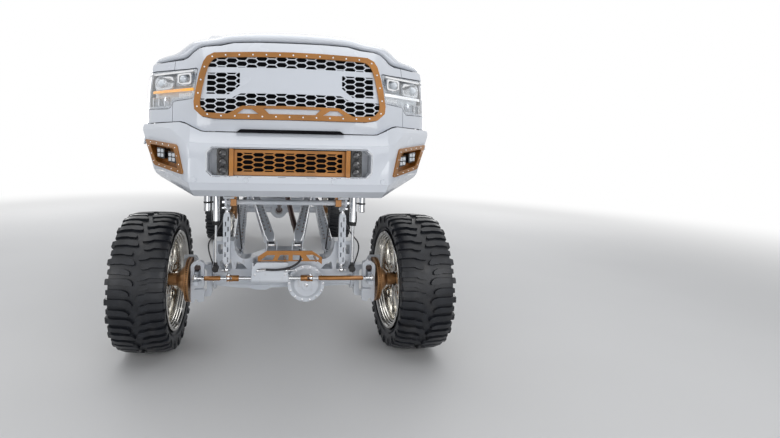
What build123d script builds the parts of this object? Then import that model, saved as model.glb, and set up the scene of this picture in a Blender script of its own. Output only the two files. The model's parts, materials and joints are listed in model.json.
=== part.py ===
"""A heavily lifted crew cab pickup truck with a long bed, on mud tyres.

Millimetres, +Z up, +Y to the rear and +X to the truck's left side.
Pieces are drawn from the front axle's centre line, Y 0, and moved to the row
frame on export, where the origin is on the ground under the truck's middle.
"""

from build123d import *
from math import atan2, cos, degrees, pi, radians, sin
import os

# Overall layout
WHEELBASE = 4305
FRONT_OVERHANG = 1004
REAR_OVERHANG = 1315
TYRE_RADIUS = 565
TYRE_WIDTH = 430
HALF_TRACK = 1067
BODY_LIFT = 1090
BODY_HALF_WIDTH = 1000
PANEL_GAP = 12
FENDER_INNER_X = BODY_HALF_WIDTH - 80
REACH = BODY_HALF_WIDTH + 200

# Heights that the lift carries, as stock height above ground plus the lift
SILL_Z = BODY_LIFT + 580
FLOOR_Z = BODY_LIFT + 740
BELT_Z = BODY_LIFT + 1410
ROOF_Z = BODY_LIFT + 1980
FRAME_TOP_Z = BODY_LIFT + 700
FRAME_DEPTH = 190
FENDER_TOP_Z = BELT_Z - 60
ARCH_Z = BODY_LIFT + 440
ARCH_RADIUS = 520
BED_FLOOR_Z = BODY_LIFT + 870
BED_RAIL_Z = BODY_LIFT + 1460

# Chassis
AXLE_Z = TYRE_RADIUS
RAIL_X = 430
RAIL_WIDTH = 80
RAIL_FRONT_Y = -860
RAIL_REAR_Y = WHEELBASE + 1095
KINGPIN_X = 700
STEER_ARM = 200
STEER_Z = 632
RAM_X = -118
RAM_HALF_LENGTH = 150
RAM_RADIUS = 36
ROD_RADIUS = 14
CLEVIS_OUT = 262
KINGPIN_RADIUS = 16
FORK_X = 600
FORK_HALF_HEIGHT = 135
KNUCKLE_HALF_HEIGHT = 92
TIE_RADIUS = 19
DIFF_X = 180
PINION_END = (DIFF_X, 300, AXLE_Z + 70)
AXLE_TUBE_RADIUS = 52
REAR_TUBE_RADIUS = 58
CASE_RADIUS = 145
REAR_CASE_RADIUS = 160
TRUSS_DEPTH = 85
LINK_HUB_Y = WHEELBASE / 2 - 102.5
CROSS_MEMBER_HALF = 45

# Engine, gearbox and transfer case
ENGINE_HALF_WIDTH = 300
ENGINE_FRONT_Y = -380
ENGINE_REAR_Y = 400
ENGINE_BASE_Z = BODY_LIFT + 550
ENGINE_TOP_Z = BODY_LIFT + 1200
GEARBOX_HALF_WIDTH = 150
GEARBOX_REAR_Y = ENGINE_REAR_Y + 800
GEARBOX_BASE_Z = BODY_LIFT + 470
GEARBOX_TOP_Z = BODY_LIFT + 710
TRANSFER_REAR_Y = GEARBOX_REAR_Y + 300
TRANSFER_BASE_Z = BODY_LIFT + 390
TRANSFER_TOP_Z = BODY_LIFT + 700
GEARBOX_CLEARANCE = 75
LINK_HUB_Z = 1000
LINK_SPREAD = 80
UPPER_LINK_Z = LINK_HUB_Z + 180
LINK_EYE_RADIUS = 30
LINK_EYE_WIDTH = 50
LINK_WIDTH = 84
LINK_DEPTH = 80
LINK_PITCH = 150
SEAT = 0.3
MOVING_GAP = 6
SHOCK_X = 560
SHOCK_Y = 125
SHOCK_RADIUS = 32
SHOCK_EYE_Z = 690
SHOCK_EYE_HALF = 29.7
SHOCK_TOP_Z = 1600
RESERVOIR_RADIUS = 26

UPPER_LINK_X = 380
LOWER_LINK_X = RAIL_X + 50

# Anti-roll bar ahead of the front axle
SWAY_Y = -350
SWAY_Z = 1262
SWAY_RADIUS = 19.5
SWAY_LINK_X = 472
SWAY_LINK_Y = -SHOCK_Y + 5

# Wheels
RIM_RADIUS = 405
ROTOR_X = 790
ROTOR_RADIUS = 183
ROTOR_WIDTH = 40
HUB_RADIUS = 108
WHEEL_FACE_X = 960

# Tow hitch
RECEIVER_SIZE = 76
RECEIVER_WALL = 6
RECEIVER_Z = 1694
HITCH_PIN_RADIUS = 8

# Cab
COWL_Y = 470
DOOR_FRONT_Y = 650
DOOR_SPLIT_Y = 1735
DOOR_REAR_Y = 2640
CAB_REAR_Y = 2880
DOOR_THICKNESS = 90
FRAME_THICKNESS = 36
GLASS_THICKNESS = 6
HOOD_REAR_Y = COWL_Y - 10

# Hinges of the doors and the hood
HINGE_X = BODY_HALF_WIDTH - 2
HINGE_RADIUS = 3
HINGES_Z = (SILL_Z + 370, BELT_Z - 280)
FRONT_HINGE_Y = DOOR_FRONT_Y - PANEL_GAP / 2
REAR_HINGE_Y = DOOR_SPLIT_Y + PANEL_GAP / 2
HOOD_HINGE_X = 440
HOOD_HINGE_Y = COWL_Y - 6
HOOD_HINGE_Z = BELT_Z - 16
TAILGATE_PIN_RADIUS = 8

# Bed
BED_FRONT_Y = CAB_REAR_Y + 50
BED_REAR_Y = WHEELBASE + 1155
TAILGATE_THICKNESS = 70
BED_INNER_X = BODY_HALF_WIDTH - 160
TAIL_LAMP_INNER_X = BODY_HALF_WIDTH - 150
TAIL_LAMP_OUTLINE = [
    (BED_REAR_Y - 90, BED_FLOOR_Z + 120),
    (BED_REAR_Y - 60, BED_RAIL_Z - 100),
    (BED_REAR_Y + 6, BED_RAIL_Z - 100),
    (BED_REAR_Y + 6, BED_FLOOR_Z + 120),
]

def prism_x(points, x0, x1, radius=0):
    """Outline in Y and Z, extruded from x0 to x1."""
    face = Plane.YZ.offset(x0) * outline(points, radius)
    return extrude(face, amount=x1 - x0, dir=(1, 0, 0))


def prism_y(points, y0, y1, radius=0):
    """Outline in X and Z, extruded from y0 to y1."""
    plane = Plane(origin=(0, y0, 0), x_dir=(1, 0, 0), z_dir=(0, -1, 0))
    return extrude(plane * outline(points, radius), amount=y1 - y0, dir=(0, 1, 0))


def prism_z(points, z0, z1, radius=0):
    """Outline in X and Y, extruded from z0 to z1."""
    return extrude(
        Plane.XY.offset(z0) * outline(points, radius), amount=z1 - z0, dir=(0, 0, 1)
    )


def outline(points, radius=0):
    face = Polygon(*points, align=None)
    return fillet(face.vertices(), radius) if radius else face


def block(x, y, z):
    """Box between the low and high value on each axis."""
    size = [b - a for a, b in (x, y, z)]
    centre = [(a + b) / 2 for a, b in (x, y, z)]
    return Pos(*centre) * Box(*size)


def rod(start, end, radius):
    start, end = Vector(*start), Vector(*end)
    run = end - start
    return Part() + Solid.make_cylinder(radius, run.length, Plane(origin=start, z_dir=run))


def both_sides(shape):
    return [shape, mirror(shape, about=Plane.YZ)]


def full_width(half):
    """A symmetric outline from its points at X of 0 or more."""
    return half + [(-x, z) for x, z in reversed(half) if x > 0]


# Body side section, shared by fender, door, cab and bed: X and Z, from the sill up
def side_section(top):
    lower = [
        (BODY_HALF_WIDTH - 60, SILL_Z),
        (BODY_HALF_WIDTH - 12, SILL_Z + 95),
        (BODY_HALF_WIDTH, SILL_Z + 330),
        (BODY_HALF_WIDTH, BELT_Z - 240),
        (BODY_HALF_WIDTH - 25, BELT_Z),
    ]
    return lower + top


ROOF_EDGE = [
    (BODY_HALF_WIDTH - 190, ROOF_Z - 110),
    (BODY_HALF_WIDTH - 290, ROOF_Z - 28),
    (BODY_HALF_WIDTH - 620, ROOF_Z - 6),
]


def cab_section(inset_low, inset_high, roof_drop, floor_z):
    """Cab outline in X and Z, moved in by the given wall thicknesses."""
    side = side_section([])
    low = [(x - inset_low, z) for x, z in side[:-1]]
    low[0] = (low[1][0], floor_z)
    belt = (side[-1][0] - inset_high, side[-1][1])
    roof = [(x - inset_high, z - roof_drop) for x, z in ROOF_EDGE]
    half = [(0, floor_z)] + low[:1] + low[2:] + [(belt[0] - 0, belt[1])] + roof
    return full_width(half + [(0, ROOF_Z - roof_drop)])


# Cab side profile: windscreen base, header, roof and rear window
SCREEN_BASE = (COWL_Y + 90, BELT_Z - 30)
SCREEN_TOP = (COWL_Y + 860, ROOF_Z - 135)
REAR_SCREEN_TOP = (CAB_REAR_Y - 170, ROOF_Z - 80)
REAR_SCREEN_BASE = (CAB_REAR_Y - 10, BELT_Z)


def cab_profile(inset, floor_z, roof_drop):
    return [
        (COWL_Y + inset, floor_z),
        (COWL_Y + inset, SCREEN_BASE[1] - 60),
        (SCREEN_BASE[0] + inset * 1.3, SCREEN_BASE[1] - inset * 0.4),
        (SCREEN_TOP[0] + inset * 0.9, SCREEN_TOP[1] - roof_drop),
        (SCREEN_TOP[0] + 330, ROOF_Z - 45 - roof_drop),
        (SCREEN_TOP[0] + 850, ROOF_Z - roof_drop),
        (REAR_SCREEN_TOP[0] - 260, ROOF_Z - 12 - roof_drop),
        (REAR_SCREEN_TOP[0] - inset * 0.8, REAR_SCREEN_TOP[1] - roof_drop),
        (REAR_SCREEN_BASE[0] - inset, REAR_SCREEN_BASE[1]),
        (CAB_REAR_Y - inset, SILL_Z + 140),
        (CAB_REAR_Y - inset, floor_z),
    ]


def cab_solid(inset_low, inset_high, inset_ends, roof_drop, floor_z):
    section = prism_y(
        cab_section(inset_low, inset_high, roof_drop, floor_z), COWL_Y - 50, CAB_REAR_Y + 50
    )
    return section & prism_x(cab_profile(inset_ends, floor_z, roof_drop), -REACH, REACH)


# Door outlines in Y and Z. The front one follows the windscreen pillar.
PILLAR_RUN = (SCREEN_TOP[0] - SCREEN_BASE[0], SCREEN_TOP[1] - SCREEN_BASE[1])
PILLAR_ANGLE = atan2(PILLAR_RUN[1], PILLAR_RUN[0])
DOOR_BOTTOM_Z = SILL_Z + 60
DOOR_TOP_Z = ROOF_Z - 150


def pillar_y(z, inset):
    """Y of a line parallel to the windscreen pillar and inset behind it."""
    base_y = SCREEN_BASE[0] + inset * sin(PILLAR_ANGLE)
    base_z = SCREEN_BASE[1] - inset * cos(PILLAR_ANGLE)
    return base_y + (z - base_z) / PILLAR_RUN[1] * PILLAR_RUN[0]


def front_door_outline(grow=0):
    inset = 85 - grow
    knee_z = SCREEN_BASE[1] - 60 + grow
    top = DOOR_TOP_Z + grow
    return [
        (DOOR_FRONT_Y - grow, DOOR_BOTTOM_Z - grow),
        (DOOR_FRONT_Y - grow, knee_z),
        (pillar_y(knee_z + 60, inset), knee_z + 60),
        (pillar_y(top, inset), top),
        (DOOR_SPLIT_Y + grow, top),
        (DOOR_SPLIT_Y + grow, DOOR_BOTTOM_Z - grow),
    ]


def rear_door_outline(grow=0):
    start = DOOR_SPLIT_Y + PANEL_GAP - grow
    top = DOOR_TOP_Z + grow
    return [
        (start, DOOR_BOTTOM_Z - grow),
        (start, top),
        (DOOR_REAR_Y - 220 + grow, top),
        (DOOR_REAR_Y - 40 + grow, BELT_Z),
        (DOOR_REAR_Y + grow, BELT_Z - 100),
        (DOOR_REAR_Y + grow, DOOR_BOTTOM_Z - grow),
    ]


WINDOW_BASE_Z = BELT_Z + 34
WINDOW_TOP_Z = DOOR_TOP_Z - 48
FRONT_WINDOW = [
    (pillar_y(WINDOW_BASE_Z, 140), WINDOW_BASE_Z),
    (pillar_y(WINDOW_TOP_Z, 140), WINDOW_TOP_Z),
    (DOOR_SPLIT_Y - 48, WINDOW_TOP_Z),
    (DOOR_SPLIT_Y - 48, WINDOW_BASE_Z),
]
REAR_WINDOW = [
    (DOOR_SPLIT_Y + PANEL_GAP + 48, WINDOW_BASE_Z),
    (DOOR_SPLIT_Y + PANEL_GAP + 48, WINDOW_TOP_Z),
    (DOOR_REAR_Y - 285, WINDOW_TOP_Z),
    (DOOR_REAR_Y - 125, WINDOW_BASE_Z),
]
WINDOW_CORNER = 24


def door_pair(outline_points, window):
    """Door panel with its window cut, and its glass, on the left side."""
    outer = cab_solid(0, 0, 0, 0, SILL_Z)
    inner = cab_solid(DOOR_THICKNESS, FRAME_THICKNESS, 0, 0, SILL_Z)
    inner = inner & block((-REACH, REACH), (0, CAB_REAR_Y), (SILL_Z, BELT_Z + 20))
    upper = cab_solid(FRAME_THICKNESS, FRAME_THICKNESS, 0, 0, SILL_Z)
    upper = upper & block((-REACH, REACH), (0, CAB_REAR_Y), (BELT_Z + 20, ROOF_Z))
    slab = prism_x(outline_points, 300, REACH)
    hole = prism_x(window, 300, REACH, WINDOW_CORNER)
    panel = (outer - inner - upper) & slab
    panel = panel - hole
    pane_out = cab_solid(12, 12, 0, 0, SILL_Z)
    pane_in = cab_solid(12 + GLASS_THICKNESS, 12 + GLASS_THICKNESS, 0, 0, SILL_Z)
    glass = (pane_out - pane_in) & hole
    return panel, glass


def cab_shell():
    outer = cab_solid(0, 0, 0, 0, SILL_Z)
    cavity = cab_solid(100, 62, 62, 45, FLOOR_Z + 35)
    under = BODY_HALF_WIDTH - 200
    tunnel = block((-under, under), (COWL_Y - 10, CAB_REAR_Y + 10), (SILL_Z - 10, FLOOR_Z))
    shell = outer - cavity - tunnel
    gap = PANEL_GAP
    doorway = front_door_outline(gap)
    doorway = prism_x(doorway, 300, REACH) + prism_x(rear_door_outline(gap), 300, REACH)
    for opening in both_sides(doorway):
        shell = shell - opening
    beside = block(
        (FENDER_INNER_X, REACH), (COWL_Y - 10, DOOR_FRONT_Y - gap), (SILL_Z - 10, FENDER_TOP_Z)
    )
    for side in both_sides(beside):
        shell = shell - side
    post = cab_solid(DOOR_THICKNESS + 10, FRAME_THICKNESS + 8, 0, 30, FLOOR_Z + 10)
    post = post - cab_solid(DOOR_THICKNESS + 60, FRAME_THICKNESS + 58, 0, 60, FLOOR_Z)
    post = post & block(
        (-REACH, REACH), (DOOR_SPLIT_Y - 50, DOOR_SPLIT_Y + 60), (FLOOR_Z + 10, ROOF_Z - 60)
    )
    shell = shell + post
    for window, _ in screens():
        shell = shell - window
    for hinge in both_sides(door_hinge_plates()):
        shell = shell + hinge
    return shell + hood_brackets()


def door_hinge_plates():
    """Bent plates for the front door and flat ones for the rear door, left side."""
    plates = Part()
    end = HINGE_X - HINGE_RADIUS - SEAT
    front, rear = FRONT_HINGE_Y, REAR_HINGE_Y
    root = (FENDER_INNER_X - 18, FENDER_INNER_X - 2)
    for z in HINGES_Z:
        heights = (z - 40, z + 40)
        plates = plates + block(root, (DOOR_FRONT_Y - PANEL_GAP - 1, front + 1), heights)
        plates = plates + block((root[0], end), (front - 1, front + 1), heights)
        plates = plates + block((BODY_HALF_WIDTH - 120, end), (rear - 1, rear + 1), heights)
    return plates


def door_hinge_pins(y):
    """Pins on the hinge axis with the webs that join them to the door behind."""
    pins = Part()
    for z in HINGES_Z:
        pins = pins + rod((HINGE_X, y, z - 40), (HINGE_X, y, z + 40), HINGE_RADIUS)
        web = (HINGE_X - HINGE_RADIUS, BODY_HALF_WIDTH - 0.5)
        pins = pins + block(web, (y, y + PANEL_GAP / 2 + 1), (z - 40, z + 40))
    return pins


def hood_brackets():
    """Brackets on the cowl, ending just behind the hood's hinge pins."""
    brackets = Part()
    for x in (-HOOD_HINGE_X, HOOD_HINGE_X):
        face_y = HOOD_HINGE_Y + HINGE_RADIUS + SEAT
        brackets = brackets + block(
            (x - 10, x + 10), (face_y, COWL_Y + 12), (SCREEN_BASE[1] - 70, HOOD_HINGE_Z + 2)
        )
    return brackets


def hood_hinge_pins():
    pins = Part()
    for x in (-HOOD_HINGE_X, HOOD_HINGE_X):
        pin = rod((x - 10, HOOD_HINGE_Y, HOOD_HINGE_Z), (x + 10, HOOD_HINGE_Y, HOOD_HINGE_Z), HINGE_RADIUS)
        web = block(
            (x - 10, x + 10),
            (HOOD_REAR_Y - 12, HOOD_HINGE_Y),
            (HOOD_HINGE_Z - HINGE_RADIUS, HOOD_HINGE_Z + HINGE_RADIUS - 1),
        )
        pins = pins + pin + web
    return pins


def screens():
    """Windscreen and rear window: each an opening and its pane."""
    rise = degrees(PILLAR_ANGLE)
    length = (PILLAR_RUN[0] ** 2 + PILLAR_RUN[1] ** 2) ** 0.5
    front_plane = Plane(
        origin=(0, SCREEN_BASE[0], SCREEN_BASE[1]),
        x_dir=(1, 0, 0),
        z_dir=(0, -sin(radians(rise)), cos(radians(rise))),
    )
    low, high = BODY_HALF_WIDTH - 150, BODY_HALF_WIDTH - 280
    front = Polygon(
        (-low, 45), (low, 45), (high, length - 40), (-high, length - 40), align=None
    )
    front = fillet(front.vertices(), 50)
    run = (REAR_SCREEN_BASE[0] - REAR_SCREEN_TOP[0], REAR_SCREEN_TOP[1] - REAR_SCREEN_BASE[1])
    rear_length = (run[0] ** 2 + run[1] ** 2) ** 0.5
    slope = atan2(run[1], run[0])
    rear_plane = Plane(
        origin=(0, REAR_SCREEN_BASE[0], REAR_SCREEN_BASE[1]),
        x_dir=(-1, 0, 0),
        z_dir=(0, sin(slope), cos(slope)),
    )
    low, high = low - 150, high - 100
    rear = Polygon(
        (-low, 60), (low, 60), (high, rear_length - 60), (-high, rear_length - 60), align=None
    )
    rear = fillet(rear.vertices(), 50)
    made = []
    for plane, face in ((front_plane, front), (rear_plane, rear)):
        opening = extrude(plane.offset(-140) * face, amount=240, dir=plane.z_dir)
        pane = extrude(
            plane.offset(-12 - GLASS_THICKNESS) * face, amount=GLASS_THICKNESS, dir=plane.z_dir
        )
        made.append((opening, pane))
    return made


# Front clip plan outline, left half: X and Y from the door forward to the nose
NOSE_PLAN = [
    (BODY_HALF_WIDTH, DOOR_FRONT_Y - PANEL_GAP),
    (BODY_HALF_WIDTH, -180),
    (BODY_HALF_WIDTH - 8, -420),
    (BODY_HALF_WIDTH - 42, -600),
    (BODY_HALF_WIDTH - 95, -665),
    (BODY_HALF_WIDTH * 0.6, -890),
    (BODY_HALF_WIDTH * 0.5, -950),
]
NOSE_FRONT_Y = -972
NOSE_BACK_Y = -640
LAMP_INNER_X = BODY_HALF_WIDTH - 427
LAMP_OUTER_X = BODY_HALF_WIDTH + 10
SHELL_SEAM_X = BODY_HALF_WIDTH - 255
HOOD_HALF_WIDTH = BODY_HALF_WIDTH - 95


def nose_plan(inset=0):
    half = []
    for x, y in NOSE_PLAN:
        half.append((x - inset, y) if x >= HOOD_HALF_WIDTH else (x - inset * 0.6, y + inset))
    return half + [(-x, y) for x, y in reversed(half)]


# Hood sections: y, centre z, z at the dome's edge, at the step, at the shoulder, at the side
HOOD_STATIONS = (
    (-1000, 2326, 2319, 2300, 2218, 2198),
    (-850, 2364, 2357, 2337, 2242, 2222),
    (-600, 2428, 2421, 2396, 2305, 2258),
    (-250, 2464, 2457, 2434, 2346, 2312),
    (DOOR_FRONT_Y + 50, 2508, 2501, 2480, 2418, 2400),
)
HOOD_COLUMNS_X = [BODY_HALF_WIDTH * part for part in (0, 0.47, 0.575, 0.7, 0.905)]
HOOD_THICKNESS = 34


def hood_section(station, drop):
    y, *heights = station
    points = [(x, z - drop) for x, z in zip(HOOD_COLUMNS_X, heights)]
    wire = points + [(HOOD_COLUMNS_X[-1], heights[-1] - drop - HOOD_THICKNESS)]
    wire += [(x, z - drop - HOOD_THICKNESS) for x, z in reversed(points[:-1])]
    half = wire[1:-1]
    full = [wire[0]] + half + [wire[-1]] + [(-x, z) for x, z in reversed(half)]
    plane = Plane(origin=(0, y, 0), x_dir=(1, 0, 0), z_dir=(0, -1, 0))
    return plane * Polygon(*full, align=None)


def hood():
    lid = loft([hood_section(s, 0) for s in HOOD_STATIONS], ruled=True)
    plan = [(x, y if x > HOOD_HALF_WIDTH else y + 40) for x, y in NOSE_PLAN]
    plan = plan + [(-x, y) for x, y in reversed(plan)]
    side = HOOD_HALF_WIDTH
    reach = prism_z(plan, SILL_Z, ROOF_Z) & block((-side, side), (-1100, HOOD_REAR_Y), (SILL_Z, ROOF_Z))
    return lid & reach


def under_hood(drop):
    """Space from the hood's skin up, lowered by drop."""
    faces = []
    for y, *heights in HOOD_STATIONS:
        points = [(x, z - drop) for x, z in zip(HOOD_COLUMNS_X, heights)]
        points = points + [(REACH, points[-1][1])]
        full = points + [(REACH, ROOF_Z), (-REACH, ROOF_Z)] + [(-x, z) for x, z in reversed(points[1:])]
        plane = Plane(origin=(0, y, 0), x_dir=(1, 0, 0), z_dir=(0, -1, 0))
        faces.append(plane * Polygon(*full, align=None))
    return loft(faces, ruled=True)


# Grille: its outline on the nose, the inner edge of its surround, and its lean back
GRILLE_OUTLINE = [
    (0, 2256),
    (400, 2243),
    (470, 2238),
    (512, 2215),
    (534, 2180),
    (572, 2020),
    (584, 1935),
    (578, 1888),
    (533, 1847),
    (460, 1834),
    (0, 1836),
]
SURROUND_INNER = [
    (0, 2222),
    (400, 2209),
    (452, 2205),
    (478, 2190),
    (498, 2160),
    (532, 2020),
    (545, 1935),
    (541, 1905),
    (508, 1872),
    (378, 1868),
    (296, 1918),
    (0, 1923),
]
SURROUND_WINDOWS = (
    [(-165, 1904), (-132, 1872), (148, 1872), (180, 1904)],
    [(195, 1870), (238, 1899), (285, 1899), (325, 1870)],
    [(-325, 1870), (-285, 1899), (-238, 1899), (-195, 1870)],
)
GRILLE_FOOT = (-968, 1830)
GRILLE_LEAN = 0.13
HEXAGON_PITCH = (60.5, 35.5)
HEXAGON_HALF = (34.5, 14.5)
GRILLE_BANDS = (
    (0, 470, 2158, 2213),
    (312, 512, 1986, 2122),
    (0, 305, 1930, 1996),
    (365, 538, 1876, 1960),
)


def grille_outline(grow=0):
    half = []
    for x, z in GRILLE_OUTLINE:
        half.append((x + (grow if x else 0), z + (grow if z > 2050 else -grow)))
    return full_width(half)


def grille_layer(front, back):
    """Leaning layer between two depths from the grille's face."""
    y, low = GRILLE_FOOT
    high = low + 460
    low, foot_y = low - 20, y - 20 * GRILLE_LEAN
    head_y = y + 460 * GRILLE_LEAN
    points = [(foot_y + front, low), (head_y + front, high), (head_y + back, high), (foot_y + back, low)]
    return prism_x(points, -REACH, REACH)


LAMP_OUTLINE = [
    (BED_REAR_Y - 90, BED_FLOOR_Z + 120),
    (BED_REAR_Y - 60, BED_RAIL_Z - 100),
    (BED_REAR_Y + 6, BED_RAIL_Z - 100),
    (BED_REAR_Y + 6, BED_FLOOR_Z + 120),
]

# Places along the frame
BODY_MOUNTS_Y = (COWL_Y + 230, DOOR_SPLIT_Y + 15, CAB_REAR_Y - 180)
BED_MOUNTS_Y = (BED_FRONT_Y + 120, WHEELBASE - 655, WHEELBASE + 845)
CROSS_MEMBERS_Y = (
    RAIL_FRONT_Y + 130,
    TRANSFER_REAR_Y + CROSS_MEMBER_HALF + GEARBOX_CLEARANCE,
    LINK_HUB_Y + 600,
    WHEELBASE - 705,
    WHEELBASE + 395,
    WHEELBASE + 995,
)


def prism_x(points, x0, x1, radius=0):
    """Outline in Y and Z, extruded from x0 to x1."""
    face = Plane.YZ.offset(x0) * outline(points, radius)
    return extrude(face, amount=x1 - x0, dir=(1, 0, 0))


def prism_y(points, y0, y1, radius=0):
    """Outline in X and Z, extruded from y0 to y1."""
    plane = Plane(origin=(0, y0, 0), x_dir=(1, 0, 0), z_dir=(0, -1, 0))
    return extrude(plane * outline(points, radius), amount=y1 - y0, dir=(0, 1, 0))


def prism_z(points, z0, z1, radius=0):
    """Outline in X and Y, extruded from z0 to z1."""
    return extrude(
        Plane.XY.offset(z0) * outline(points, radius), amount=z1 - z0, dir=(0, 0, 1)
    )


def outline(points, radius=0):
    face = Polygon(*points, align=None)
    return fillet(face.vertices(), radius) if radius else face


def block(x, y, z):
    """Box between the low and high value on each axis."""
    size = [b - a for a, b in (x, y, z)]
    centre = [(a + b) / 2 for a, b in (x, y, z)]
    return Pos(*centre) * Box(*size)


def rod(start, end, radius):
    start, end = Vector(*start), Vector(*end)
    run = end - start
    return Part() + Solid.make_cylinder(radius, run.length, Plane(origin=start, z_dir=run))


def both_sides(shape):
    return [shape, mirror(shape, about=Plane.YZ)]


def full_width(half):
    """A symmetric outline from its points at X of 0 or more."""
    return half + [(-x, z) for x, z in reversed(half) if x > 0]


# Body side section, shared by fender, door, cab and bed: X and Z, from the sill up
def side_section(top):
    lower = [
        (BODY_HALF_WIDTH - 60, SILL_Z),
        (BODY_HALF_WIDTH - 12, SILL_Z + 95),
        (BODY_HALF_WIDTH, SILL_Z + 330),
        (BODY_HALF_WIDTH, BELT_Z - 240),
        (BODY_HALF_WIDTH - 25, BELT_Z),
    ]
    return lower + top


ROOF_EDGE = [
    (BODY_HALF_WIDTH - 190, ROOF_Z - 110),
    (BODY_HALF_WIDTH - 290, ROOF_Z - 28),
    (BODY_HALF_WIDTH - 620, ROOF_Z - 6),
]


def cab_section(inset_low, inset_high, roof_drop, floor_z):
    """Cab outline in X and Z, moved in by the given wall thicknesses."""
    side = side_section([])
    low = [(x - inset_low, z) for x, z in side[:-1]]
    low[0] = (low[1][0], floor_z)
    belt = (side[-1][0] - inset_high, side[-1][1])
    roof = [(x - inset_high, z - roof_drop) for x, z in ROOF_EDGE]
    half = [(0, floor_z)] + low[:1] + low[2:] + [(belt[0] - 0, belt[1])] + roof
    return full_width(half + [(0, ROOF_Z - roof_drop)])


# Cab side profile: windscreen base, header, roof and rear window
SCREEN_BASE = (COWL_Y + 90, BELT_Z - 30)
SCREEN_TOP = (COWL_Y + 860, ROOF_Z - 135)
REAR_SCREEN_TOP = (CAB_REAR_Y - 170, ROOF_Z - 80)
REAR_SCREEN_BASE = (CAB_REAR_Y - 10, BELT_Z)


def cab_profile(inset, floor_z, roof_drop):
    return [
        (COWL_Y + inset, floor_z),
        (COWL_Y + inset, SCREEN_BASE[1] - 60),
        (SCREEN_BASE[0] + inset * 1.3, SCREEN_BASE[1] - inset * 0.4),
        (SCREEN_TOP[0] + inset * 0.9, SCREEN_TOP[1] - roof_drop),
        (SCREEN_TOP[0] + 330, ROOF_Z - 45 - roof_drop),
        (SCREEN_TOP[0] + 850, ROOF_Z - roof_drop),
        (REAR_SCREEN_TOP[0] - 260, ROOF_Z - 12 - roof_drop),
        (REAR_SCREEN_TOP[0] - inset * 0.8, REAR_SCREEN_TOP[1] - roof_drop),
        (REAR_SCREEN_BASE[0] - inset, REAR_SCREEN_BASE[1]),
        (CAB_REAR_Y - inset, SILL_Z + 140),
        (CAB_REAR_Y - inset, floor_z),
    ]


def cab_solid(inset_low, inset_high, inset_ends, roof_drop, floor_z):
    section = prism_y(
        cab_section(inset_low, inset_high, roof_drop, floor_z), COWL_Y - 50, CAB_REAR_Y + 50
    )
    return section & prism_x(cab_profile(inset_ends, floor_z, roof_drop), -REACH, REACH)


# Door outlines in Y and Z. The front one follows the windscreen pillar.
PILLAR_RUN = (SCREEN_TOP[0] - SCREEN_BASE[0], SCREEN_TOP[1] - SCREEN_BASE[1])
PILLAR_ANGLE = atan2(PILLAR_RUN[1], PILLAR_RUN[0])
DOOR_BOTTOM_Z = SILL_Z + 60
DOOR_TOP_Z = ROOF_Z - 150


def pillar_y(z, inset):
    """Y of a line parallel to the windscreen pillar and inset behind it."""
    base_y = SCREEN_BASE[0] + inset * sin(PILLAR_ANGLE)
    base_z = SCREEN_BASE[1] - inset * cos(PILLAR_ANGLE)
    return base_y + (z - base_z) / PILLAR_RUN[1] * PILLAR_RUN[0]


def front_door_outline(grow=0):
    inset = 85 - grow
    knee_z = SCREEN_BASE[1] - 60 + grow
    top = DOOR_TOP_Z + grow
    return [
        (DOOR_FRONT_Y - grow, DOOR_BOTTOM_Z - grow),
        (DOOR_FRONT_Y - grow, knee_z),
        (pillar_y(knee_z + 60, inset), knee_z + 60),
        (pillar_y(top, inset), top),
        (DOOR_SPLIT_Y + grow, top),
        (DOOR_SPLIT_Y + grow, DOOR_BOTTOM_Z - grow),
    ]


def rear_door_outline(grow=0):
    start = DOOR_SPLIT_Y + PANEL_GAP - grow
    top = DOOR_TOP_Z + grow
    return [
        (start, DOOR_BOTTOM_Z - grow),
        (start, top),
        (DOOR_REAR_Y - 220 + grow, top),
        (DOOR_REAR_Y - 40 + grow, BELT_Z),
        (DOOR_REAR_Y + grow, BELT_Z - 100),
        (DOOR_REAR_Y + grow, DOOR_BOTTOM_Z - grow),
    ]


WINDOW_BASE_Z = BELT_Z + 34
WINDOW_TOP_Z = DOOR_TOP_Z - 48
FRONT_WINDOW = [
    (pillar_y(WINDOW_BASE_Z, 140), WINDOW_BASE_Z),
    (pillar_y(WINDOW_TOP_Z, 140), WINDOW_TOP_Z),
    (DOOR_SPLIT_Y - 48, WINDOW_TOP_Z),
    (DOOR_SPLIT_Y - 48, WINDOW_BASE_Z),
]
REAR_WINDOW = [
    (DOOR_SPLIT_Y + PANEL_GAP + 48, WINDOW_BASE_Z),
    (DOOR_SPLIT_Y + PANEL_GAP + 48, WINDOW_TOP_Z),
    (DOOR_REAR_Y - 285, WINDOW_TOP_Z),
    (DOOR_REAR_Y - 125, WINDOW_BASE_Z),
]
WINDOW_CORNER = 24


def door_pair(outline_points, window):
    """Door panel with its window cut, and its glass, on the left side."""
    outer = cab_solid(0, 0, 0, 0, SILL_Z)
    inner = cab_solid(DOOR_THICKNESS, FRAME_THICKNESS, 0, 0, SILL_Z)
    inner = inner & block((-REACH, REACH), (0, CAB_REAR_Y), (SILL_Z, BELT_Z + 20))
    upper = cab_solid(FRAME_THICKNESS, FRAME_THICKNESS, 0, 0, SILL_Z)
    upper = upper & block((-REACH, REACH), (0, CAB_REAR_Y), (BELT_Z + 20, ROOF_Z))
    slab = prism_x(outline_points, 300, REACH)
    hole = prism_x(window, 300, REACH, WINDOW_CORNER)
    panel = (outer - inner - upper) & slab
    panel = panel - hole
    pane_out = cab_solid(12, 12, 0, 0, SILL_Z)
    pane_in = cab_solid(12 + GLASS_THICKNESS, 12 + GLASS_THICKNESS, 0, 0, SILL_Z)
    glass = (pane_out - pane_in) & hole
    return panel, glass


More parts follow.
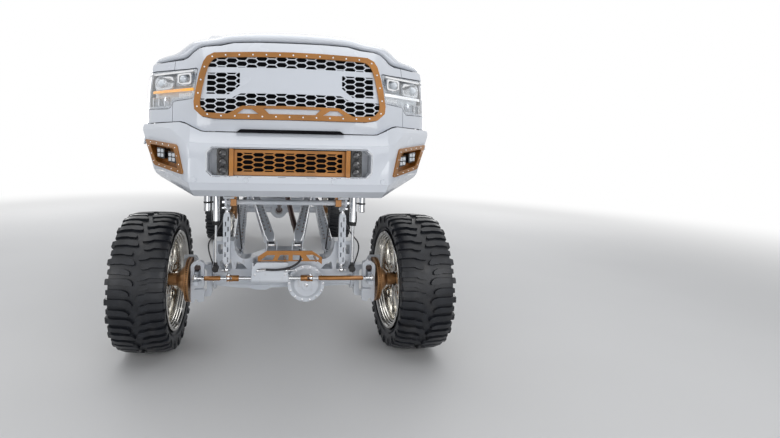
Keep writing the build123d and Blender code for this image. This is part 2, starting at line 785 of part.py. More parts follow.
def cab_shell():
    outer = cab_solid(0, 0, 0, 0, SILL_Z)
    cavity = cab_solid(100, 62, 62, 45, FLOOR_Z + 35)
    under = BODY_HALF_WIDTH - 200
    tunnel = block((-under, under), (COWL_Y - 10, CAB_REAR_Y + 10), (SILL_Z - 10, FLOOR_Z))
    shell = outer - cavity - tunnel
    gap = PANEL_GAP
    doorway = front_door_outline(gap)
    doorway = prism_x(doorway, 300, REACH) + prism_x(rear_door_outline(gap), 300, REACH)
    for opening in both_sides(doorway):
        shell = shell - opening
    beside = block(
        (FENDER_INNER_X, REACH), (COWL_Y - 10, DOOR_FRONT_Y - gap), (SILL_Z - 10, FENDER_TOP_Z)
    )
    for side in both_sides(beside):
        shell = shell - side
    post = cab_solid(DOOR_THICKNESS + 10, FRAME_THICKNESS + 8, 0, 30, FLOOR_Z + 10)
    post = post - cab_solid(DOOR_THICKNESS + 60, FRAME_THICKNESS + 58, 0, 60, FLOOR_Z)
    post = post & block(
        (-REACH, REACH), (DOOR_SPLIT_Y - 50, DOOR_SPLIT_Y + 60), (FLOOR_Z + 10, ROOF_Z - 60)
    )
    shell = shell + post
    for window, _ in screens():
        shell = shell - window
    for hinge in both_sides(door_hinge_plates()):
        shell = shell + hinge
    return shell + hood_brackets()


def door_hinge_plates():
    """Bent plates for the front door and flat ones for the rear door, left side."""
    plates = Part()
    end = HINGE_X - HINGE_RADIUS - SEAT
    front, rear = FRONT_HINGE_Y, REAR_HINGE_Y
    root = (FENDER_INNER_X - 18, FENDER_INNER_X - 2)
    for z in HINGES_Z:
        heights = (z - 40, z + 40)
        plates = plates + block(root, (DOOR_FRONT_Y - PANEL_GAP - 1, front + 1), heights)
        plates = plates + block((root[0], end), (front - 1, front + 1), heights)
        plates = plates + block((BODY_HALF_WIDTH - 120, end), (rear - 1, rear + 1), heights)
    return plates


def door_hinge_pins(y):
    """Pins on the hinge axis with the webs that join them to the door behind."""
    pins = Part()
    for z in HINGES_Z:
        pins = pins + rod((HINGE_X, y, z - 40), (HINGE_X, y, z + 40), HINGE_RADIUS)
        web = (HINGE_X - HINGE_RADIUS, BODY_HALF_WIDTH - 0.5)
        pins = pins + block(web, (y, y + PANEL_GAP / 2 + 1), (z - 40, z + 40))
    return pins


def hood_brackets():
    """Brackets on the cowl, ending just behind the hood's hinge pins."""
    brackets = Part()
    for x in (-HOOD_HINGE_X, HOOD_HINGE_X):
        face_y = HOOD_HINGE_Y + HINGE_RADIUS + SEAT
        brackets = brackets + block(
            (x - 10, x + 10), (face_y, COWL_Y + 12), (SCREEN_BASE[1] - 70, HOOD_HINGE_Z + 2)
        )
    return brackets


def hood_hinge_pins():
    pins = Part()
    for x in (-HOOD_HINGE_X, HOOD_HINGE_X):
        pin = rod((x - 10, HOOD_HINGE_Y, HOOD_HINGE_Z), (x + 10, HOOD_HINGE_Y, HOOD_HINGE_Z), HINGE_RADIUS)
        web = block(
            (x - 10, x + 10),
            (HOOD_REAR_Y - 12, HOOD_HINGE_Y),
            (HOOD_HINGE_Z - HINGE_RADIUS, HOOD_HINGE_Z + HINGE_RADIUS - 1),
        )
        pins = pins + pin + web
    return pins


def screens():
    """Windscreen and rear window: each an opening and its pane."""
    rise = degrees(PILLAR_ANGLE)
    length = (PILLAR_RUN[0] ** 2 + PILLAR_RUN[1] ** 2) ** 0.5
    front_plane = Plane(
        origin=(0, SCREEN_BASE[0], SCREEN_BASE[1]),
        x_dir=(1, 0, 0),
        z_dir=(0, -sin(radians(rise)), cos(radians(rise))),
    )
    low, high = BODY_HALF_WIDTH - 150, BODY_HALF_WIDTH - 280
    front = Polygon(
        (-low, 45), (low, 45), (high, length - 40), (-high, length - 40), align=None
    )
    front = fillet(front.vertices(), 50)
    run = (REAR_SCREEN_BASE[0] - REAR_SCREEN_TOP[0], REAR_SCREEN_TOP[1] - REAR_SCREEN_BASE[1])
    rear_length = (run[0] ** 2 + run[1] ** 2) ** 0.5
    slope = atan2(run[1], run[0])
    rear_plane = Plane(
        origin=(0, REAR_SCREEN_BASE[0], REAR_SCREEN_BASE[1]),
        x_dir=(-1, 0, 0),
        z_dir=(0, sin(slope), cos(slope)),
    )
    low, high = low - 150, high - 100
    rear = Polygon(
        (-low, 60), (low, 60), (high, rear_length - 60), (-high, rear_length - 60), align=None
    )
    rear = fillet(rear.vertices(), 50)
    made = []
    for plane, face in ((front_plane, front), (rear_plane, rear)):
        opening = extrude(plane.offset(-140) * face, amount=240, dir=plane.z_dir)
        pane = extrude(
            plane.offset(-12 - GLASS_THICKNESS) * face, amount=GLASS_THICKNESS, dir=plane.z_dir
        )
        made.append((opening, pane))
    return made


# Front clip plan outline, left half: X and Y from the door forward to the nose
NOSE_PLAN = [
    (BODY_HALF_WIDTH, DOOR_FRONT_Y - PANEL_GAP),
    (BODY_HALF_WIDTH, -180),
    (BODY_HALF_WIDTH - 8, -420),
    (BODY_HALF_WIDTH - 42, -600),
    (BODY_HALF_WIDTH - 95, -665),
    (BODY_HALF_WIDTH * 0.6, -890),
    (BODY_HALF_WIDTH * 0.5, -950),
]
NOSE_FRONT_Y = -972
NOSE_BACK_Y = -640
LAMP_INNER_X = BODY_HALF_WIDTH - 427
LAMP_OUTER_X = BODY_HALF_WIDTH + 10
SHELL_SEAM_X = BODY_HALF_WIDTH - 255
HOOD_HALF_WIDTH = BODY_HALF_WIDTH - 95


def nose_plan(inset=0):
    half = []
    for x, y in NOSE_PLAN:
        half.append((x - inset, y) if x >= HOOD_HALF_WIDTH else (x - inset * 0.6, y + inset))
    return half + [(-x, y) for x, y in reversed(half)]


# Hood sections: y, centre z, z at the dome's edge, at the step, at the shoulder, at the side
HOOD_STATIONS = (
    (-1000, 2326, 2319, 2300, 2218, 2198),
    (-850, 2364, 2357, 2337, 2242, 2222),
    (-600, 2428, 2421, 2396, 2305, 2258),
    (-250, 2464, 2457, 2434, 2346, 2312),
    (DOOR_FRONT_Y + 50, 2508, 2501, 2480, 2418, 2400),
)
HOOD_COLUMNS_X = [BODY_HALF_WIDTH * part for part in (0, 0.47, 0.575, 0.7, 0.905)]
HOOD_THICKNESS = 34


def hood_section(station, drop):
    y, *heights = station
    points = [(x, z - drop) for x, z in zip(HOOD_COLUMNS_X, heights)]
    wire = points + [(HOOD_COLUMNS_X[-1], heights[-1] - drop - HOOD_THICKNESS)]
    wire += [(x, z - drop - HOOD_THICKNESS) for x, z in reversed(points[:-1])]
    half = wire[1:-1]
    full = [wire[0]] + half + [wire[-1]] + [(-x, z) for x, z in reversed(half)]
    plane = Plane(origin=(0, y, 0), x_dir=(1, 0, 0), z_dir=(0, -1, 0))
    return plane * Polygon(*full, align=None)


def hood():
    lid = loft([hood_section(s, 0) for s in HOOD_STATIONS], ruled=True)
    plan = [(x, y if x > HOOD_HALF_WIDTH else y + 40) for x, y in NOSE_PLAN]
    plan = plan + [(-x, y) for x, y in reversed(plan)]
    side = HOOD_HALF_WIDTH
    reach = prism_z(plan, SILL_Z, ROOF_Z) & block((-side, side), (-1100, HOOD_REAR_Y), (SILL_Z, ROOF_Z))
    return lid & reach


def under_hood(drop):
    """Space from the hood's skin up, lowered by drop."""
    faces = []
    for y, *heights in HOOD_STATIONS:
        points = [(x, z - drop) for x, z in zip(HOOD_COLUMNS_X, heights)]
        points = points + [(REACH, points[-1][1])]
        full = points + [(REACH, ROOF_Z), (-REACH, ROOF_Z)] + [(-x, z) for x, z in reversed(points[1:])]
        plane = Plane(origin=(0, y, 0), x_dir=(1, 0, 0), z_dir=(0, -1, 0))
        faces.append(plane * Polygon(*full, align=None))
    return loft(faces, ruled=True)


GRILLE_OUTLINE = [
    (486, 2242),
    (540, 2182),
    (587, 1930),
    (570, 1882),
    (495, 1829),
]


def grille_outline(grow=0):
    half = []
    for x, z in GRILLE_OUTLINE:
        half.append((x + grow, z + (grow if z > 2050 else -grow)))
    return half + [(-x, z) for x, z in reversed(half)]


LAMP_OUTLINE = [
    (LAMP_INNER_X, 2158),
    (LAMP_OUTER_X, 2160),
    (LAMP_OUTER_X, 1908),
    (LAMP_INNER_X + 195, 1904),
    (LAMP_INNER_X + 160, 1954),
    (LAMP_INNER_X + 20, 1961),
]


def nose_solid():
    """Front clip with its outside faces, before it is split into panels."""
    plan = nose_plan()
    solid = prism_z(plan, SILL_Z - 40, BELT_Z)
    side = [
        (NOSE_FRONT_Y + 6, 1750),
        (NOSE_FRONT_Y - 10, 1840),
        (NOSE_FRONT_Y + 8, 2000),
        (NOSE_FRONT_Y + 50, 2200),
        (NOSE_FRONT_Y + 128, 2360),
        (-200, BELT_Z - 20),
        (DOOR_FRONT_Y - PANEL_GAP, BELT_Z - 20),
        (DOOR_FRONT_Y - PANEL_GAP, SILL_Z),
        (COWL_Y - 50, SILL_Z),
        (-500, FRAME_TOP_Z + 12),
        (-885, FRAME_TOP_Z + 12),
    ]
    solid = solid & prism_x(side, -REACH, REACH)
    return solid - under_hood(HOOD_THICKNESS + 8) - hood_clearance()


def hood_clearance():
    side = HOOD_HALF_WIDTH + 6
    return block((-side, side), (-1100, HOOD_REAR_Y + 16), (2150, ROOF_Z)) & under_hood(44)


def lamp_pockets(grow=0):
    points = []
    for x, z in LAMP_OUTLINE:
        points.append((x + (grow if x == LAMP_OUTER_X else -grow), z + (grow if z > 2000 else -grow)))
    return both_sides(prism_y(points, -1100, NOSE_BACK_Y))


def above_bumper():
    """Room for the bumper, with a gap along the line of its top edge."""
    top = full_width([(0, 1763), (521, 1763), (679, 1826), (REACH, 1826), (REACH, 1350), (0, 1350)])
    return prism_y(top, -1200, BUMPER_BACK_Y + 12)


def front_clip():
    nose = nose_solid()
    bay = BODY_HALF_WIDTH - 300
    bay = block((-bay, bay), (-780, COWL_Y + 60), (SILL_Z - 100, ROOF_Z))
    arch = rod((-REACH, 0, ARCH_Z), (REACH, 0, ARCH_Z), ARCH_RADIUS)
    low = block((-REACH, REACH), (-ARCH_RADIUS + 20, ARCH_RADIUS - 20), (SILL_Z - 200, ARCH_Z))
    behind_cowl = block((-FENDER_INNER_X, FENDER_INNER_X), (COWL_Y - SEAT, 900), (1500, ROOF_Z))
    nose = nose - bay - arch - low - behind_cowl - above_bumper()
    for pocket in lamp_pockets():
        nose = nose - pocket
    opening = prism_y(grille_outline(), -1100, -700)
    seam = 3
    heights = (1500, ROOF_Z)
    shell = nose & block((-SHELL_SEAM_X + seam, SHELL_SEAM_X - seam), (-1100, NOSE_BACK_Y), heights)
    shell = shell - opening
    behind = block((-REACH, REACH), (NOSE_BACK_Y, 900), heights)
    outside = block((SHELL_SEAM_X + seam, REACH), (-1100, NOSE_BACK_Y), heights)
    fenders = []
    for side in both_sides(outside):
        fenders.append(nose & side)
    rear = nose & behind
    left = (rear & block((0, REACH), (-700, 900), heights)) + fenders[0]
    right = mirror(left, about=Plane.YZ)
    return shell, left, right


# Front bumper plan sections: z, front y, front half width, wing y, wing half width
BUMPER_SECTIONS = (
    (1450, -1004, BODY_HALF_WIDTH - 398, -690, BODY_HALF_WIDTH - 112),
    (1716, -1004, BODY_HALF_WIDTH - 360, -640, BODY_HALF_WIDTH - 26),
    (1836, -945, BODY_HALF_WIDTH - 368, -640, BODY_HALF_WIDTH - 40),
)
BUMPER_BACK_Y = -500
RECESS_HALF_WIDTH = 502
RECESS_LOW_Z = 1490
RECESS_HIGH_Z = 1668
RECESS_CHAMFER = 33
RECESS = [
    (0, RECESS_HIGH_Z),
    (RECESS_HALF_WIDTH - RECESS_CHAMFER, RECESS_HIGH_Z),
    (RECESS_HALF_WIDTH, RECESS_HIGH_Z - RECESS_CHAMFER),
    (RECESS_HALF_WIDTH, RECESS_LOW_Z + RECESS_CHAMFER),
    (RECESS_HALF_WIDTH - RECESS_CHAMFER, RECESS_LOW_Z),
    (0, RECESS_LOW_Z),
]

# Lamp pocket on each wing, in the wing's own plane: along it and up it
BEZEL_OUTLINE = [(24, -214), (356, -167), (449, -6), (71, -41)]
BEZEL_WIDTH = 22
BEZEL_DEPTH = 60
BEZEL_CUBES = ((150, -118), (290, -92))


def bumper_section(row, inset=0):
    z, front_y, front_x, wing_y, wing_x = row
    half = [
        (front_x - inset * 0.4, front_y + inset),
        (wing_x - inset, wing_y + inset * 0.4),
        (wing_x - inset, BUMPER_BACK_Y),
    ]
    full = half + [(-x, y) for x, y in reversed(half)]
    return Plane.XY.offset(z) * Polygon(*full, align=None)


def bumper():
    solid = loft([bumper_section(r) for r in BUMPER_SECTIONS], ruled=True)
    rows = [(r[0] + d, *r[1:]) for r, d in zip(BUMPER_SECTIONS, (-20, 0, 20))]
    hollow = loft([bumper_section(r, 34) for r in rows], ruled=True)
    solid = solid - hollow
    top = full_width([(0, 1752), (521, 1752), (674, 1814), (REACH, 1816), (REACH, 2000), (0, 2000)])
    solid = solid - prism_y(top, -1200, -300)
    for side in (1, -1):
        wedge = [(602 * side, 1440), (REACH * side, 1440), (REACH * side, 1576), (903 * side, 1517)]
        solid = solid - prism_y(wedge, -1200, -300)
    solid = solid - prism_y(full_width(RECESS), -1100, -900)
    for pocket in both_sides(bezel_layer(0, -BEZEL_DEPTH - 40, 60)):
        solid = solid - pocket
    valance = prism_z(
        [(595, -985), (770, -790), (770, -560), (-770, -560), (-770, -790), (-595, -985)], 1362, 1450
    )
    chop = prism_x([(-1100, 1452), (-996, 1452), (-880, 1356), (-1100, 1356)], -900, 900)
    valance = valance - chop
    solid = solid + valance
    for x in (-RAIL_X, RAIL_X):
        solid = solid + block((x - 60, x + 60), (-975, RAIL_FRONT_Y), (RECESS_HIGH_Z + 4, 1738))
    return solid


def wing_plane():
    """Plane of the left wing's face, its X outwards along the wing and its Y up."""
    foot, top = BUMPER_SECTIONS[:2]
    near, far = Vector(top[2], top[1], top[0]), Vector(top[4], top[3], top[0])
    below = Vector(foot[2], foot[1], foot[0])
    return Plane(origin=near, x_dir=far - near, z_dir=(below - near).cross(far - near))


def bezel_layer(inset, low, high):
    """Left lamp outline moved in by inset, from one depth to another off the wing's face."""
    face = fillet(Polygon(*BEZEL_OUTLINE, align=None).vertices(), 20)
    if inset:
        face = offset(face, amount=-inset, kind=Kind.INTERSECTION)
    plane = wing_plane()
    return extrude(plane.offset(low) * face, amount=high - low, dir=plane.z_dir)


def corner_bezels():
    """Trays set in the wings, with the rim standing a little proud."""
    tray = bezel_layer(SEAT, -BEZEL_DEPTH, 5) - bezel_layer(BEZEL_WIDTH, 6 - BEZEL_DEPTH, 20)
    return both_sides(tray)


def bumper_lamps():
    """Upright lamp pods in the recess and two square lamps in each corner tray."""
    pods = []
    for side in (-1, 1):
        pod = block(
            sorted((372 * side, 440 * side)), (-985, -910), (RECESS_LOW_Z + SEAT, RECESS_HIGH_Z - SEAT)
        )
        for z in (1526, 1579, 1632):
            pod = pod - rod((406 * side, -990, z), (406 * side, -979, z), 22)
        pods.append(pod)
    plane = wing_plane()
    for x, y in BEZEL_CUBES:
        cube = Pos(x, y, 0) * RectangleRounded(66, 66, 10)
        seat_depth = 6 - BEZEL_DEPTH + SEAT
        pods += both_sides(extrude(plane.offset(seat_depth) * cube, amount=-8 - seat_depth, dir=plane.z_dir))
    return pods


def hexagon(x, z):
    """Stretched hexagon of the mesh, in X and Z."""
    half, high = HEXAGON_HALF
    flat = half * 0.58
    return [(x - half, z), (x - flat, z - high), (x + flat, z - high), (x + half, z), (x + flat, z + high), (x - flat, z + high)]


def hexagons(middle, share, bands):
    """Staggered hexagons that lie wholly in one of the bands: low and high X, low and high Z."""
    made = []
    pitch_x, pitch_z = (size * share for size in HEXAGON_PITCH)
    half, high = (size * share for size in HEXAGON_HALF)
    for column in range(-12, 13):
        for row in range(-8, 9):
            x = column * pitch_x
            z = middle + row * pitch_z + (pitch_z / 2 if column % 2 else 0)
            for x0, x1, z0, z1 in bands:
                inside = x0 <= abs(x) - half or (x0 == 0 and abs(x) + half <= x1)
                if inside and abs(x) + half <= x1 and z - high >= z0 and z + high <= z1:
                    made.append([(x + (px - x) * share, z + (pz - z) * share) for px, pz in hexagon(x, z)])
    return made


def perforated(face, holes, plane):
    """Face in X and Z with the holes cut through it, set on a plane."""
    for hole in holes:
        face = face - Polygon(*hole, align=None)
    return plane * face


def bumper_mesh():
    """Copper mesh in the recess with an upright blade at each end."""
    field = ((0, 322, RECESS_LOW_Z + 32, RECESS_HIGH_Z - 32),)
    plane = Plane(origin=(0, -960, 0), x_dir=(1, 0, 0), z_dir=(0, -1, 0))
    face = Polygon((-345, 1498), (345, 1498), (345, 1655), (-345, 1655), align=None)
    sheet = perforated(face, hexagons(1579, 0.74, field), plane)
    sheet = extrude(sheet, amount=10, dir=(0, 1, 0))
    for side in (-1, 1):
        blade = block(
            sorted((340 * side, 366 * side)), (-1000, -950), (RECESS_LOW_Z + SEAT, RECESS_HIGH_Z - SEAT)
        )
        sheet = sheet + blade
    return sheet


def frame_rails():
    """Two rails with the cross members and body mounts that sit between and on them."""
    pieces = []
    bottom = FRAME_TOP_Z - FRAME_DEPTH
    for x in (-RAIL_X, RAIL_X):
        profile = [
            (RAIL_FRONT_Y, bottom + 30),
            (RAIL_FRONT_Y, FRAME_TOP_Z - 30),
            (RAIL_FRONT_Y + 140, FRAME_TOP_Z),
            (RAIL_REAR_Y, FRAME_TOP_Z),
            (RAIL_REAR_Y, FRAME_TOP_Z - 120),
            (RAIL_REAR_Y - 700, bottom),
            (-500, bottom),
        ]
        pieces.append(prism_x(profile, x - RAIL_WIDTH / 2, x + RAIL_WIDTH / 2))
        for y in BODY_MOUNTS_Y:
            pieces.append(rod((x, y, FRAME_TOP_Z), (x, y, FLOOR_Z), 45))
        for y in BED_MOUNTS_Y:
            pieces.append(block((x - 45, x + 45), (y - 40, y + 40), (FRAME_TOP_Z, BED_FLOOR_Z - 50)))
    inside = RAIL_X - RAIL_WIDTH / 2
    for y in CROSS_MEMBERS_Y:
        pieces.append(
            block(
                (-inside, inside),
                (y - CROSS_MEMBER_HALF, y + CROSS_MEMBER_HALF),
                (FRAME_TOP_Z - 150, FRAME_TOP_Z - 40),
            )
        )
    return pieces


def drop_brackets():
    """Plates below the rails that carry the links' middle pivots and the shocks' tops."""
    pieces = []
    bottom = FRAME_TOP_Z - FRAME_DEPTH
    hub = LINK_HUB_Y
    spread = LINK_SPREAD
    for side in (-1, 1):
        x = RAIL_X * side
        plate = prism_x(
            [
                (hub - 420, bottom),
                (hub + 420, bottom),
                (hub + spread + 60, LINK_HUB_Z - 60),
                (hub - spread - 60, LINK_HUB_Z - 60),
            ],
            x - 12,
            x + 12,
        )
        hole = prism_x(
            [(hub - 250, 1520), (hub + 250, 1520), (hub + 110, 1260), (hub - 110, 1260)],
            x - 20,
            x + 20,
            30,
        )
        plate = plate - hole
        pins = (
            (RAIL_X - 12, UPPER_LINK_X + LINK_EYE_WIDTH / 2 + SEAT, UPPER_LINK_Z),
            (RAIL_X + 12, LOWER_LINK_X - LINK_EYE_WIDTH / 2 - SEAT, LINK_HUB_Z),
        )
        for y in (hub - spread, hub + spread):
            for root, end, z in pins:
                plate = plate + rod((root * side, y, z), (end * side, y, z), 16)
        pieces.append(plate)
        outer = (RAIL_X + RAIL_WIDTH / 2) * side
        for y in (-SHOCK_Y, WHEELBASE + SHOCK_Y):
            shelf = (outer, (SHOCK_X + SHOCK_RADIUS + 14) * side)
            top = block(sorted(shelf), (y - 55, y + 55), (SHOCK_TOP_Z + SEAT, SHOCK_TOP_Z + 18))
            pieces.append(top)
    tube = rod((-RAIL_X + 12, hub, LINK_HUB_Z), (RAIL_X - 12, hub, LINK_HUB_Z), 40)
    pieces.append(tube)
    return pieces


def front_axle():
    """Housing tube, differential and the two forks that hold the steering knuckles."""
    tube = rod((-610, 0, AXLE_Z), (610, 0, AXLE_Z), AXLE_TUBE_RADIUS)
    case = rod((DIFF_X, -110, AXLE_Z), (DIFF_X, 90, AXLE_Z), CASE_RADIUS)
    cover = rod((DIFF_X, -150, AXLE_Z), (DIFF_X, -110, AXLE_Z), 122)
    nose = rod((DIFF_X, 60, AXLE_Z), PINION_END, 62)
    axle = tube + case + nose + cover
    for side in (1, -1):
        fork = block(
            sorted((FORK_X * side, (KINGPIN_X + 28) * side)),
            (-42, 42),
            (AXLE_Z - FORK_HALF_HEIGHT, AXLE_Z + FORK_HALF_HEIGHT),
        )
        throat = block(
            sorted(((FORK_X + 36) * side, (KINGPIN_X + 60) * side)),
            (-60, 60),
            (AXLE_Z - KNUCKLE_HALF_HEIGHT - MOVING_GAP, AXLE_Z + KNUCKLE_HALF_HEIGHT + MOVING_GAP),
        )
        x = KINGPIN_X * side
        bore = rod(
            (x, 0, AXLE_Z - FORK_HALF_HEIGHT - 5),
            (x, 0, AXLE_Z + FORK_HALF_HEIGHT + 5),
            KINGPIN_RADIUS + 0.05,
        )
        axle = axle + (fork - throat) - bore
    return axle


# Truss outline above the axle's centre, half, and its windows
TRUSS_HALF = [
    (0, 262),
    (120, 262),
    (165, 245),
    (205, 225),
    (270, 203),
    (320, 193),
    (355, 199),
    (385, 223),
    (405, 261),
    (413, 305),
    (416, 343),
    (585, 343),
    (585, 135),
    (560, 65),
    (470, AXLE_TUBE_RADIUS + SEAT),
    (0, AXLE_TUBE_RADIUS + SEAT),
]
TRUSS_WINDOWS = (
    [(475, 235), (545, 235), (545, 315), (475, 315)],
    [(300, 107), (405, 107), (392, 168), (345, 151)],
    [(430, 124), (530, 134), (530, 180), (440, 195)],
)


def truss(y, toward, tube_radius, case_x, case_radius):
    """Windowed bridge over an axle, with a tower at each end and a saddle in the middle."""
    z = AXLE_Z
    half = [(x, z + height) for x, height in TRUSS_HALF]
    solid = prism_y(full_width(half), y - TRUSS_DEPTH, y + TRUSS_DEPTH)
    for window in TRUSS_WINDOWS:
        hole = prism_y([(x, z + height) for x, height in window], y - 100, y + 100, 8)
        for side in both_sides(hole):
            solid = solid - side
    solid = solid - rod((case_x, y - 200, z), (case_x, y + 200, z), case_radius + SEAT)
    solid = solid - rod((-700, y, z), (700, y, z), tube_radius + SEAT)
    stub_end = SHOCK_Y - SHOCK_EYE_HALF - SEAT
    for side in (-1, 1):
        x = SHOCK_X * side
        start = (x, y + (TRUSS_DEPTH - 5) * toward, SHOCK_EYE_Z)
        solid = solid + rod(start, (x, y + stub_end * toward, SHOCK_EYE_Z), 18)
    return solid


def axle_trusses():
    front = truss(0, -1, AXLE_TUBE_RADIUS, DIFF_X, CASE_RADIUS)
    return [front, truss(WHEELBASE, 1, REAR_TUBE_RADIUS, 0, REAR_CASE_RADIUS)]


BRACE_FOOT_Z = STEER_Z + 140
BRACE_OUTLINE = [(-216, 0), (-216, 40), (-144, 88), (216, 88), (297, 34), (296, -20), (262, 0)]
BRACE_WINDOWS = (
    [(-194, 12), (-144, 52), (-78, 55), (-98, 12)],
    [(-61, 12), (-39, 55), (28, 55), (28, 12)],
    [(61, 12), (61, 55), (122, 52), (146, 12)],
    [(166, 55), (232, 55), (274, 28), (271, 12), (199, 14)],
)


def truss_brace():
    """Windowed plate standing on the steering cylinder's cradle."""
    front, back = -STEER_ARM - 28, -STEER_ARM - 14
    plate = prism_y([(x, BRACE_FOOT_Z + height) for x, height in BRACE_OUTLINE], front, back)
    for window in BRACE_WINDOWS:
        outline_points = [(x, BRACE_FOOT_Z + height) for x, height in window]
        plate = plate - prism_y(outline_points, front - 5, back + 5, 5)
    return plate


def steering_cylinder():
    low, high = RAM_X - RAM_HALF_LENGTH, RAM_X + RAM_HALF_LENGTH
    body = rod((low, -STEER_ARM, STEER_Z), (high, -STEER_ARM, STEER_Z), RAM_RADIUS)
    cradle = block(
        (low + 4, high - 4), (-STEER_ARM - 40, -TRUSS_DEPTH), (STEER_Z + 30, BRACE_FOOT_Z - SEAT)
    )
    return body + cradle - rod((low - 5, -STEER_ARM, STEER_Z), (high + 5, -STEER_ARM, STEER_Z), ROD_RADIUS + 0.5)


def steering_rods():
    """The ram's rod with its two clevises and the tie rods out to the knuckle arms."""
    y, z = -STEER_ARM, STEER_Z
    rods = rod((RAM_X - CLEVIS_OUT, y, z), (RAM_X + CLEVIS_OUT, y, z), ROD_RADIUS)
    for side in (-1, 1):
        inner = RAM_X + side * (CLEVIS_OUT - 10)
        rods = rods + rod((inner, y, z), (side * (KINGPIN_X + 12), y, z), TIE_RADIUS)
    return rods


def knuckle(side):
    """Steering knuckle: post on the kingpins, spindle and the arm in front."""
    x = KINGPIN_X * side
    z = AXLE_Z
    post = block(sorted((x - 26 * side, x + 34 * side)), (-50, 50), (z - KNUCKLE_HALF_HEIGHT, z + KNUCKLE_HALF_HEIGHT))
    pins = rod((x, 0, z - FORK_HALF_HEIGHT), (x, 0, z + FORK_HALF_HEIGHT), KINGPIN_RADIUS)
    spindle = rod((x + 20 * side, 0, z), ((ROTOR_X - ROTOR_WIDTH / 2 - 0.5) * side, 0, z), 60)
    top = STEER_Z - TIE_RADIUS - MOVING_GAP
    arm = block(sorted((x - 20 * side, x + 30 * side)), (-STEER_ARM - 24, -30), (top - 26, top))
    arch = [(649, 530), (647, 730), (684, 757), (728, 752), (ROTOR_X - 34, 715), (ROTOR_X - 34, 520), (745, 520), (745, 545)]
    window = [(678, 585), (676, 705), (700, 722), (716, 716), (730, 690), (730, 585)]
    arch = [(outside * side, height) for outside, height in arch]
    window = [(outside * side, height) for outside, height in window]
    plate = prism_y(arch, -136, -96, 3) - prism_y(window, -150, -80, 8)
    foot = [(649, 420), (649, 520), (ROTOR_X - 34, 520), (ROTOR_X - 34, 430), (735, 408), (725, 440), (705, 440), (695, 412)]
    plate = plate + prism_y([(outside * side, height) for outside, height in foot], -136, -96)
    for bottom, height in ((z - 90, 55), (z + 47, 43)):
        bridge = sorted((x, x + 34 * side))
        plate = plate + block(bridge, (-110, -40), (bottom, bottom + height))
    return post + pins + spindle + arm + plate


def rotor(side):
    inner = (ROTOR_X - ROTOR_WIDTH / 2) * side
    outer = (ROTOR_X + ROTOR_WIDTH / 2) * side
    disc = rod((inner, 0, AXLE_Z), (outer, 0, AXLE_Z), ROTOR_RADIUS)
    profile = [(0, 0), (0, HUB_RADIUS), (24, HUB_RADIUS), (92, 80), (118, 54), (WHEEL_FACE_X - ROTOR_X - ROTOR_WIDTH / 2, 50)]
    profile.append((profile[-1][0], 0))
    hat = revolve(make_face(Polyline(*[(x, r, 0) for x, r in profile], close=True)), axis=Axis.X)
    return disc + Pos(outer, 0, AXLE_Z) * Rot(0, 0, 0 if side > 0 else 180) * hat


def tyre_shape():
    """Tyre about the X axis at the origin."""
    half = TYRE_WIDTH / 2
    section = [
        (-half + 30, RIM_RADIUS - 8),
        (half - 30, RIM_RADIUS - 8),
        (half, RIM_RADIUS + 60),
        (half, TYRE_RADIUS - 60),
        (half - 45, TYRE_RADIUS),
        (-half + 45, TYRE_RADIUS),
        (-half, TYRE_RADIUS - 60),
        (-half, RIM_RADIUS + 60),
    ]
    face = make_face(Polyline(*[(x, r, 0) for x, r in section], close=True))
    return revolve(face, axis=Axis.X)


def rim_shape():
    """Rim about the X axis at the origin, with its face towards +X."""
    half = TYRE_WIDTH / 2 - 14
    section = [
        (-half, RIM_RADIUS),
        (-half + 20, RIM_RADIUS),
        (-half + 20, RIM_RADIUS - 9),
        (half - 20, RIM_RADIUS - 9),
        (half - 20, RIM_RADIUS),
        (half, RIM_RADIUS),
        (half, RIM_RADIUS - 40),
        (-half, RIM_RADIUS - 40),
    ]
    section = [(x, r - 8.3 if r > RIM_RADIUS - 20 else r) for x, r in section]
    face = make_face(Polyline(*[(x, r, 0) for x, r in section], close=True))
    barrel = revolve(face, axis=Axis.X)
    plate = WHEEL_FACE_X - HALF_TRACK
    disc = rod((plate + 0.3, 0, 0), (plate + 36, 0, 0), RIM_RADIUS - 30)
    return barrel + disc


def wheel_set():
    parts = {}
    tyre, rim = tyre_shape(), rim_shape()
    for name, side, y in (("fl", 1, 0), ("fr", -1, 0), ("rl", 1, WHEELBASE), ("rr", -1, WHEELBASE)):
        place = Pos(HALF_TRACK * side, y, AXLE_Z)
        turn = Rot(0, 0, 0) if side > 0 else Rot(0, 0, 180)
        parts[f"tyre_{name}"] = place * turn * tyre
        parts[f"rim_{name}"] = place * turn * rim
        parts[f"rotor_{name}"] = Pos(0, y, 0) * rotor(side)
    return parts


def rear_axle():
    y = WHEELBASE
    reach = ROTOR_X - ROTOR_WIDTH / 2 - 0.5
    tube = rod((-reach, y, AXLE_Z), (reach, y, AXLE_Z), REAR_TUBE_RADIUS)
    case = rod((0, y - 110, AXLE_Z), (0, y + 150, AXLE_Z), REAR_CASE_RADIUS)
    nose = rod((0, y - 330, AXLE_Z + 20), (0, y - 100, AXLE_Z), 65)
    return tube + case + nose


def tapered(length, neck, half, start):
    """Outline of an arm along its run: narrow at the eyes, full between."""
    left, right = start, length - start
    return Polygon(
        (left, -neck), (length * 0.12, -half), (length * 0.88, -half), (right, -neck),
        (right, neck), (length * 0.88, half), (length * 0.12, half), (left, neck),
        align=None,
    )


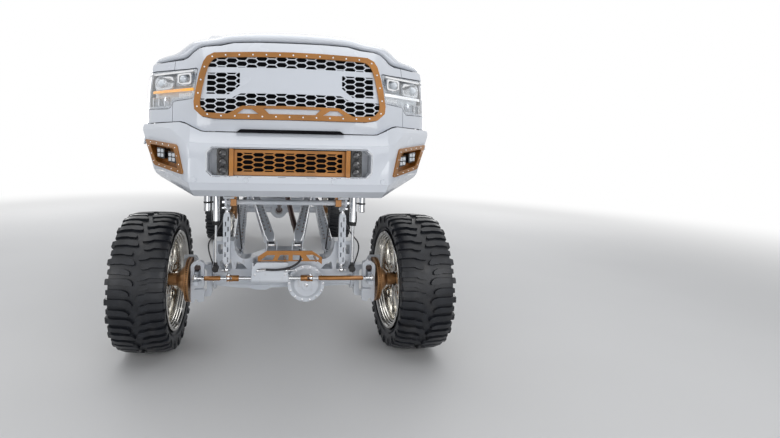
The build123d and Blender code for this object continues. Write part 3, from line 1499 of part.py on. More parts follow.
def link(start, end):
    """Slotted box-section arm, tapered to a round eye at each end."""
    start, end = Vector(*start), Vector(*end)
    run = end - start
    length = run.length
    upright = Plane(origin=start, x_dir=run, z_dir=run.cross(Vector(0, 0, 1)))
    flat = Plane(origin=start, x_dir=run, z_dir=upright.y_dir)
    body = extrude(upright * tapered(length, 26, LINK_DEPTH / 2, 40), amount=LINK_WIDTH, both=True)
    body = body & extrude(flat * tapered(length, 22, LINK_WIDTH / 2, 40), amount=LINK_DEPTH, both=True)
    count = int(length * 0.76 / LINK_PITCH)
    first = (length - (count - 1) * LINK_PITCH) / 2
    cuts = []
    for index in range(count):
        x = first + index * LINK_PITCH
        slot = Polygon((x - 48, 0), (x - 36, -13), (x + 36, -13), (x + 48, 0), (x + 36, 13), (x - 36, 13), align=None)
        cuts.append(extrude(flat * slot, amount=LINK_DEPTH, both=True))
        tip = 24 if index % 2 else -24
        corner = Polygon((x - 44, -tip), (x + 44, -tip), (x, tip), align=None)
        cuts.append(extrude(upright * corner, amount=LINK_WIDTH, both=True))
    body = body - cuts
    for s, neck in ((0, 45), (length, length - 45)):
        centre = upright.from_local_coords((s, 0, 0))
        ahead = centre - Vector(LINK_EYE_WIDTH / 2, 0, 0)
        behind = centre + Vector(LINK_EYE_WIDTH / 2, 0, 0)
        body = body + rod(tuple(ahead), tuple(behind), LINK_EYE_RADIUS)
        body = body + rod(tuple(centre), tuple(upright.from_local_coords((neck, 0, 0))), 16)
    return body


def links():
    """Two upper and two lower arms to each axle, from the middle pivots."""
    made = []
    upper_z = AXLE_Z + TRUSS_HALF[0][1] + LINK_EYE_RADIUS + SEAT
    lower_y = TRUSS_DEPTH + LINK_EYE_RADIUS + SEAT
    for side in (-1, 1):
        for axle_y, toward in ((0, 1), (WHEELBASE, -1)):
            hub_y = LINK_HUB_Y - LINK_SPREAD * toward
            made.append(link((110 * side, axle_y, upper_z), (UPPER_LINK_X * side, hub_y, UPPER_LINK_Z)))
            lower = (400 * side, axle_y + lower_y * toward, AXLE_Z + 200)
            made.append(link(lower, (LOWER_LINK_X * side, hub_y, LINK_HUB_Z)))
    return made


def sway_bar():
    """Bar across the frame ahead of the axle, with its hangers, levers and drop links."""
    made = Part() + rod((-455, SWAY_Y, SWAY_Z), (455, SWAY_Y, SWAY_Z), SWAY_RADIUS)
    rail_foot = FRAME_TOP_Z - FRAME_DEPTH
    y, z = SWAY_LINK_Y, AXLE_Z + 111
    lever_z = z + 510
    for side in (-1, 1):
        hanger = [(SWAY_Y - 50, SWAY_Z + 34), (SWAY_Y + 60, SWAY_Z + 34), (SWAY_Y + 110, rail_foot), (SWAY_Y - 70, rail_foot)]
        low, high = sorted((396 * side, 408 * side))
        made = made + prism_x(hanger, low, high)
        clamp = sorted((387 * side, 440 * side))
        made = made + block(clamp, (SWAY_Y - 40, SWAY_Y + 40), (SWAY_Z - 28, SWAY_Z + 36))
        lever = [
            (SWAY_Y - 34, SWAY_Z - 22),
            (SWAY_Y - 34, SWAY_Z + 28),
            (SWAY_Y + 20, SWAY_Z + 34),
            (y + 25, lever_z + 28),
            (y + 30, lever_z - 16),
            (y - 10, lever_z - 26),
        ]
        low, high = sorted((446 * side, 462 * side))
        made = made + prism_x(lever, low, high, 6)
        x = SWAY_LINK_X * side
        made = made + rod((456 * side, y, lever_z), (x, y, lever_z), 12)
        made = made + rod((x, y, lever_z), (x, y, lever_z - 60), 12)
        made = made + rod((x, y, z), (x, y, z + 60), 12)
        made = made + rod((x, y - 16, z), (x, -TRUSS_DEPTH - SEAT, z), 20)
        made = made + rod((x, y, lever_z - 22), (x, y, lever_z + 22), 20)
        foot, top = z + 52, lever_z - 40
        strap = [(x - 16, foot), (x - 28, foot + 30), (x - 28, top - 30), (x - 16, top), (x + 16, top), (x + 28, top - 30), (x + 28, foot + 30), (x + 16, foot)]
        strap = prism_y(strap, y - 18, y + 18)
        cuts = []
        for index in range(9):
            middle = x + (10.5 if index % 2 else -10.5)
            height = foot + 38 + index * 41.5
            cuts.append(block((middle - 5.5, middle + 5.5), (y - 30, y + 30), (height - 20, height + 20)))
        made = made + (strap - cuts)
    return made


def dampers():
    """Long-travel shocks: an eye on the axle, a thin rod and a wide body above it."""
    made = []
    for side in (-1, 1):
        for axle_y, toward in ((0, -1), (WHEELBASE, 1)):
            x, y = SHOCK_X * side, axle_y + SHOCK_Y * toward
            eye = rod((x, y - SHOCK_EYE_HALF, SHOCK_EYE_Z), (x, y + SHOCK_EYE_HALF, SHOCK_EYE_Z), 26)
            stem = rod((x, y, SHOCK_EYE_Z), (x, y, 1070), 12)
            body = rod((x, y, 1055), (x, y, SHOCK_TOP_Z), SHOCK_RADIUS)
            bottle_x, bottle_y = (SHOCK_X + 68) * side, y - 10
            bottle = rod((bottle_x, bottle_y, 1160), (bottle_x, bottle_y, 1486), RESERVOIR_RADIUS)
            for z in (1225, 1420):
                clamp = block(sorted((x, bottle_x)), (y - 14, y + 6), (z, z + 14))
                bottle = bottle + clamp
            made.append(eye + stem + body + bottle)
    return made


def engine():
    width = (-ENGINE_HALF_WIDTH, ENGINE_HALF_WIDTH)
    return block(width, (ENGINE_FRONT_Y, ENGINE_REAR_Y), (ENGINE_BASE_Z, ENGINE_TOP_Z))


def gearbox():
    """Gearbox behind the engine and the transfer case behind that."""
    width = (-GEARBOX_HALF_WIDTH, GEARBOX_HALF_WIDTH)
    box = block(width, (ENGINE_REAR_Y, GEARBOX_REAR_Y), (GEARBOX_BASE_Z, GEARBOX_TOP_Z))
    case = block((-130, 170), (GEARBOX_REAR_Y, TRANSFER_REAR_Y), (TRANSFER_BASE_Z, TRANSFER_TOP_Z))
    return box + case


def driveshafts():
    rear_pinion = (0, WHEELBASE - 330, AXLE_Z + 20)
    front = rod(PINION_END, (-40, GEARBOX_REAR_Y, TRANSFER_BASE_Z + 50), 28)
    rear = rod((0, TRANSFER_REAR_Y, TRANSFER_BASE_Z + 120), rear_pinion, 45)
    return [front - front_axle() - gearbox(), rear - rear_axle() - gearbox()]


def bed():
    """Load bed with double side walls, floor, headboard and wheelhouses."""
    section = side_section([])[:-1] + [(BODY_HALF_WIDTH - 40, BED_RAIL_Z)]
    solid = prism_y(full_width([(0, SILL_Z)] + section + [(0, BED_RAIL_Z)]), BED_FRONT_Y, BED_REAR_Y)
    gate_y = BED_REAR_Y - TAILGATE_THICKNESS - 5
    under = BODY_HALF_WIDTH - 140
    under = block((-under, under), (BED_FRONT_Y - 10, BED_REAR_Y + 10), (SILL_Z - 10, BED_FLOOR_Z - 50))
    load = block(
        (-BED_INNER_X, BED_INNER_X), (BED_FRONT_Y + 50, BED_REAR_Y + 10), (BED_FLOOR_Z, BED_RAIL_Z + 10)
    )
    sill = block((-BED_INNER_X, BED_INNER_X), (gate_y, BED_REAR_Y + 10), (BED_FLOOR_Z - 30, BED_RAIL_Z))
    solid = solid - under - load - sill
    house_x = (BODY_HALF_WIDTH - 360, BODY_HALF_WIDTH - 130)
    house = rod((house_x[0], WHEELBASE, ARCH_Z), (house_x[1], WHEELBASE, ARCH_Z), ARCH_RADIUS + 60)
    house = house & block(house_x, (BED_FRONT_Y, BED_REAR_Y), (BED_FLOOR_Z - 50, BED_RAIL_Z))
    arch = rod((house_x[0] + 40, WHEELBASE, ARCH_Z), (REACH, WHEELBASE, ARCH_Z), ARCH_RADIUS)
    lamp = prism_x(TAIL_LAMP_OUTLINE, TAIL_LAMP_INNER_X, REACH)
    for side in both_sides(house):
        solid = solid + side
    for side in both_sides(arch) + both_sides(lamp):
        solid = solid - side
    return solid


def tail_lamps():
    section = side_section([])[:-1] + [(BODY_HALF_WIDTH - 40, BED_RAIL_Z)]
    outside = prism_y(full_width([(0, SILL_Z)] + section + [(0, BED_RAIL_Z)]), BED_FRONT_Y, BED_REAR_Y + 20)
    return [outside & side for side in both_sides(prism_x(TAIL_LAMP_OUTLINE, TAIL_LAMP_INNER_X, REACH))]


def tailgate():
    inner = BED_INNER_X - MOVING_GAP
    bottom, middle = BED_FLOOR_Z + 12, BED_REAR_Y - TAILGATE_THICKNESS / 2
    gate = block(
        (-inner, inner), (BED_REAR_Y - TAILGATE_THICKNESS, BED_REAR_Y), (bottom, BED_RAIL_Z - 10)
    )
    end = BED_INNER_X - SEAT
    return gate + rod((-end, middle, bottom), (end, middle, bottom), TAILGATE_PIN_RADIUS)


def rear_bumper():
    y = WHEELBASE + REAR_OVERHANG
    front = BED_REAR_Y + 12
    wide, narrow = BODY_HALF_WIDTH - 20, BODY_HALF_WIDTH - 100
    plan = [(-wide, front), (wide, front), (wide, front + 80), (narrow, y), (-narrow, y), (-wide, front + 80)]
    bar = prism_z(plan, RECEIVER_Z + RECEIVER_SIZE / 2 + 8, BED_FLOOR_Z - 55)
    for x in (-RAIL_X, RAIL_X):
        bar = bar + block((x - 40, x + 40), (RAIL_REAR_Y, front + 10), (1690, 1780))
    return bar


def hitch_receiver():
    """Square tube behind the last cross member, with a cross hole for the hitch pin."""
    half = RECEIVER_SIZE / 2
    hollow = half - RECEIVER_WALL
    start, end = CROSS_MEMBERS_Y[-1] + CROSS_MEMBER_HALF, WHEELBASE + REAR_OVERHANG - 10
    z = RECEIVER_Z
    tube = block((-half, half), (start, end), (z - half, z + half))
    tube = tube - block((-hollow, hollow), (start + 20, end + 5), (z - hollow, z + hollow))
    return tube - rod((-50, end - 60, z), (50, end - 60, z), HITCH_PIN_RADIUS)


def seats():
    made = []
    for x in (-400, 400):
        cushion = block((x - 260, x + 260), (1320, 1800), (FLOOR_Z + 235, FLOOR_Z + 400))
        back = prism_x([(1740, FLOOR_Z + 400), (1870, FLOOR_Z + 400), (1990, FLOOR_Z + 980), (1900, FLOOR_Z + 980)], x - 250, x + 250)
        base = block((x - 200, x + 200), (1360, 1780), (FLOOR_Z + 35, FLOOR_Z + 235))
        made.append(cushion + back + base)
    half = BODY_HALF_WIDTH - 280
    start = CAB_REAR_Y - 730
    cushion = block((-half, half), (start, start + 450), (FLOOR_Z + 35, FLOOR_Z + 380))
    back = [
        (start + 410, FLOOR_Z + 380),
        (start + 540, FLOOR_Z + 380),
        (start + 570, FLOOR_Z + 900),
        (start + 480, FLOOR_Z + 900),
    ]
    back = prism_x(back, -half, half)
    made.append(cushion + back)
    return made


def dashboard():
    shape = [(COWL_Y + 70, BELT_Z - 420), (COWL_Y + 520, BELT_Z - 380), (COWL_Y + 560, BELT_Z - 120), (COWL_Y + 420, BELT_Z - 20), (COWL_Y + 190, BELT_Z - 50)]
    half = BODY_HALF_WIDTH - 100 - SEAT
    return prism_x(shape, -half, half, 20)


def steering_wheel():
    plane = Plane(origin=(380, 1180, BELT_Z - 90), x_dir=(1, 0, 0), z_dir=(0, 0.9, 0.42))
    ring = plane * Torus(185, 15)
    hub = plane * Cylinder(55, 40)
    spoke = plane * Box(370, 28, 16)
    column = rod((380, 1165, BELT_Z - 97), (380, 960, BELT_Z - 200), 30)
    return (ring + hub + spoke + column) - dashboard()


def grille_surround():
    """Bolted surround, as wide as a truss below, with the truss's windows."""
    outer = prism_y(grille_outline(-SEAT), -1050, -850)
    inner = prism_y(full_width(SURROUND_INNER), -1060, -840)
    ring = (outer - inner) & grille_layer(-16, 6)
    for window in SURROUND_WINDOWS:
        ring = ring - prism_y(window, -1050, -850)
    return ring


def grille_mesh():
    """Sheet of stretched hexagons in three bands, round a plain middle panel."""
    plane = Plane(origin=(0, -850, 0), x_dir=(1, 0, 0), z_dir=(0, -1, 0))
    edge = offset(Polygon(*full_width(SURROUND_INNER), align=None), amount=-SEAT, kind=Kind.INTERSECTION)
    sheet = perforated(edge, hexagons(2051.5, 1, GRILLE_BANDS), plane)
    return extrude(sheet, amount=200, dir=(0, -1, 0)) & grille_layer(-4, 4)


def head_lamps():
    nose = nose_solid()
    return [nose & pocket for pocket in lamp_pockets(-3)]


def radiator():
    return block((-460, 460), (-680, -610), (FRAME_TOP_Z, 2250))


def build():
    shell, fender_l, fender_r = front_clip()
    parts = {
        "frame": frame_rails(),
        "drop_brackets": drop_brackets(),
        "cab_shell": cab_shell(),
        "cab_glass": [pane for _, pane in screens()],
        "grille_shell": shell,
        "fenders": [fender_l, fender_r],
        "hood": hood() + hood_hinge_pins(),
        "front_bumper": bumper(),
        "corner_bezels": corner_bezels(),
        "bumper_mesh": bumper_mesh(),
        "bumper_lamps": bumper_lamps(),
        "grille_surround": grille_surround(),
        "grille_mesh": grille_mesh(),
        "head_lamps": head_lamps(),
        "tail_lamps": tail_lamps(),
        "front_axle": front_axle(),
        "axle_truss": axle_trusses(),
        "truss_brace": truss_brace(),
        "steering_cylinder": steering_cylinder(),
        "steering_rods": steering_rods(),
        "knuckle_l": knuckle(1),
        "knuckle_r": knuckle(-1),
        "rear_axle": rear_axle(),
        "link_arms": links(),
        "sway_bar": sway_bar(),
        "dampers": dampers(),
        "engine": engine(),
        "gearbox": gearbox(),
        "driveshafts": driveshafts(),
        "bed": bed(),
        "tailgate": tailgate(),
        "rear_bumper": rear_bumper(),
        "hitch_receiver": hitch_receiver(),
        "seats": seats(),
        "dashboard": dashboard(),
        "steering_wheel": steering_wheel(),
        "radiator": radiator(),
    }
    for name, points, window, hinge_y in (
        ("front", front_door_outline(), FRONT_WINDOW, FRONT_HINGE_Y),
        ("rear", rear_door_outline(), REAR_WINDOW, REAR_HINGE_Y),
    ):
        panel, glass = door_pair(points, window)
        panel = panel + door_hinge_pins(hinge_y)
        parts[f"door_{name}_l"] = panel
        parts[f"door_{name}_r"] = mirror(panel, about=Plane.YZ)
        parts[f"glass_{name}_l"] = glass
        parts[f"glass_{name}_r"] = mirror(glass, about=Plane.YZ)
    parts.update(wheel_set())
    return parts


def save(parts):
    os.makedirs("parts", exist_ok=True)
    middle_y = (WHEELBASE + REAR_OVERHANG - FRONT_OVERHANG) / 2
    for name, shape in parts.items():
        shapes = shape if isinstance(shape, list) else [shape]
        solids = [Pos(0, -middle_y, 0) * s for shape in shapes for s in shape.solids()]
        export_step(Compound(children=solids), f"parts/{name}.step")


save(build())
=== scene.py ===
"""A heavily lifted crew cab pickup truck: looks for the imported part.

Metres, +Z up, +Y to the rear and +X to the truck's left side. Pieces are
drawn from the front axle's centre line and moved to the row frame by spot().
"""

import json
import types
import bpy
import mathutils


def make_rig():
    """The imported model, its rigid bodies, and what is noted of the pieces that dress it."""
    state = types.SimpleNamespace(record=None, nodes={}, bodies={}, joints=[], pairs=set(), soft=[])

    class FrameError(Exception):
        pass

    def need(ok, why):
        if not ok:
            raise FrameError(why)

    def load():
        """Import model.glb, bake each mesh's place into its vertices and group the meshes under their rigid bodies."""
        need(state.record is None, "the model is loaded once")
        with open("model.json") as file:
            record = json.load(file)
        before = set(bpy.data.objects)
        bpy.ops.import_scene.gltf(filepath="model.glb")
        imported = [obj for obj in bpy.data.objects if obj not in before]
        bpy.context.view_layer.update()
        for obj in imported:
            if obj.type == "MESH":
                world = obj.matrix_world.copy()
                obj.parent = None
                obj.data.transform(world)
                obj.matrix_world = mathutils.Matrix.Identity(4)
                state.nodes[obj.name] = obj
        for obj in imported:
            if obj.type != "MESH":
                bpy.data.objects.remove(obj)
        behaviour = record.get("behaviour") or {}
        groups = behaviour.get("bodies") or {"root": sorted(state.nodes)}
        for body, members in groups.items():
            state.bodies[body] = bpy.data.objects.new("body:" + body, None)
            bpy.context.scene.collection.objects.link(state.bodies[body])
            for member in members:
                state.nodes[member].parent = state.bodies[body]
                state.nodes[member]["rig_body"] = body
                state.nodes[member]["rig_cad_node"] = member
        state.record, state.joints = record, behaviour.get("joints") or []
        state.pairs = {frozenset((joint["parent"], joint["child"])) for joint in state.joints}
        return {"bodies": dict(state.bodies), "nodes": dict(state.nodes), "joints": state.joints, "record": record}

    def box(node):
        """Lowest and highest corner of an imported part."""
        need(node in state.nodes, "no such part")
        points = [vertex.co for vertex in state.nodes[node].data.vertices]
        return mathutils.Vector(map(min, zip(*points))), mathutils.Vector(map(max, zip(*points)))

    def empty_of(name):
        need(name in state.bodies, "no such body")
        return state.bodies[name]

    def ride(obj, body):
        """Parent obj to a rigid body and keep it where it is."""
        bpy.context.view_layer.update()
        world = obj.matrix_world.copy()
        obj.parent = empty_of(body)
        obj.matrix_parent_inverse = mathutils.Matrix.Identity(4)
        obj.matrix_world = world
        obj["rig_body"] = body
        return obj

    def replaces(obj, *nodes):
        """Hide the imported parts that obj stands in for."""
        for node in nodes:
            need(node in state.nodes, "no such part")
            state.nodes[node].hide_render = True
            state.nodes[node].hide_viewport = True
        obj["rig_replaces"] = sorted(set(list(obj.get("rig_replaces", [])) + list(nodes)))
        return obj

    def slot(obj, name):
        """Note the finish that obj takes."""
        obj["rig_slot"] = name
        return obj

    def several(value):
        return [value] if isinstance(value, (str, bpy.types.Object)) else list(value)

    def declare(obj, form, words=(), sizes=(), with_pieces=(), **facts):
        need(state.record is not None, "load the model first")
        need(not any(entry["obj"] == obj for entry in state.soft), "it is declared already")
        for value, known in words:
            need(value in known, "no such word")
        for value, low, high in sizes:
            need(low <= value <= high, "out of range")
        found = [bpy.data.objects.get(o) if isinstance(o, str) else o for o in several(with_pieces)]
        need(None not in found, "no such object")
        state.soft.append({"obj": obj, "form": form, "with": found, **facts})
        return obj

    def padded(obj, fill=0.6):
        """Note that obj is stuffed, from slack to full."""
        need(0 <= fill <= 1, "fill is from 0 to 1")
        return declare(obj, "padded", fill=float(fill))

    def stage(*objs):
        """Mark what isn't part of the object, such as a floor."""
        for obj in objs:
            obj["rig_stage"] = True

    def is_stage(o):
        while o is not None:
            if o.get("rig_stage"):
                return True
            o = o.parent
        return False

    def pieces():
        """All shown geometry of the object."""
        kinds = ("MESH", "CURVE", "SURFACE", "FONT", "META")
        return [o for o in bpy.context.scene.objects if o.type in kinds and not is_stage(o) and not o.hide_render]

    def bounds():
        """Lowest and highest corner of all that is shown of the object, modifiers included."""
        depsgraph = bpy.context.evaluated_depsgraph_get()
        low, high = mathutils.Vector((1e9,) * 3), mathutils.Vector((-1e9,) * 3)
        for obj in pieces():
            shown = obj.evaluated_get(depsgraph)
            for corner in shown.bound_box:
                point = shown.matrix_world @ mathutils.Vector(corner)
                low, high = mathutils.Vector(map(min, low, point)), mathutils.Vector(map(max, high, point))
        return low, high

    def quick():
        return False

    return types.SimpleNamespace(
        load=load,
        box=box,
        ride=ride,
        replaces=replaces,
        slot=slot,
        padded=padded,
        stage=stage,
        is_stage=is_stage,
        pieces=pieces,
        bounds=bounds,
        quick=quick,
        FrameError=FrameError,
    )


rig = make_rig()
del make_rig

bl_info = {
    "name": "Lifted pickup truck",
    "version": (1, 0, 0),
    "blender": (4, 5, 0),
    "location": "View3D > Sidebar > Truck",
    "description": "Builds the body, lamps, tyres and long travel suspension of a show truck",
    "category": "Add Mesh",
}

import bpy
import bmesh
import json
import sys
from math import atan2, cos, pi, radians, sin, sqrt
from mathutils import Matrix, Vector

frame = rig.load()
CAD_BOX = [list(corner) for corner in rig.bounds()]

# Places read from the frame
WHEEL_LOW, WHEEL_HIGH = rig.box("tyre_fl")
REAR_LOW, REAR_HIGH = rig.box("tyre_rl")
AXLE_Y = (WHEEL_LOW.y + WHEEL_HIGH.y) / 2
WHEELBASE = (REAR_LOW.y + REAR_HIGH.y) / 2 - AXLE_Y
TYRE_RADIUS = (WHEEL_HIGH.z - WHEEL_LOW.z) / 2
TRACK_X = (WHEEL_LOW.x + WHEEL_HIGH.x) / 2
TYRE_HALF = (WHEEL_HIGH.x - WHEEL_LOW.x) / 2
CORNERS = (("fl", 1, 0.0), ("fr", -1, 0.0), ("rl", 1, WHEELBASE), ("rr", -1, WHEELBASE))
FINISHES = {}


def spot(x, y, z):
    """A place given from the front axle, in the row frame."""
    return Vector((x, y + AXLE_Y, z))


def on_side(place, side):
    return Vector((place[0] * side, place[1], place[2]))


# Materials


def finish(name, colour, dark=None, scale=6.0, rough=(0.35, 0.5), metallic=0.0, coat=0.0,
           bump=0.0, bump_scale=60.0, coat_rough=0.05, sheen=0.0, glow=None, clear=0.0, detail=3.0,
           spread=(0.35, 0.7), wear=None, stretch=(1, 1, 1), shine=0.5):
    """A material whose colour, roughness and surface vary by noise on Object coordinates."""
    material = bpy.data.materials.new(name)
    material.use_nodes = True
    tree = material.node_tree
    shader = tree.nodes["Principled BSDF"]
    where = tree.nodes.new("ShaderNodeTexCoord")
    mapping = tree.nodes.new("ShaderNodeMapping")
    mapping.inputs["Scale"].default_value = stretch
    tree.links.new(where.outputs["Object"], mapping.inputs["Vector"])
    cloud = tree.nodes.new("ShaderNodeTexNoise")
    cloud.inputs["Scale"].default_value = scale
    cloud.inputs["Detail"].default_value = detail
    tree.links.new(mapping.outputs["Vector"], cloud.inputs["Vector"])
    ramp = tree.nodes.new("ShaderNodeValToRGB")
    second = dark or [c * 0.86 for c in colour]
    ramp.color_ramp.elements[0].position = spread[0]
    ramp.color_ramp.elements[0].color = (*second, 1)
    ramp.color_ramp.elements[1].position = spread[1]
    ramp.color_ramp.elements[1].color = (*colour, 1)
    tree.links.new(cloud.outputs["Fac"], ramp.inputs["Fac"])
    source = ramp.outputs["Color"]
    if wear:
        grit = tree.nodes.new("ShaderNodeTexNoise")
        grit.inputs["Scale"].default_value = wear[1]
        grit.inputs["Detail"].default_value = 6
        tree.links.new(mapping.outputs["Vector"], grit.inputs["Vector"])
        mask = tree.nodes.new("ShaderNodeMapRange")
        mask.inputs["From Min"].default_value = wear[2]
        mask.inputs["From Max"].default_value = wear[3]
        mask.inputs["To Max"].default_value = wear[4]
        tree.links.new(grit.outputs["Fac"], mask.inputs["Value"])
        mix = tree.nodes.new("ShaderNodeMix")
        mix.data_type = "RGBA"
        mix.inputs["B"].default_value = (*wear[0], 1)
        tree.links.new(mask.outputs["Result"], mix.inputs["Factor"])
        tree.links.new(source, mix.inputs["A"])
        source = mix.outputs["Result"]
    tree.links.new(source, shader.inputs["Base Color"])
    spots = tree.nodes.new("ShaderNodeTexNoise")
    spots.inputs["Scale"].default_value = scale * 3
    tree.links.new(mapping.outputs["Vector"], spots.inputs["Vector"])
    level = tree.nodes.new("ShaderNodeMapRange")
    level.inputs["To Min"].default_value = rough[0]
    level.inputs["To Max"].default_value = rough[1]
    tree.links.new(spots.outputs["Fac"], level.inputs["Value"])
    tree.links.new(level.outputs["Result"], shader.inputs["Roughness"])
    shader.inputs["Metallic"].default_value = metallic
    shader.inputs["Specular IOR Level"].default_value = shine
    shader.inputs["Coat Weight"].default_value = coat
    shader.inputs["Coat Roughness"].default_value = coat_rough
    shader.inputs["Sheen Weight"].default_value = sheen
    if clear:
        shader.inputs["Transmission Weight"].default_value = clear
        shader.inputs["IOR"].default_value = 1.45
    if glow:
        shader.inputs["Emission Color"].default_value = (*glow[0], 1)
        shader.inputs["Emission Strength"].default_value = glow[1]
    if bump:
        grain = tree.nodes.new("ShaderNodeTexNoise")
        grain.inputs["Scale"].default_value = bump_scale
        grain.inputs["Detail"].default_value = 4
        tree.links.new(mapping.outputs["Vector"], grain.inputs["Vector"])
        relief = tree.nodes.new("ShaderNodeBump")
        relief.inputs["Strength"].default_value = bump
        relief.inputs["Distance"].default_value = 0.002
        tree.links.new(grain.outputs["Fac"], relief.inputs["Height"])
        tree.links.new(relief.outputs["Normal"], shader.inputs["Normal"])
    FINISHES[name] = material
    return material


def make_finishes():
    paint = bpy.context.scene.truck_paint
    white = tuple(paint.body_white)
    copper = tuple(paint.copper)
    finish("pearl_white", white, [c * 0.95 for c in white], 1.5, (0.22, 0.30), 0.0, 1.0, 0.03, 300, 0.03)
    finish("suspension_white", tuple(paint.suspension_white), [0.60, 0.64, 0.70], 2.5, (0.30, 0.42), 0.0, 0.6,
           0.06, 120, wear=((0.36, 0.33, 0.29), 22, 0.60, 0.85, 0.5))
    finish("copper_paint", copper, [c * 0.72 for c in copper], 5, (0.28, 0.42), 0.55, 0.6, 0.05, 220)
    finish("chrome", (0.86, 0.87, 0.88), (0.74, 0.75, 0.77), 8, (0.05, 0.12), 1.0, bump=0.02, bump_scale=40)
    finish("polished_rim", (0.84, 0.83, 0.80), (0.62, 0.60, 0.56), 9, (0.08, 0.2), 1.0, bump=0.03, bump_scale=60)
    finish("brushed_steel", (0.58, 0.58, 0.58), (0.42, 0.42, 0.43), 30, (0.25, 0.4), 1.0, bump=0.08, bump_scale=200)
    finish("dark_iron", (0.085, 0.08, 0.078), (0.05, 0.048, 0.045), 12, (0.45, 0.65), 0.5, bump=0.2, bump_scale=90)
    finish("frame_black", (0.03, 0.03, 0.032), (0.018, 0.018, 0.02), 9, (0.35, 0.5), 0.0, 0.3, 0.08, 150,
           wear=((0.13, 0.115, 0.10), 14, 0.58, 0.85, 0.5))
    finish("cast_grey", (0.36, 0.36, 0.37), (0.24, 0.24, 0.25), 14, (0.45, 0.6), 0.8, bump=0.35, bump_scale=120)
    finish("tyre_rubber", (0.014, 0.016, 0.021), (0.007, 0.008, 0.011), 14, (0.30, 0.48), bump=0.25, bump_scale=160,
           wear=((0.10, 0.095, 0.09), 9, 0.55, 0.85, 0.35), shine=0.4)
    finish("black_plastic", (0.022, 0.022, 0.024), (0.012, 0.012, 0.013), 20, (0.45, 0.6), bump=0.15, bump_scale=500)
    finish("gloss_black", (0.012, 0.012, 0.014), (0.006, 0.006, 0.007), 5, (0.08, 0.15), 0.0, 0.8)
    # Near-black matte finish for painted shade: holes, openings, recesses and the dark space behind meshes
    finish("painted_shade_black", (0.006, 0.006, 0.008), (0.003, 0.003, 0.004), 5, (0.6, 0.8), shine=0.08)
    finish("rubber_hose", (0.03, 0.028, 0.035), (0.018, 0.017, 0.02), 30, (0.35, 0.5), bump=0.2, bump_scale=300)
    finish("window_glass", (0.05, 0.065, 0.07), (0.03, 0.04, 0.045), 2, (0.02, 0.05), 0.0, 0.5, clear=0.55)
    finish("lamp_glass", (0.96, 0.97, 0.98), (0.92, 0.94, 0.96), 3, (0.02, 0.05), 0.0, 0.6, clear=0.97)
    finish("lens_frost", (0.80, 0.84, 0.88), (0.62, 0.67, 0.72), 18, (0.15, 0.3), 0.1, 0.8, bump=0.15, bump_scale=80)
    finish("lamp_silver", (0.62, 0.65, 0.69), (0.46, 0.49, 0.54), 20, (0.18, 0.32), 0.5, 0.6, 0.08, 120)
    finish("smoked_lens", (0.03, 0.03, 0.034), (0.015, 0.015, 0.018), 18, (0.06, 0.12), 0.0, 0.9)
    finish("amber_lens", (0.92, 0.42, 0.04), (0.78, 0.30, 0.02), 20, (0.2, 0.3), 0.0, 0.6, glow=((1.0, 0.45, 0.05), 0.6))
    finish("white_light", (0.95, 0.96, 0.98), (0.85, 0.88, 0.92), 20, (0.2, 0.3), 0.0, 0.4, glow=((1.0, 0.98, 0.95), 0.5))
    finish("red_lens", (0.42, 0.012, 0.012), (0.28, 0.006, 0.006), 16, (0.12, 0.2), 0.0, 0.9, bump=0.1, bump_scale=70)
    finish("seat_leather", (0.085, 0.07, 0.062), (0.05, 0.042, 0.038), 7, (0.42, 0.6), bump=0.35, bump_scale=260,
           sheen=0.1)
    finish("seat_stitch", (0.55, 0.34, 0.18), (0.4, 0.24, 0.12), 40, (0.6, 0.75), bump=0.4, bump_scale=400)
    finish("carpet", (0.05, 0.05, 0.052), (0.02, 0.02, 0.022), 90, (0.85, 0.95), bump=0.6, bump_scale=380, sheen=0.4)
    finish("shaft_brown", (0.075, 0.04, 0.035), (0.045, 0.025, 0.022), 12, (0.3, 0.45), 0.3, 0.4, 0.05, 120)
    finish("engine_grey", (0.16, 0.16, 0.165), (0.09, 0.09, 0.092), 11, (0.4, 0.6), 0.6, bump=0.3, bump_scale=70)
    finish("rotor_steel", (0.46, 0.25, 0.11), (0.34, 0.17, 0.07), 16, (0.3, 0.42), 0.7, 0.2, 0.05, 200)
    finish("bed_liner", (0.035, 0.035, 0.037), (0.02, 0.02, 0.021), 60, (0.7, 0.85), bump=0.7, bump_scale=260)


# Mesh helpers


def box(bm, low, high, turn=None):
    """Box between two corners, optionally turned about its centre."""
    low, high = Vector(low), Vector(high)
    size = high - low
    fit = Matrix.Translation((low + high) / 2)
    if turn:
        fit = fit @ turn
    fit = fit @ Matrix.Diagonal((abs(size.x), abs(size.y), abs(size.z), 1))
    return bmesh.ops.create_cube(bm, size=1, matrix=fit)["verts"]


def rod(bm, start, end, radius, far=None, sides=20):
    """Round bar, or a cone where far is the other end's radius."""
    start, end = Vector(start), Vector(end)
    run = end - start
    turn = run.to_track_quat("Z", "Y").to_matrix().to_4x4()
    fit = Matrix.Translation((start + end) / 2) @ turn
    made = bmesh.ops.create_cone(
        bm, cap_ends=True, segments=sides, radius1=radius, radius2=radius if far is None else far,
        depth=run.length, matrix=fit)
    return made["verts"]


def ball(bm, centre, radius, squash=(1, 1, 1), sides=16):
    fit = Matrix.Translation(Vector(centre)) @ Matrix.Diagonal((*squash, 1))
    return bmesh.ops.create_uvsphere(bm, u_segments=sides, v_segments=sides // 2, radius=radius, matrix=fit)["verts"]


def plate(bm, points, depth):
    """Flat face through the points, extruded by the vector depth."""
    face = bm.faces.new([bm.verts.new(Vector(p)) for p in points])
    made = bmesh.ops.extrude_face_region(bm, geom=[face])
    moved = [g for g in made["geom"] if isinstance(g, bmesh.types.BMVert)]
    bmesh.ops.translate(bm, verts=moved, vec=Vector(depth))
    return list(face.verts) + moved


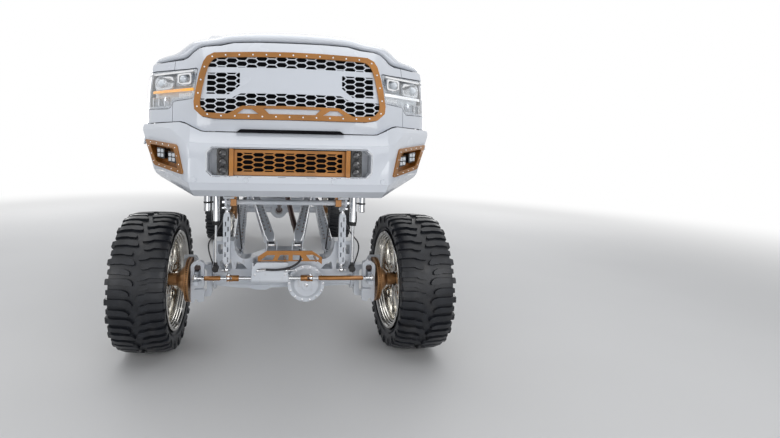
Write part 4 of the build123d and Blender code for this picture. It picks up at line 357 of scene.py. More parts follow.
def lathe(bm, profile, centre, steps=48, axis=(1, 0, 0), closed=False):
    """Profile of (along the X axis, radius) pairs turned about an axis through centre."""
    centre = Vector(centre)
    ring = [bm.verts.new(centre + Vector((a, 0, r))) for a, r in profile]
    pairs = zip(ring, ring[1:] + ring[:1]) if closed else zip(ring, ring[1:])
    edges = [bm.edges.new(pair) for pair in pairs]
    made = bmesh.ops.spin(bm, geom=ring + edges, cent=centre, axis=axis, angle=2 * pi, steps=steps, use_merge=True)
    return made


def loft(bm, rows, cap=True, wrap=True):
    """Skin through rows of points; wrap closes each row into a loop."""
    loops = []
    for row in rows:
        verts = [bm.verts.new(Vector(p)) for p in row]
        pairs = list(zip(verts, verts[1:]))
        if wrap:
            pairs.append((verts[-1], verts[0]))
        loops.append([bm.edges.new(pair) for pair in pairs])
        if cap and wrap and (row is rows[0] or row is rows[-1]):
            bm.faces.new(verts)
    for a, b in zip(loops, loops[1:]):
        bmesh.ops.bridge_loops(bm, edges=a + b)


def hose(bm, points, radius, sides=10):
    """Round tube along a smooth curve through the points."""
    curve = bpy.data.curves.new("hose", "CURVE")
    curve.dimensions = "3D"
    curve.bevel_depth = radius
    curve.bevel_resolution = max(1, sides // 4)
    curve.use_fill_caps = True
    curve.resolution_u = 8
    line = curve.splines.new("NURBS")
    line.points.add(len(points) - 1)
    for point, place in zip(line.points, points):
        point.co = (*place, 1)
    line.order_u = 3
    line.use_endpoint_u = True
    carrier = bpy.data.objects.new("hose", curve)
    bpy.context.scene.collection.objects.link(carrier)
    mesh = bpy.data.meshes.new_from_object(carrier.evaluated_get(bpy.context.evaluated_depsgraph_get()))
    bm.from_mesh(mesh)
    bpy.data.objects.remove(carrier)
    bpy.data.curves.remove(curve)
    bpy.data.meshes.remove(mesh)


def join_shapes(first, second, operation):
    """Boolean of two bmeshes, as a new bmesh."""
    carriers = []
    for shape in (first, second):
        bmesh.ops.recalc_face_normals(shape, faces=shape.faces)
        mesh = bpy.data.meshes.new("shape")
        shape.to_mesh(mesh)
        shape.free()
        carrier = bpy.data.objects.new("shape", mesh)
        bpy.context.scene.collection.objects.link(carrier)
        carriers.append(carrier)
    step = carriers[0].modifiers.new("cut", "BOOLEAN")
    step.object = carriers[1]
    step.operation = operation
    step.solver = "EXACT"
    step.use_self = True
    seen = carriers[0].evaluated_get(bpy.context.evaluated_depsgraph_get())
    mesh = bpy.data.meshes.new_from_object(seen)
    made = bmesh.new()
    made.from_mesh(mesh)
    for carrier in carriers:
        bpy.data.objects.remove(carrier)
    bpy.data.meshes.remove(mesh)
    return made


def piece(name, bm, material, body="truck", replaces=(), bevel=0.0, segments=2, slot=None, angle=35,
          smooth=0, weld=False):
    """Object from a bmesh, with its finish, its edges and the body that it rides on."""
    if weld:
        bmesh.ops.remove_doubles(bm, verts=bm.verts, dist=0.00005)
    bmesh.ops.recalc_face_normals(bm, faces=bm.faces)
    mesh = bpy.data.meshes.new(name)
    bm.to_mesh(mesh)
    bm.free()
    mesh.shade_smooth()
    thing = bpy.data.objects.new(name, mesh)
    bpy.context.scene.collection.objects.link(thing)
    mesh.materials.append(FINISHES[material])
    if smooth:
        rounding = thing.modifiers.new("rounding", "SUBSURF")
        rounding.levels = smooth
        rounding.render_levels = smooth
    elif bevel:
        edge = thing.modifiers.new("edges", "BEVEL")
        edge.width = bevel
        edge.segments = segments
        edge.limit_method = "ANGLE"
        edge.angle_limit = radians(30)
        edge.harden_normals = True
    else:
        mesh.set_sharp_from_angle(angle=radians(angle))
    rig.ride(thing, body)
    if replaces:
        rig.replaces(thing, *replaces)
    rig.slot(thing, slot or SLOTS.get(material, "pearl_white"))
    return thing


SLOTS = {
    "pearl_white": "pearl_white",
    "suspension_white": "cream_paint",
    "copper_paint": "copper_paint",
    "rotor_steel": "copper_paint",
    "chrome": "polished",
    "polished_rim": "polished",
    "brushed_steel": "polished",
    "dark_iron": "dark_iron",
    "engine_grey": "dark_iron",
    "frame_black": "frame_black",
    "cast_grey": "cast_grey",
    "tyre_rubber": "tyre_rubber",
    "black_plastic": "black_plastic",
    "gloss_black": "black_plastic",
    "painted_shade_black": "black_plastic",
    "bed_liner": "black_plastic",
    "rubber_hose": "black_plastic",
    "window_glass": "window_glass",
    "lamp_glass": "lamp_glass",
    "lens_frost": "lamp_glass", "lamp_silver": "polished", "smoked_lens": "black_plastic",
    "white_light": "lamp_glass",
    "amber_lens": "red_lamp",
    "red_lens": "red_lamp",
    "seat_leather": "seat_fabric",
    "seat_stitch": "seat_fabric",
    "carpet": "seat_fabric",
    "shaft_brown": "dark_iron",
}


def mirrored(bm):
    """Adds the right side to what was drawn on the left."""
    bmesh.ops.mirror(bm, geom=bm.verts[:] + bm.edges[:] + bm.faces[:], axis="X", merge_dist=0.0001)
    return bm


def full_width(half):
    """Outline in X and Z from its points at X of 0 or more, right side then left."""
    return [(-x, z) for x, z in half if x > 0][::-1] + list(half)


def across(points, y):
    """Points in X and Z, stood up at y."""
    return [spot(x, y, z) for x, z in points]


def along(points, x):
    """Points in Y and Z, stood up at x."""
    return [spot(x, y, z) for y, z in points]


def shelled(bm, thickness):
    """Closed shell made from an open skin, its wall to the inside."""
    mesh = bpy.data.meshes.new("skin")
    bm.to_mesh(mesh)
    bm.free()
    carrier = bpy.data.objects.new("skin", mesh)
    bpy.context.scene.collection.objects.link(carrier)
    wall = carrier.modifiers.new("wall", "SOLIDIFY")
    wall.thickness = thickness
    wall.offset = -1
    wall.use_even_offset = False
    seen = carrier.evaluated_get(bpy.context.evaluated_depsgraph_get())
    solid = bpy.data.meshes.new_from_object(seen)
    made = bmesh.new()
    made.from_mesh(solid)
    bpy.data.objects.remove(carrier)
    bpy.data.meshes.remove(solid)
    return made


def skin(bm, rows):
    """Open surface through rows of points, from a grid whose places are set row by row."""
    wide, high = len(rows[0]), len(rows)
    verts = bmesh.ops.create_grid(bm, x_segments=wide - 1, y_segments=high - 1, size=1)["verts"]
    verts = sorted(verts, key=lambda v: (round(v.co.y, 5), round(v.co.x, 5)))
    for index, vert in enumerate(verts):
        vert.co = Vector(rows[index // wide][index % wide])
    return verts


def blend_value(knots, at):
    """Smooth value between knots of (position, value)."""
    if at <= knots[0][0]:
        return knots[0][1]
    for (a, va), (b, vb) in zip(knots, knots[1:]):
        if at <= b:
            part = (at - a) / (b - a)
            return va + (vb - va) * part
    return knots[-1][1]


def smooth_line(points, count):
    """Points spaced along a Catmull curve through the given ones."""
    points = [Vector(p) for p in points]
    ends = [points[0] * 2 - points[1]] + points + [points[-1] * 2 - points[-2]]
    lengths = [(b - a).length for a, b in zip(points, points[1:])]
    whole = sum(lengths)
    made = []
    for step in range(count):
        goal = whole * step / (count - 1)
        index = 0
        while index < len(lengths) - 1 and goal > lengths[index]:
            goal -= lengths[index]
            index += 1
        t = min(1.0, goal / max(lengths[index], 1e-9))
        p0, p1, p2, p3 = ends[index:index + 4]
        value = p1 * 2 + (p2 - p0) * t + (p0 * 2 - p1 * 5 + p2 * 4 - p3) * t * t
        made.append((value + (p1 * 3 - p0 - p2 * 3 + p3) * t * t * t) / 2)
    return made


# Front edge of the hood, from the middle out: X, Y, Z from the front axle
HOOD_EDGE = [
    (0.0, -0.840, 2.334), (0.2, -0.836, 2.333), (0.36, -0.821, 2.329), (0.405, -0.815, 2.322), (0.44, -0.808, 2.313),
    (0.539, -0.784, 2.309), (0.583, -0.770, 2.300), (0.622, -0.757, 2.274), (0.655, -0.745, 2.244),
    (0.69, -0.732, 2.230), (0.805, -0.678, 2.221), (0.905, -0.620, 2.213),
]
# Crest of the hood above those points
HOOD_CREST = [
    (0.0, -0.60, 2.438), (0.22, -0.60, 2.432), (0.386, -0.59, 2.420), (0.437, -0.585, 2.411), (0.478, -0.582, 2.392),
    (0.594, -0.567, 2.383), (0.66, -0.556, 2.366), (0.713, -0.546, 2.329), (0.76, -0.535, 2.292),
    (0.80, -0.527, 2.281), (0.853, -0.515, 2.274), (0.905, -0.50, 2.258),
]
HOOD_MIDDLE_DROPS = (0, 0.006, 0.016, 0.024, 0.044, 0.054, 0.070, 0.104, 0.138, 0.148, 0.156, 0.166)
HOOD_REAR_DROPS = (0, 0.004, 0.010, 0.014, 0.028, 0.036, 0.048, 0.066, 0.086, 0.094, 0.104, 0.118)
HOOD_REAR_Y = 0.460


def hood_side_z(y):
    return blend_value([(-0.62, 2.213), (-0.50, 2.258), (-0.25, 2.298), (0.46, 2.379), (0.64, 2.395)], y)


def hood_rows():
    """Rows of the hood's skin, front to rear, over its left half."""
    rows = []
    for rise, back in ((0.0, 0.10), (0.10, 0.02), (0.32, 0.0), (0.62, 0.14), (0.85, 0.40), (0.96, 0.70), (1.0, 1.0)):
        row = []
        for edge, crest in zip(HOOD_EDGE, HOOD_CREST):
            part = rise
            row.append((
                edge[0] + (crest[0] - edge[0]) * rise,
                edge[1] + (crest[1] - edge[1]) * back,
                edge[2] + (crest[2] - edge[2]) * part,
            ))
        rows.append(row)
    for y, centre, drops in ((-0.42, 2.455, HOOD_MIDDLE_DROPS), (-0.20, 2.469, HOOD_MIDDLE_DROPS),
                             (0.13, 2.486, None), (HOOD_REAR_Y, 2.497, HOOD_REAR_DROPS)):
        if drops is None:
            drops = [(a + b) / 2 for a, b in zip(HOOD_MIDDLE_DROPS, HOOD_REAR_DROPS)]
        rows.append([(crest[0], y, centre - drop) for crest, drop in zip(HOOD_CREST, drops)])
    return rows


def whole_rows(rows):
    """Rows over the full width from rows of the left half that start at X 0."""
    return [[spot(-x, y, z) for x, y, z in row[:0:-1]] + [spot(x, y, z) for x, y, z in row] for row in rows]


# Nose: where each station of the skin stands at mid height, and where its top edge is
NOSE_STATIONS = [
    ((0.00, -0.976), (0.0, -0.844, 2.327), 3.0),
    ((0.20, -0.974), (0.2, -0.840, 2.326), 3.0),
    ((0.36, -0.968), (0.36, -0.825, 2.322), 3.0),
    ((0.44, -0.962), (0.44, -0.812, 2.306), 3.0),
    ((0.52, -0.948), (0.539, -0.788, 2.302), 3.0),
    ((0.575, -0.924), (0.583, -0.774, 2.293), 3.0),
    ((0.61, -0.899), (0.622, -0.761, 2.267), 3.0),
    ((0.64, -0.876), (0.655, -0.749, 2.237), 3.2),
    ((0.68, -0.846), (0.69, -0.736, 2.223), 3.6),
    ((0.755, -0.790), (0.755, -0.707, 2.219), 4.0),
    ((0.83, -0.733), (0.825, -0.671, 2.214), 4.5),
    ((0.885, -0.692), (0.880, -0.640, 2.209), 5.0),
    ((0.922, -0.660), (0.912, -0.618, 2.206), 5.0),
    ((0.950, -0.618), (0.914, -0.585, 2.218), 5.0),
    ((0.972, -0.560), (0.914, -0.545, 2.236), 5.5),
    ((0.986, -0.480), (0.914, -0.475, 2.258), 6.0),
    ((0.994, -0.380), (0.914, -0.380, 2.272), 6.0),
    ((0.998, -0.250), (0.914, -0.250, 2.293), 6.0),
    ((1.0, -0.100), (0.914, -0.100, 2.310), 6.0),
    ((1.0, 0.080), (0.914, 0.080, 2.331), 6.0),
    ((1.0, 0.260), (0.914, 0.260, 2.351), 6.0),
    ((1.0, 0.450), (0.914, 0.450, 2.372), 6.0),
    ((1.0, 0.638), (0.914, 0.638, 2.390), 6.0),
]
NOSE_LEVELS = (0, 0.06, 0.14, 0.24, 0.34, 0.44, 0.54, 0.64, 0.73, 0.81, 0.88, 0.94, 0.975, 1.0)
NOSE_BOTTOM = 1.668


def nose_rows(inset=0.0):
    """Columns of the nose skin, from the middle of the front round to the front door."""
    columns = []
    for (x, y), (top_x, top_y, top_z), power in NOSE_STATIONS:
        column = []
        for level in NOSE_LEVELS:
            z = NOSE_BOTTOM + (top_z - NOSE_BOTTOM) * level
            lean = level ** power
            px = x + (top_x - x) * lean
            py = y + (top_y - y) * lean
            low = max(0.0, 1.86 - z)
            chin = blend_value([(0.0, 1.0), (0.6, 1.0), (0.95, 0.0)], x)
            py = py + chin * (low * 0.10)
            if y > -0.45 and z < 1.90:
                px = px - (1.90 - z) ** 2 * 0.9
            if inset:
                side = blend_value([(-0.9, 0.25), (-0.62, 0.8), (-0.4, 1.0)], y)
                px = px - inset * side
                py = py + inset * (1 - side) ** 0.5
            column.append((px, py, z))
        columns.append(column)
    return columns


def nose_shell(inset=0.0, thickness=0.022):
    """Closed wall of the whole nose, both sides, before it is cut into panels."""
    half = nose_rows(inset)
    rows = [[spot(-x, y, z) for x, y, z in column] for column in half[:0:-1]]
    rows += [[spot(x, y, z) for x, y, z in column] for column in half]
    bm = bmesh.new()
    skin(bm, rows)
    bmesh.ops.recalc_face_normals(bm, faces=bm.faces)
    middle = min(bm.faces, key=lambda f: (f.calc_center_median() - spot(0.1, -0.97, 1.95)).length)
    if middle.normal.y > 0:
        bmesh.ops.reverse_faces(bm, faces=bm.faces)
    return shelled(bm, thickness)


def slab(points, low_y, high_y):
    """Closed prism along Y from an outline in X and Z."""
    bm = bmesh.new()
    plate(bm, across(points, low_y), (0, high_y - low_y, 0))
    bmesh.ops.recalc_face_normals(bm, faces=bm.faces)
    return bm


def rounded(points, radius, steps=5):
    """Outline with its corners rounded."""
    made = []
    count = len(points)
    for index, point in enumerate(points):
        here = Vector(point)
        before, after = Vector(points[index - 1]), Vector(points[(index + 1) % count])
        reach = min(radius, (before - here).length * 0.45, (after - here).length * 0.45)
        a = here + (before - here).normalized() * reach
        b = here + (after - here).normalized() * reach
        for step in range(steps + 1):
            t = step / steps
            made.append(tuple(a * (1 - t) ** 2 + here * 2 * t * (1 - t) + b * t * t))
    return made


def grown(points, by):
    """Outline moved outwards by a distance, for outlines drawn about their middle."""
    made = []
    count = len(points)
    area = sum(points[i - 1][0] * points[i][1] - points[i][0] * points[i - 1][1] for i in range(count))
    sign = 1 if area > 0 else -1
    for index in range(count):
        before, here, after = Vector(points[index - 1]), Vector(points[index]), Vector(points[(index + 1) % count])
        a = (here - before).normalized()
        b = (after - here).normalized()
        na, nb = Vector((a.y, -a.x)) * sign, Vector((b.y, -b.x)) * sign
        out = (na + nb)
        out = out / max(out.length_squared, 0.35) * 2
        made.append(tuple(here + out * by))
    return made


# Outlines of the front, X and Z
GRILLE_EDGE = [
    (0.0, 2.256), (0.20, 2.252), (0.40, 2.243), (0.470, 2.238), (0.512, 2.215), (0.534, 2.180), (0.556, 2.105),
    (0.572, 2.020), (0.584, 1.935), (0.578, 1.888), (0.533, 1.847), (0.460, 1.834), (0.0, 1.836),
]
LAMP_EDGE = [
    (0.575, 2.158), (1.02, 2.160), (1.02, 1.908), (0.772, 1.904), (0.750, 1.920), (0.738, 1.950), (0.592, 1.961),
]
BUMPER_LINE = [(0.0, 1.763), (0.521, 1.763), (0.545, 1.766), (0.655, 1.818), (0.685, 1.825), (1.10, 1.818)]
SEAM_X = 0.745


def nose_cutters():
    """Everything that is taken out of the nose's wall: grille, lamps and the room above the bumper."""
    bm = slab(full_width(GRILLE_EDGE), -1.10, -0.70)
    for side in (1, -1):
        outline = rounded([(x * side, z) for x, z in LAMP_EDGE], 0.02)
        plate(bm, across(outline, -1.10), (0, 0.553, 0))
        arch = [
            (cos(step * pi / 24) * 0.52, 1.53 + sin(step * pi / 24) * 0.52) for step in range(25)
        ]
        arch = [(0.52, 1.50)] + arch + [(-0.52, 1.50)]
        plate(bm, along(arch, 0.86 * side), (0.3 * side, 0, 0))
    lower = [(x, z) for x, z in BUMPER_LINE]
    outline = full_width(lower) + [(1.10, 1.40), (-1.10, 1.40)]
    plate(bm, across(outline, -1.20), (0, 0.70, 0))
    return bm


class TRUCK_OT_nose(bpy.types.Operator):
    """Builds the painted front: grille shell, front wings and their wheel arch lips"""

    bl_idname = "truck.nose"
    bl_label = "Nose and front wings"

    def execute(self, context):
        cut = join_shapes(nose_shell(), nose_cutters(), "DIFFERENCE")
        mesh = bpy.data.meshes.new("nose")
        cut.to_mesh(mesh)
        cut.free()
        edge = SEAM_X - 0.0015
        for name, spans, node in (
            ("grille_surround_panel", ((-edge, edge),), "grille_shell"),
            ("front_wings", ((SEAM_X + 0.0015, 1.2), (-1.2, -SEAM_X - 0.0015)), "fenders"),
        ):
            whole = bmesh.new()
            for low, high in spans:
                box(whole, spot(low, -1.2, 1.5), spot(high, 1.0, 2.6))
            part = bmesh.new()
            part.from_mesh(mesh)
            panel = join_shapes(part, whole, "INTERSECT")
            if node == "fenders":
                for side in (1, -1):
                    self.arch_lip(panel, side)
            piece(name, panel, "pearl_white", "truck", (node,), angle=28)
        bpy.data.meshes.remove(mesh)
        return {"FINISHED"}

    @staticmethod
    def arch_lip(bm, side):
        """Rolled flange round the wheel opening."""
        for radius, out, thick in ((0.527, 1.003, 0.008),):
            points = []
            for step in range(21):
                turn = radians(17 + 146 * step / 20)
                points.append(spot(out * side, cos(turn) * radius, 1.53 + sin(turn) * radius))
            hose(bm, points, thick, 8)


class TRUCK_OT_hood(bpy.types.Operator):
    """Builds the domed hood on its hinge"""

    bl_idname = "truck.hood"
    bl_label = "Hood"

    def execute(self, context):
        bm = bmesh.new()
        skin(bm, whole_rows(hood_rows()))
        bmesh.ops.recalc_face_normals(bm, faces=bm.faces)
        if sum(f.normal.z for f in bm.faces) < 0:
            bmesh.ops.reverse_faces(bm, faces=bm.faces)
        lid = shelled(bm, 0.024)
        thing = piece("hood_panel", lid, "pearl_white", "hood", ("hood",), smooth=2)
        crease = thing.data.attributes.new("crease_edge", "FLOAT", "EDGE")
        for edge, value in zip(thing.data.edges, crease.data):
            faces_apart = False
            a, b = (thing.data.vertices[i].co for i in edge.vertices)
            faces_apart = abs(a.z - b.z) > 0.02 and abs(a.y - b.y) < 0.004 and abs(a.x - b.x) < 0.004
            value.value = 0.6 if faces_apart else 0.0
        return {"FINISHED"}


class TRUCK_OT_head_lamps(bpy.types.Operator):
    """Builds the two head lamps: housing, reflectors, strips and clear cover"""

    bl_idname = "truck.head_lamps"
    bl_label = "Head lamps"

    def execute(self, context):
        inner = grown(LAMP_EDGE, -0.006)
        back = bmesh.new()
        cover = bmesh.new()
        rim = bmesh.new()
        for side in (1, -1):
            outline = rounded([(x * side, z) for x, z in inner], 0.018)
            plate(cover, across(outline, -1.10), (0, 0.55, 0))
            plate(back, across(outline, -1.10), (0, 0.55, 0))
            plate(rim, across(rounded([(x * side, z) for x, z in grown(LAMP_EDGE, -0.004)], 0.018), -1.10), (0, 0.55, 0))
        clear = join_shapes(nose_shell(0.003, 0.004), cover, "INTERSECT")
        piece("lamp_covers", clear, "lamp_glass", "truck", (), slot="lamp_glass", angle=28)
        bowl = join_shapes(nose_shell(0.055, 0.010), back, "INTERSECT")
        piece("lamp_bowls", bowl, "lens_frost", "truck", ("head_lamps",), slot="lamp_glass", angle=28)
        hoop = bmesh.new()
        for side in (1, -1):
            plate(hoop, across(rounded([(x * side, z) for x, z in grown(LAMP_EDGE, -0.020)], 0.012), -1.12),
                  (0, 0.60, 0))
        ring = join_shapes(rim, hoop, "DIFFERENCE")
        ring = join_shapes(nose_shell(0.010, 0.045), ring, "INTERSECT")
        piece("lamp_frames", ring, "lamp_silver", "truck", (), slot="polished", angle=28)
        self.insides()
        return {"FINISHED"}

    @staticmethod
    def face(x, z, depth=0.03):
        """Place on the lamp's front at x and z, set back by depth."""
        y = blend_value([(0.575, -0.915), (0.64, -0.866), (0.755, -0.780), (0.885, -0.684), (0.95, -0.61)], x)
        return (x, y + depth, z)

    def insides(self):
        frames, lenses, strip, white = bmesh.new(), bmesh.new(), bmesh.new(), bmesh.new()
        silver = bmesh.new()
        for side in (1, -1):
            for x0, x1, z0, z1, shape in ((0.615, 0.715, 2.055, 2.125, 0.018), (0.745, 0.885, 2.035, 2.115, 0.035)):
                corners = [(x0, z0), (x1, z0), (x1, z1), (x0, z1)]
                for grow, depth, target in ((0.008, 0.030, frames), (0.0, 0.022, silver)):
                    outer = rounded(grown(corners, grow), shape + grow)
                    hole = rounded(grown(corners, grow - 0.010), shape)
                    rows = []
                    for outline, more in ((outer, 0.012), (outer, 0.0), (hole, 0.0), (hole, 0.028)):
                        rows.append([spot(*on_side(self.face(x, z, depth + more), side)) for x, z in outline])
                    loft(target, rows, cap=False)
                middle = ((x0 + x1) / 2, (z0 + z1) / 2)
                spread_x, spread_z = (x1 - x0) * 0.36, (z1 - z0) * 0.40
                place = self.face(middle[0], middle[1], 0.045)
                fit = Matrix.Translation(spot(*on_side(place, side))) @ Matrix.Rotation(-0.62 * side, 4, "Z")
                fit = fit @ Matrix.Diagonal((spread_x, 0.022, spread_z, 1))
                bmesh.ops.create_uvsphere(lenses, u_segments=24, v_segments=12, radius=1, matrix=fit)
            for row, (z0, z1, x0, x1) in enumerate(((2.012, 2.030, 0.60, 0.905), (2.128, 2.140, 0.60, 0.93))):
                bar = [(x0, z0), (x1, z0), (x1, z1), (x0, z1)]
                target = (strip if side < 0 else white) if row == 0 else silver
                count = 10
                rows = []
                for step in range(count + 1):
                    x = x0 + (x1 - x0) * step / count
                    fy = self.face(x, z0, 0.018)[1]
                    rows.append([spot(x * side, fy, z0), spot(x * side, fy, z1), spot(x * side, fy + 0.012, z1),
                                 spot(x * side, fy + 0.012, z0)])
                loft(target, rows)
            for x in (0.80, 0.845, 0.89):
                ring = self.face(x, 1.955, 0.030)
                box(silver, spot(*on_side((ring[0] - 0.016, ring[1] - 0.004, 1.928), side)),
                    spot(*on_side((ring[0] + 0.016, ring[1] + 0.012, 1.985), side)), Matrix.Rotation(-0.62 * side, 4, "Z"))
            for step in range(7):
                x = 0.612 + step * 0.014
                low = self.face(x, 1.985, 0.026)
                box(silver, spot(*on_side((low[0] - 0.004, low[1] - 0.003, 1.972), side)),
                    spot(*on_side((low[0] + 0.004, low[1] + 0.006, 2.000), side)))
        piece("lamp_lens_hoods", frames, "lamp_silver", "truck", slot="polished")
        piece("lamp_reflectors", silver, "chrome", "truck", slot="polished")
        piece("lamp_projectors", lenses, "lens_frost", "truck", slot="lamp_glass")
        piece("lamp_strip_amber", strip, "amber_lens", "truck", bevel=0.002)
        piece("lamp_strip_white", white, "white_light", "truck", bevel=0.002)


def lean(bm, low_z=1.83, foot_y=-0.968, slope=0.13):
    """Leans a flat part of the grille back, like the panel that it stands in."""
    for vert in bm.verts:
        vert.co.y = vert.co.y + foot_y + slope * (vert.co.z - low_z)
    return bm


def hex_prisms(middle, columns, rows, pitch, half, low_y, high_y, sharp=0.30):
    """Staggered stretched hexagonal prisms along Y."""
    bm = bmesh.new()
    for column in range(-columns, columns + 1):
        shift = pitch[1] / 2 if column % 2 else 0.0
        for row in range(-rows, rows + 1):
            x = middle[0] + column * pitch[0]
            z = middle[1] + row * pitch[1] + shift
            ring = [(x - half[0], z), (x - half[0] * (1 - sharp * 1.4), z - half[1]), (x + half[0] * (1 - sharp * 1.4), z - half[1]),
                    (x + half[0], z), (x + half[0] * (1 - sharp * 1.4), z + half[1]), (x - half[0] * (1 - sharp * 1.4), z + half[1])]
            plate(bm, [spot(px, low_y, pz) for px, pz in ring], (0, high_y - low_y, 0))
    return bm


TOP_BAND = [(0.0, 2.240), (0.462, 2.226), (0.496, 2.196), (0.512, 2.148), (0.0, 2.157)]
SIDE_WINDOW = [(0.312, 2.120), (0.505, 2.114), (0.510, 1.985), (0.378, 1.986), (0.312, 2.040)]
LOW_BAND = [
    (0.0, 2.000), (0.305, 1.994), (0.365, 1.962), (0.548, 1.955), (0.556, 1.915), (0.545, 1.878), (0.515, 1.856),
    (0.385, 1.856), (0.300, 1.912), (0.0, 1.916),
]


class TRUCK_OT_grille(bpy.types.Operator):
    """Builds the grille: white hexagon mesh with its bare plate, and the bolted copper surround with its truss"""

    bl_idname = "truck.grille"
    bl_label = "Hexagon mesh grille"

    def execute(self, context):
        regions = bmesh.new()
        outlines = [full_width(TOP_BAND), full_width(LOW_BAND)]
        for side in (1, -1):
            outlines.append([(x * side, z) for x, z in SIDE_WINDOW])
        for outline in outlines:
            plate(regions, across(outline, -0.03), (0, 0.06, 0))
        holes = join_shapes(hex_prisms((0.0, 2.0515), 9, 7, (0.0605, 0.0355), (0.0345, 0.0145), -0.025, 0.025), regions,
                            "INTERSECT")
        sheet = slab(grown(full_width(GRILLE_EDGE), -0.006), -0.004, 0.010)
        mesh = join_shapes(sheet, holes, "DIFFERENCE")
        lean(mesh)
        piece("grille_hexagon_mesh", mesh, "pearl_white", "truck", ("grille_mesh",), bevel=0.0012, segments=1)
        # Near-black sheet behind the hexagon mesh: painted shade of the dark space behind the grille
        backing = lean(slab(grown(full_width(GRILLE_EDGE), -0.010), 0.045, 0.050))
        piece("grille_shade_backing", backing, "painted_shade_black", "truck", slot="black_plastic")
        self.surround()
        return {"FINISHED"}

    @staticmethod
    def surround():
        ring = join_shapes(
            slab(grown(full_width(GRILLE_EDGE), -0.002), -0.016, -0.002),
            slab(rounded(full_width(SURROUND_INNER), 0.012, 3), -0.05, 0.05), "DIFFERENCE")
        windows = bmesh.new()
        for outline in (TRUSS_MIDDLE, TRUSS_SIDE, [(-x, z) for x, z in TRUSS_SIDE]):
            plate(windows, across(outline, -0.05), (0, 0.1, 0))
        ring = join_shapes(ring, windows, "DIFFERENCE")
        lean(ring)
        piece("grille_copper_surround", ring, "copper_paint", "truck", ("grille_surround",), bevel=0.0018)
        bolts = bmesh.new()
        line = [Vector((x, 0, z)) for x, z in full_width(grown_half(GRILLE_EDGE, -0.020))]
        line.append(line[0])
        for place in along_line(line, 34):
            y = -0.968 + 0.13 * (place.z - 1.83) - 0.016
            rod(bolts, spot(place.x, y + 0.004, place.z), spot(place.x, y - 0.002, place.z), 0.0048, sides=12)
            rod(bolts, spot(place.x, y - 0.001, place.z), spot(place.x, y - 0.0045, place.z), 0.0032, 0.0025, sides=6)
        piece("grille_bolts", bolts, "chrome", "truck", slot="polished")


SURROUND_INNER = [
    (0.0, 2.222), (0.20, 2.218), (0.40, 2.209), (0.452, 2.205), (0.478, 2.190), (0.498, 2.160), (0.516, 2.100),
    (0.532, 2.020), (0.545, 1.935), (0.541, 1.905), (0.508, 1.872), (0.378, 1.868), (0.296, 1.918), (0.0, 1.923),
]
TRUSS_MIDDLE = [(-0.150, 1.902), (-0.118, 1.872), (0.146, 1.872), (0.172, 1.897)]
TRUSS_MIDDLE = [(-0.165, 1.904), (-0.132, 1.872), (0.148, 1.872), (0.180, 1.904)]
TRUSS_SIDE = [(0.195, 1.870), (0.238, 1.899), (0.285, 1.899), (0.325, 1.870)]


def grown_half(half, by):
    """Half outline moved by a distance, its ends kept on the middle line."""
    whole = full_width(half)
    moved = grown(whole, by)
    return [p for p in moved if p[0] > 0.001] if False else [(max(x, 0.0), z) for x, z in moved[len(moved) - len(half):]]


def along_line(line, count):
    """Places spaced evenly along a line of points."""
    lengths = [(b - a).length for a, b in zip(line, line[1:])]
    whole = sum(lengths)
    made = []
    for step in range(count):
        goal = whole * (step + 0.5) / count
        for (a, b), length in zip(zip(line, line[1:]), lengths):
            if goal <= length:
                made.append(a + (b - a) * (goal / max(length, 1e-9)))
                break
            goal -= length
    return made


# Front bumper

BUMPER_TOP = [(0.0, 1.757), (0.515, 1.757), (0.540, 1.760), (0.652, 1.811), (0.684, 1.818), (0.968, 1.812)]


def bumper_rows(inset=0.0):
    """Sections of the bumper's skin from the middle to the wing's end, each from its top to its foot."""
    rows = []
    plan = (
        (0.0, -1.004, 1.0), (0.30, -1.004, 1.0), (0.515, -1.004, 1.0), (0.540, -1.004, 1.0), (0.602, -1.004, 1.0),
        (0.640, -0.985, 0.0), (0.684, -0.940, 0.0), (0.800, -0.822, 0.0), (0.888, -0.690, 0.0),
    )
    for x, y, middle in plan:
        if middle:
            top_z = blend_value(BUMPER_TOP, x)
            rows.append([(x, -0.900, top_z), (x, -0.962, top_z), (x, -0.986, 1.708), (x, y, 1.690), (x, y + 0.006, 1.600), (x, y + 0.002, 1.500),
                         (x, y, 1.452)])
    for share in (0.0, 0.14, 0.30, 0.50, 0.75, 1.0):
        top_x = 0.640 + (0.968 - 0.640) * share
        top_y = -0.905 + (0.265) * share ** 1.1
        fold_x = 0.640 + (0.974 - 0.640) * share
        fold_y = -0.976 + (0.336) * share
        foot_x = 0.606 + (0.888 - 0.606) * share
        foot_y = -1.002 + (0.312) * share
        foot_z = 1.452 + 0.062 * min(1.0, share * 1.6)
        top_z = blend_value(BUMPER_TOP, top_x)
        fold_z = 1.708 + 0.074 * min(1.0, share * 3) + 0.010 * share
        mid = 0.5
        rows.append([(top_x - 0.01, top_y + 0.065, top_z), (top_x, top_y, top_z), (fold_x, fold_y, fold_z),
                     (fold_x, fold_y - 0.002, fold_z - 0.018),
                     (fold_x + (foot_x - fold_x) * 0.40, fold_y + (foot_y - fold_y) * 0.40, fold_z + (foot_z - fold_z) * 0.42),
                     (fold_x + (foot_x - fold_x) * 0.80, fold_y + (foot_y - fold_y) * 0.80, fold_z + (foot_z - fold_z) * 0.80),
                     (foot_x, foot_y, foot_z)])
    return rows


BUMPER_RECESS = [(-0.469, 1.490), (0.469, 1.490), (0.502, 1.523), (0.502, 1.635), (0.469, 1.668), (-0.469, 1.668),
                 (-0.502, 1.635), (-0.502, 1.523)]


WING_SLOPE = 1.06
WING_LEAN = 0.0489


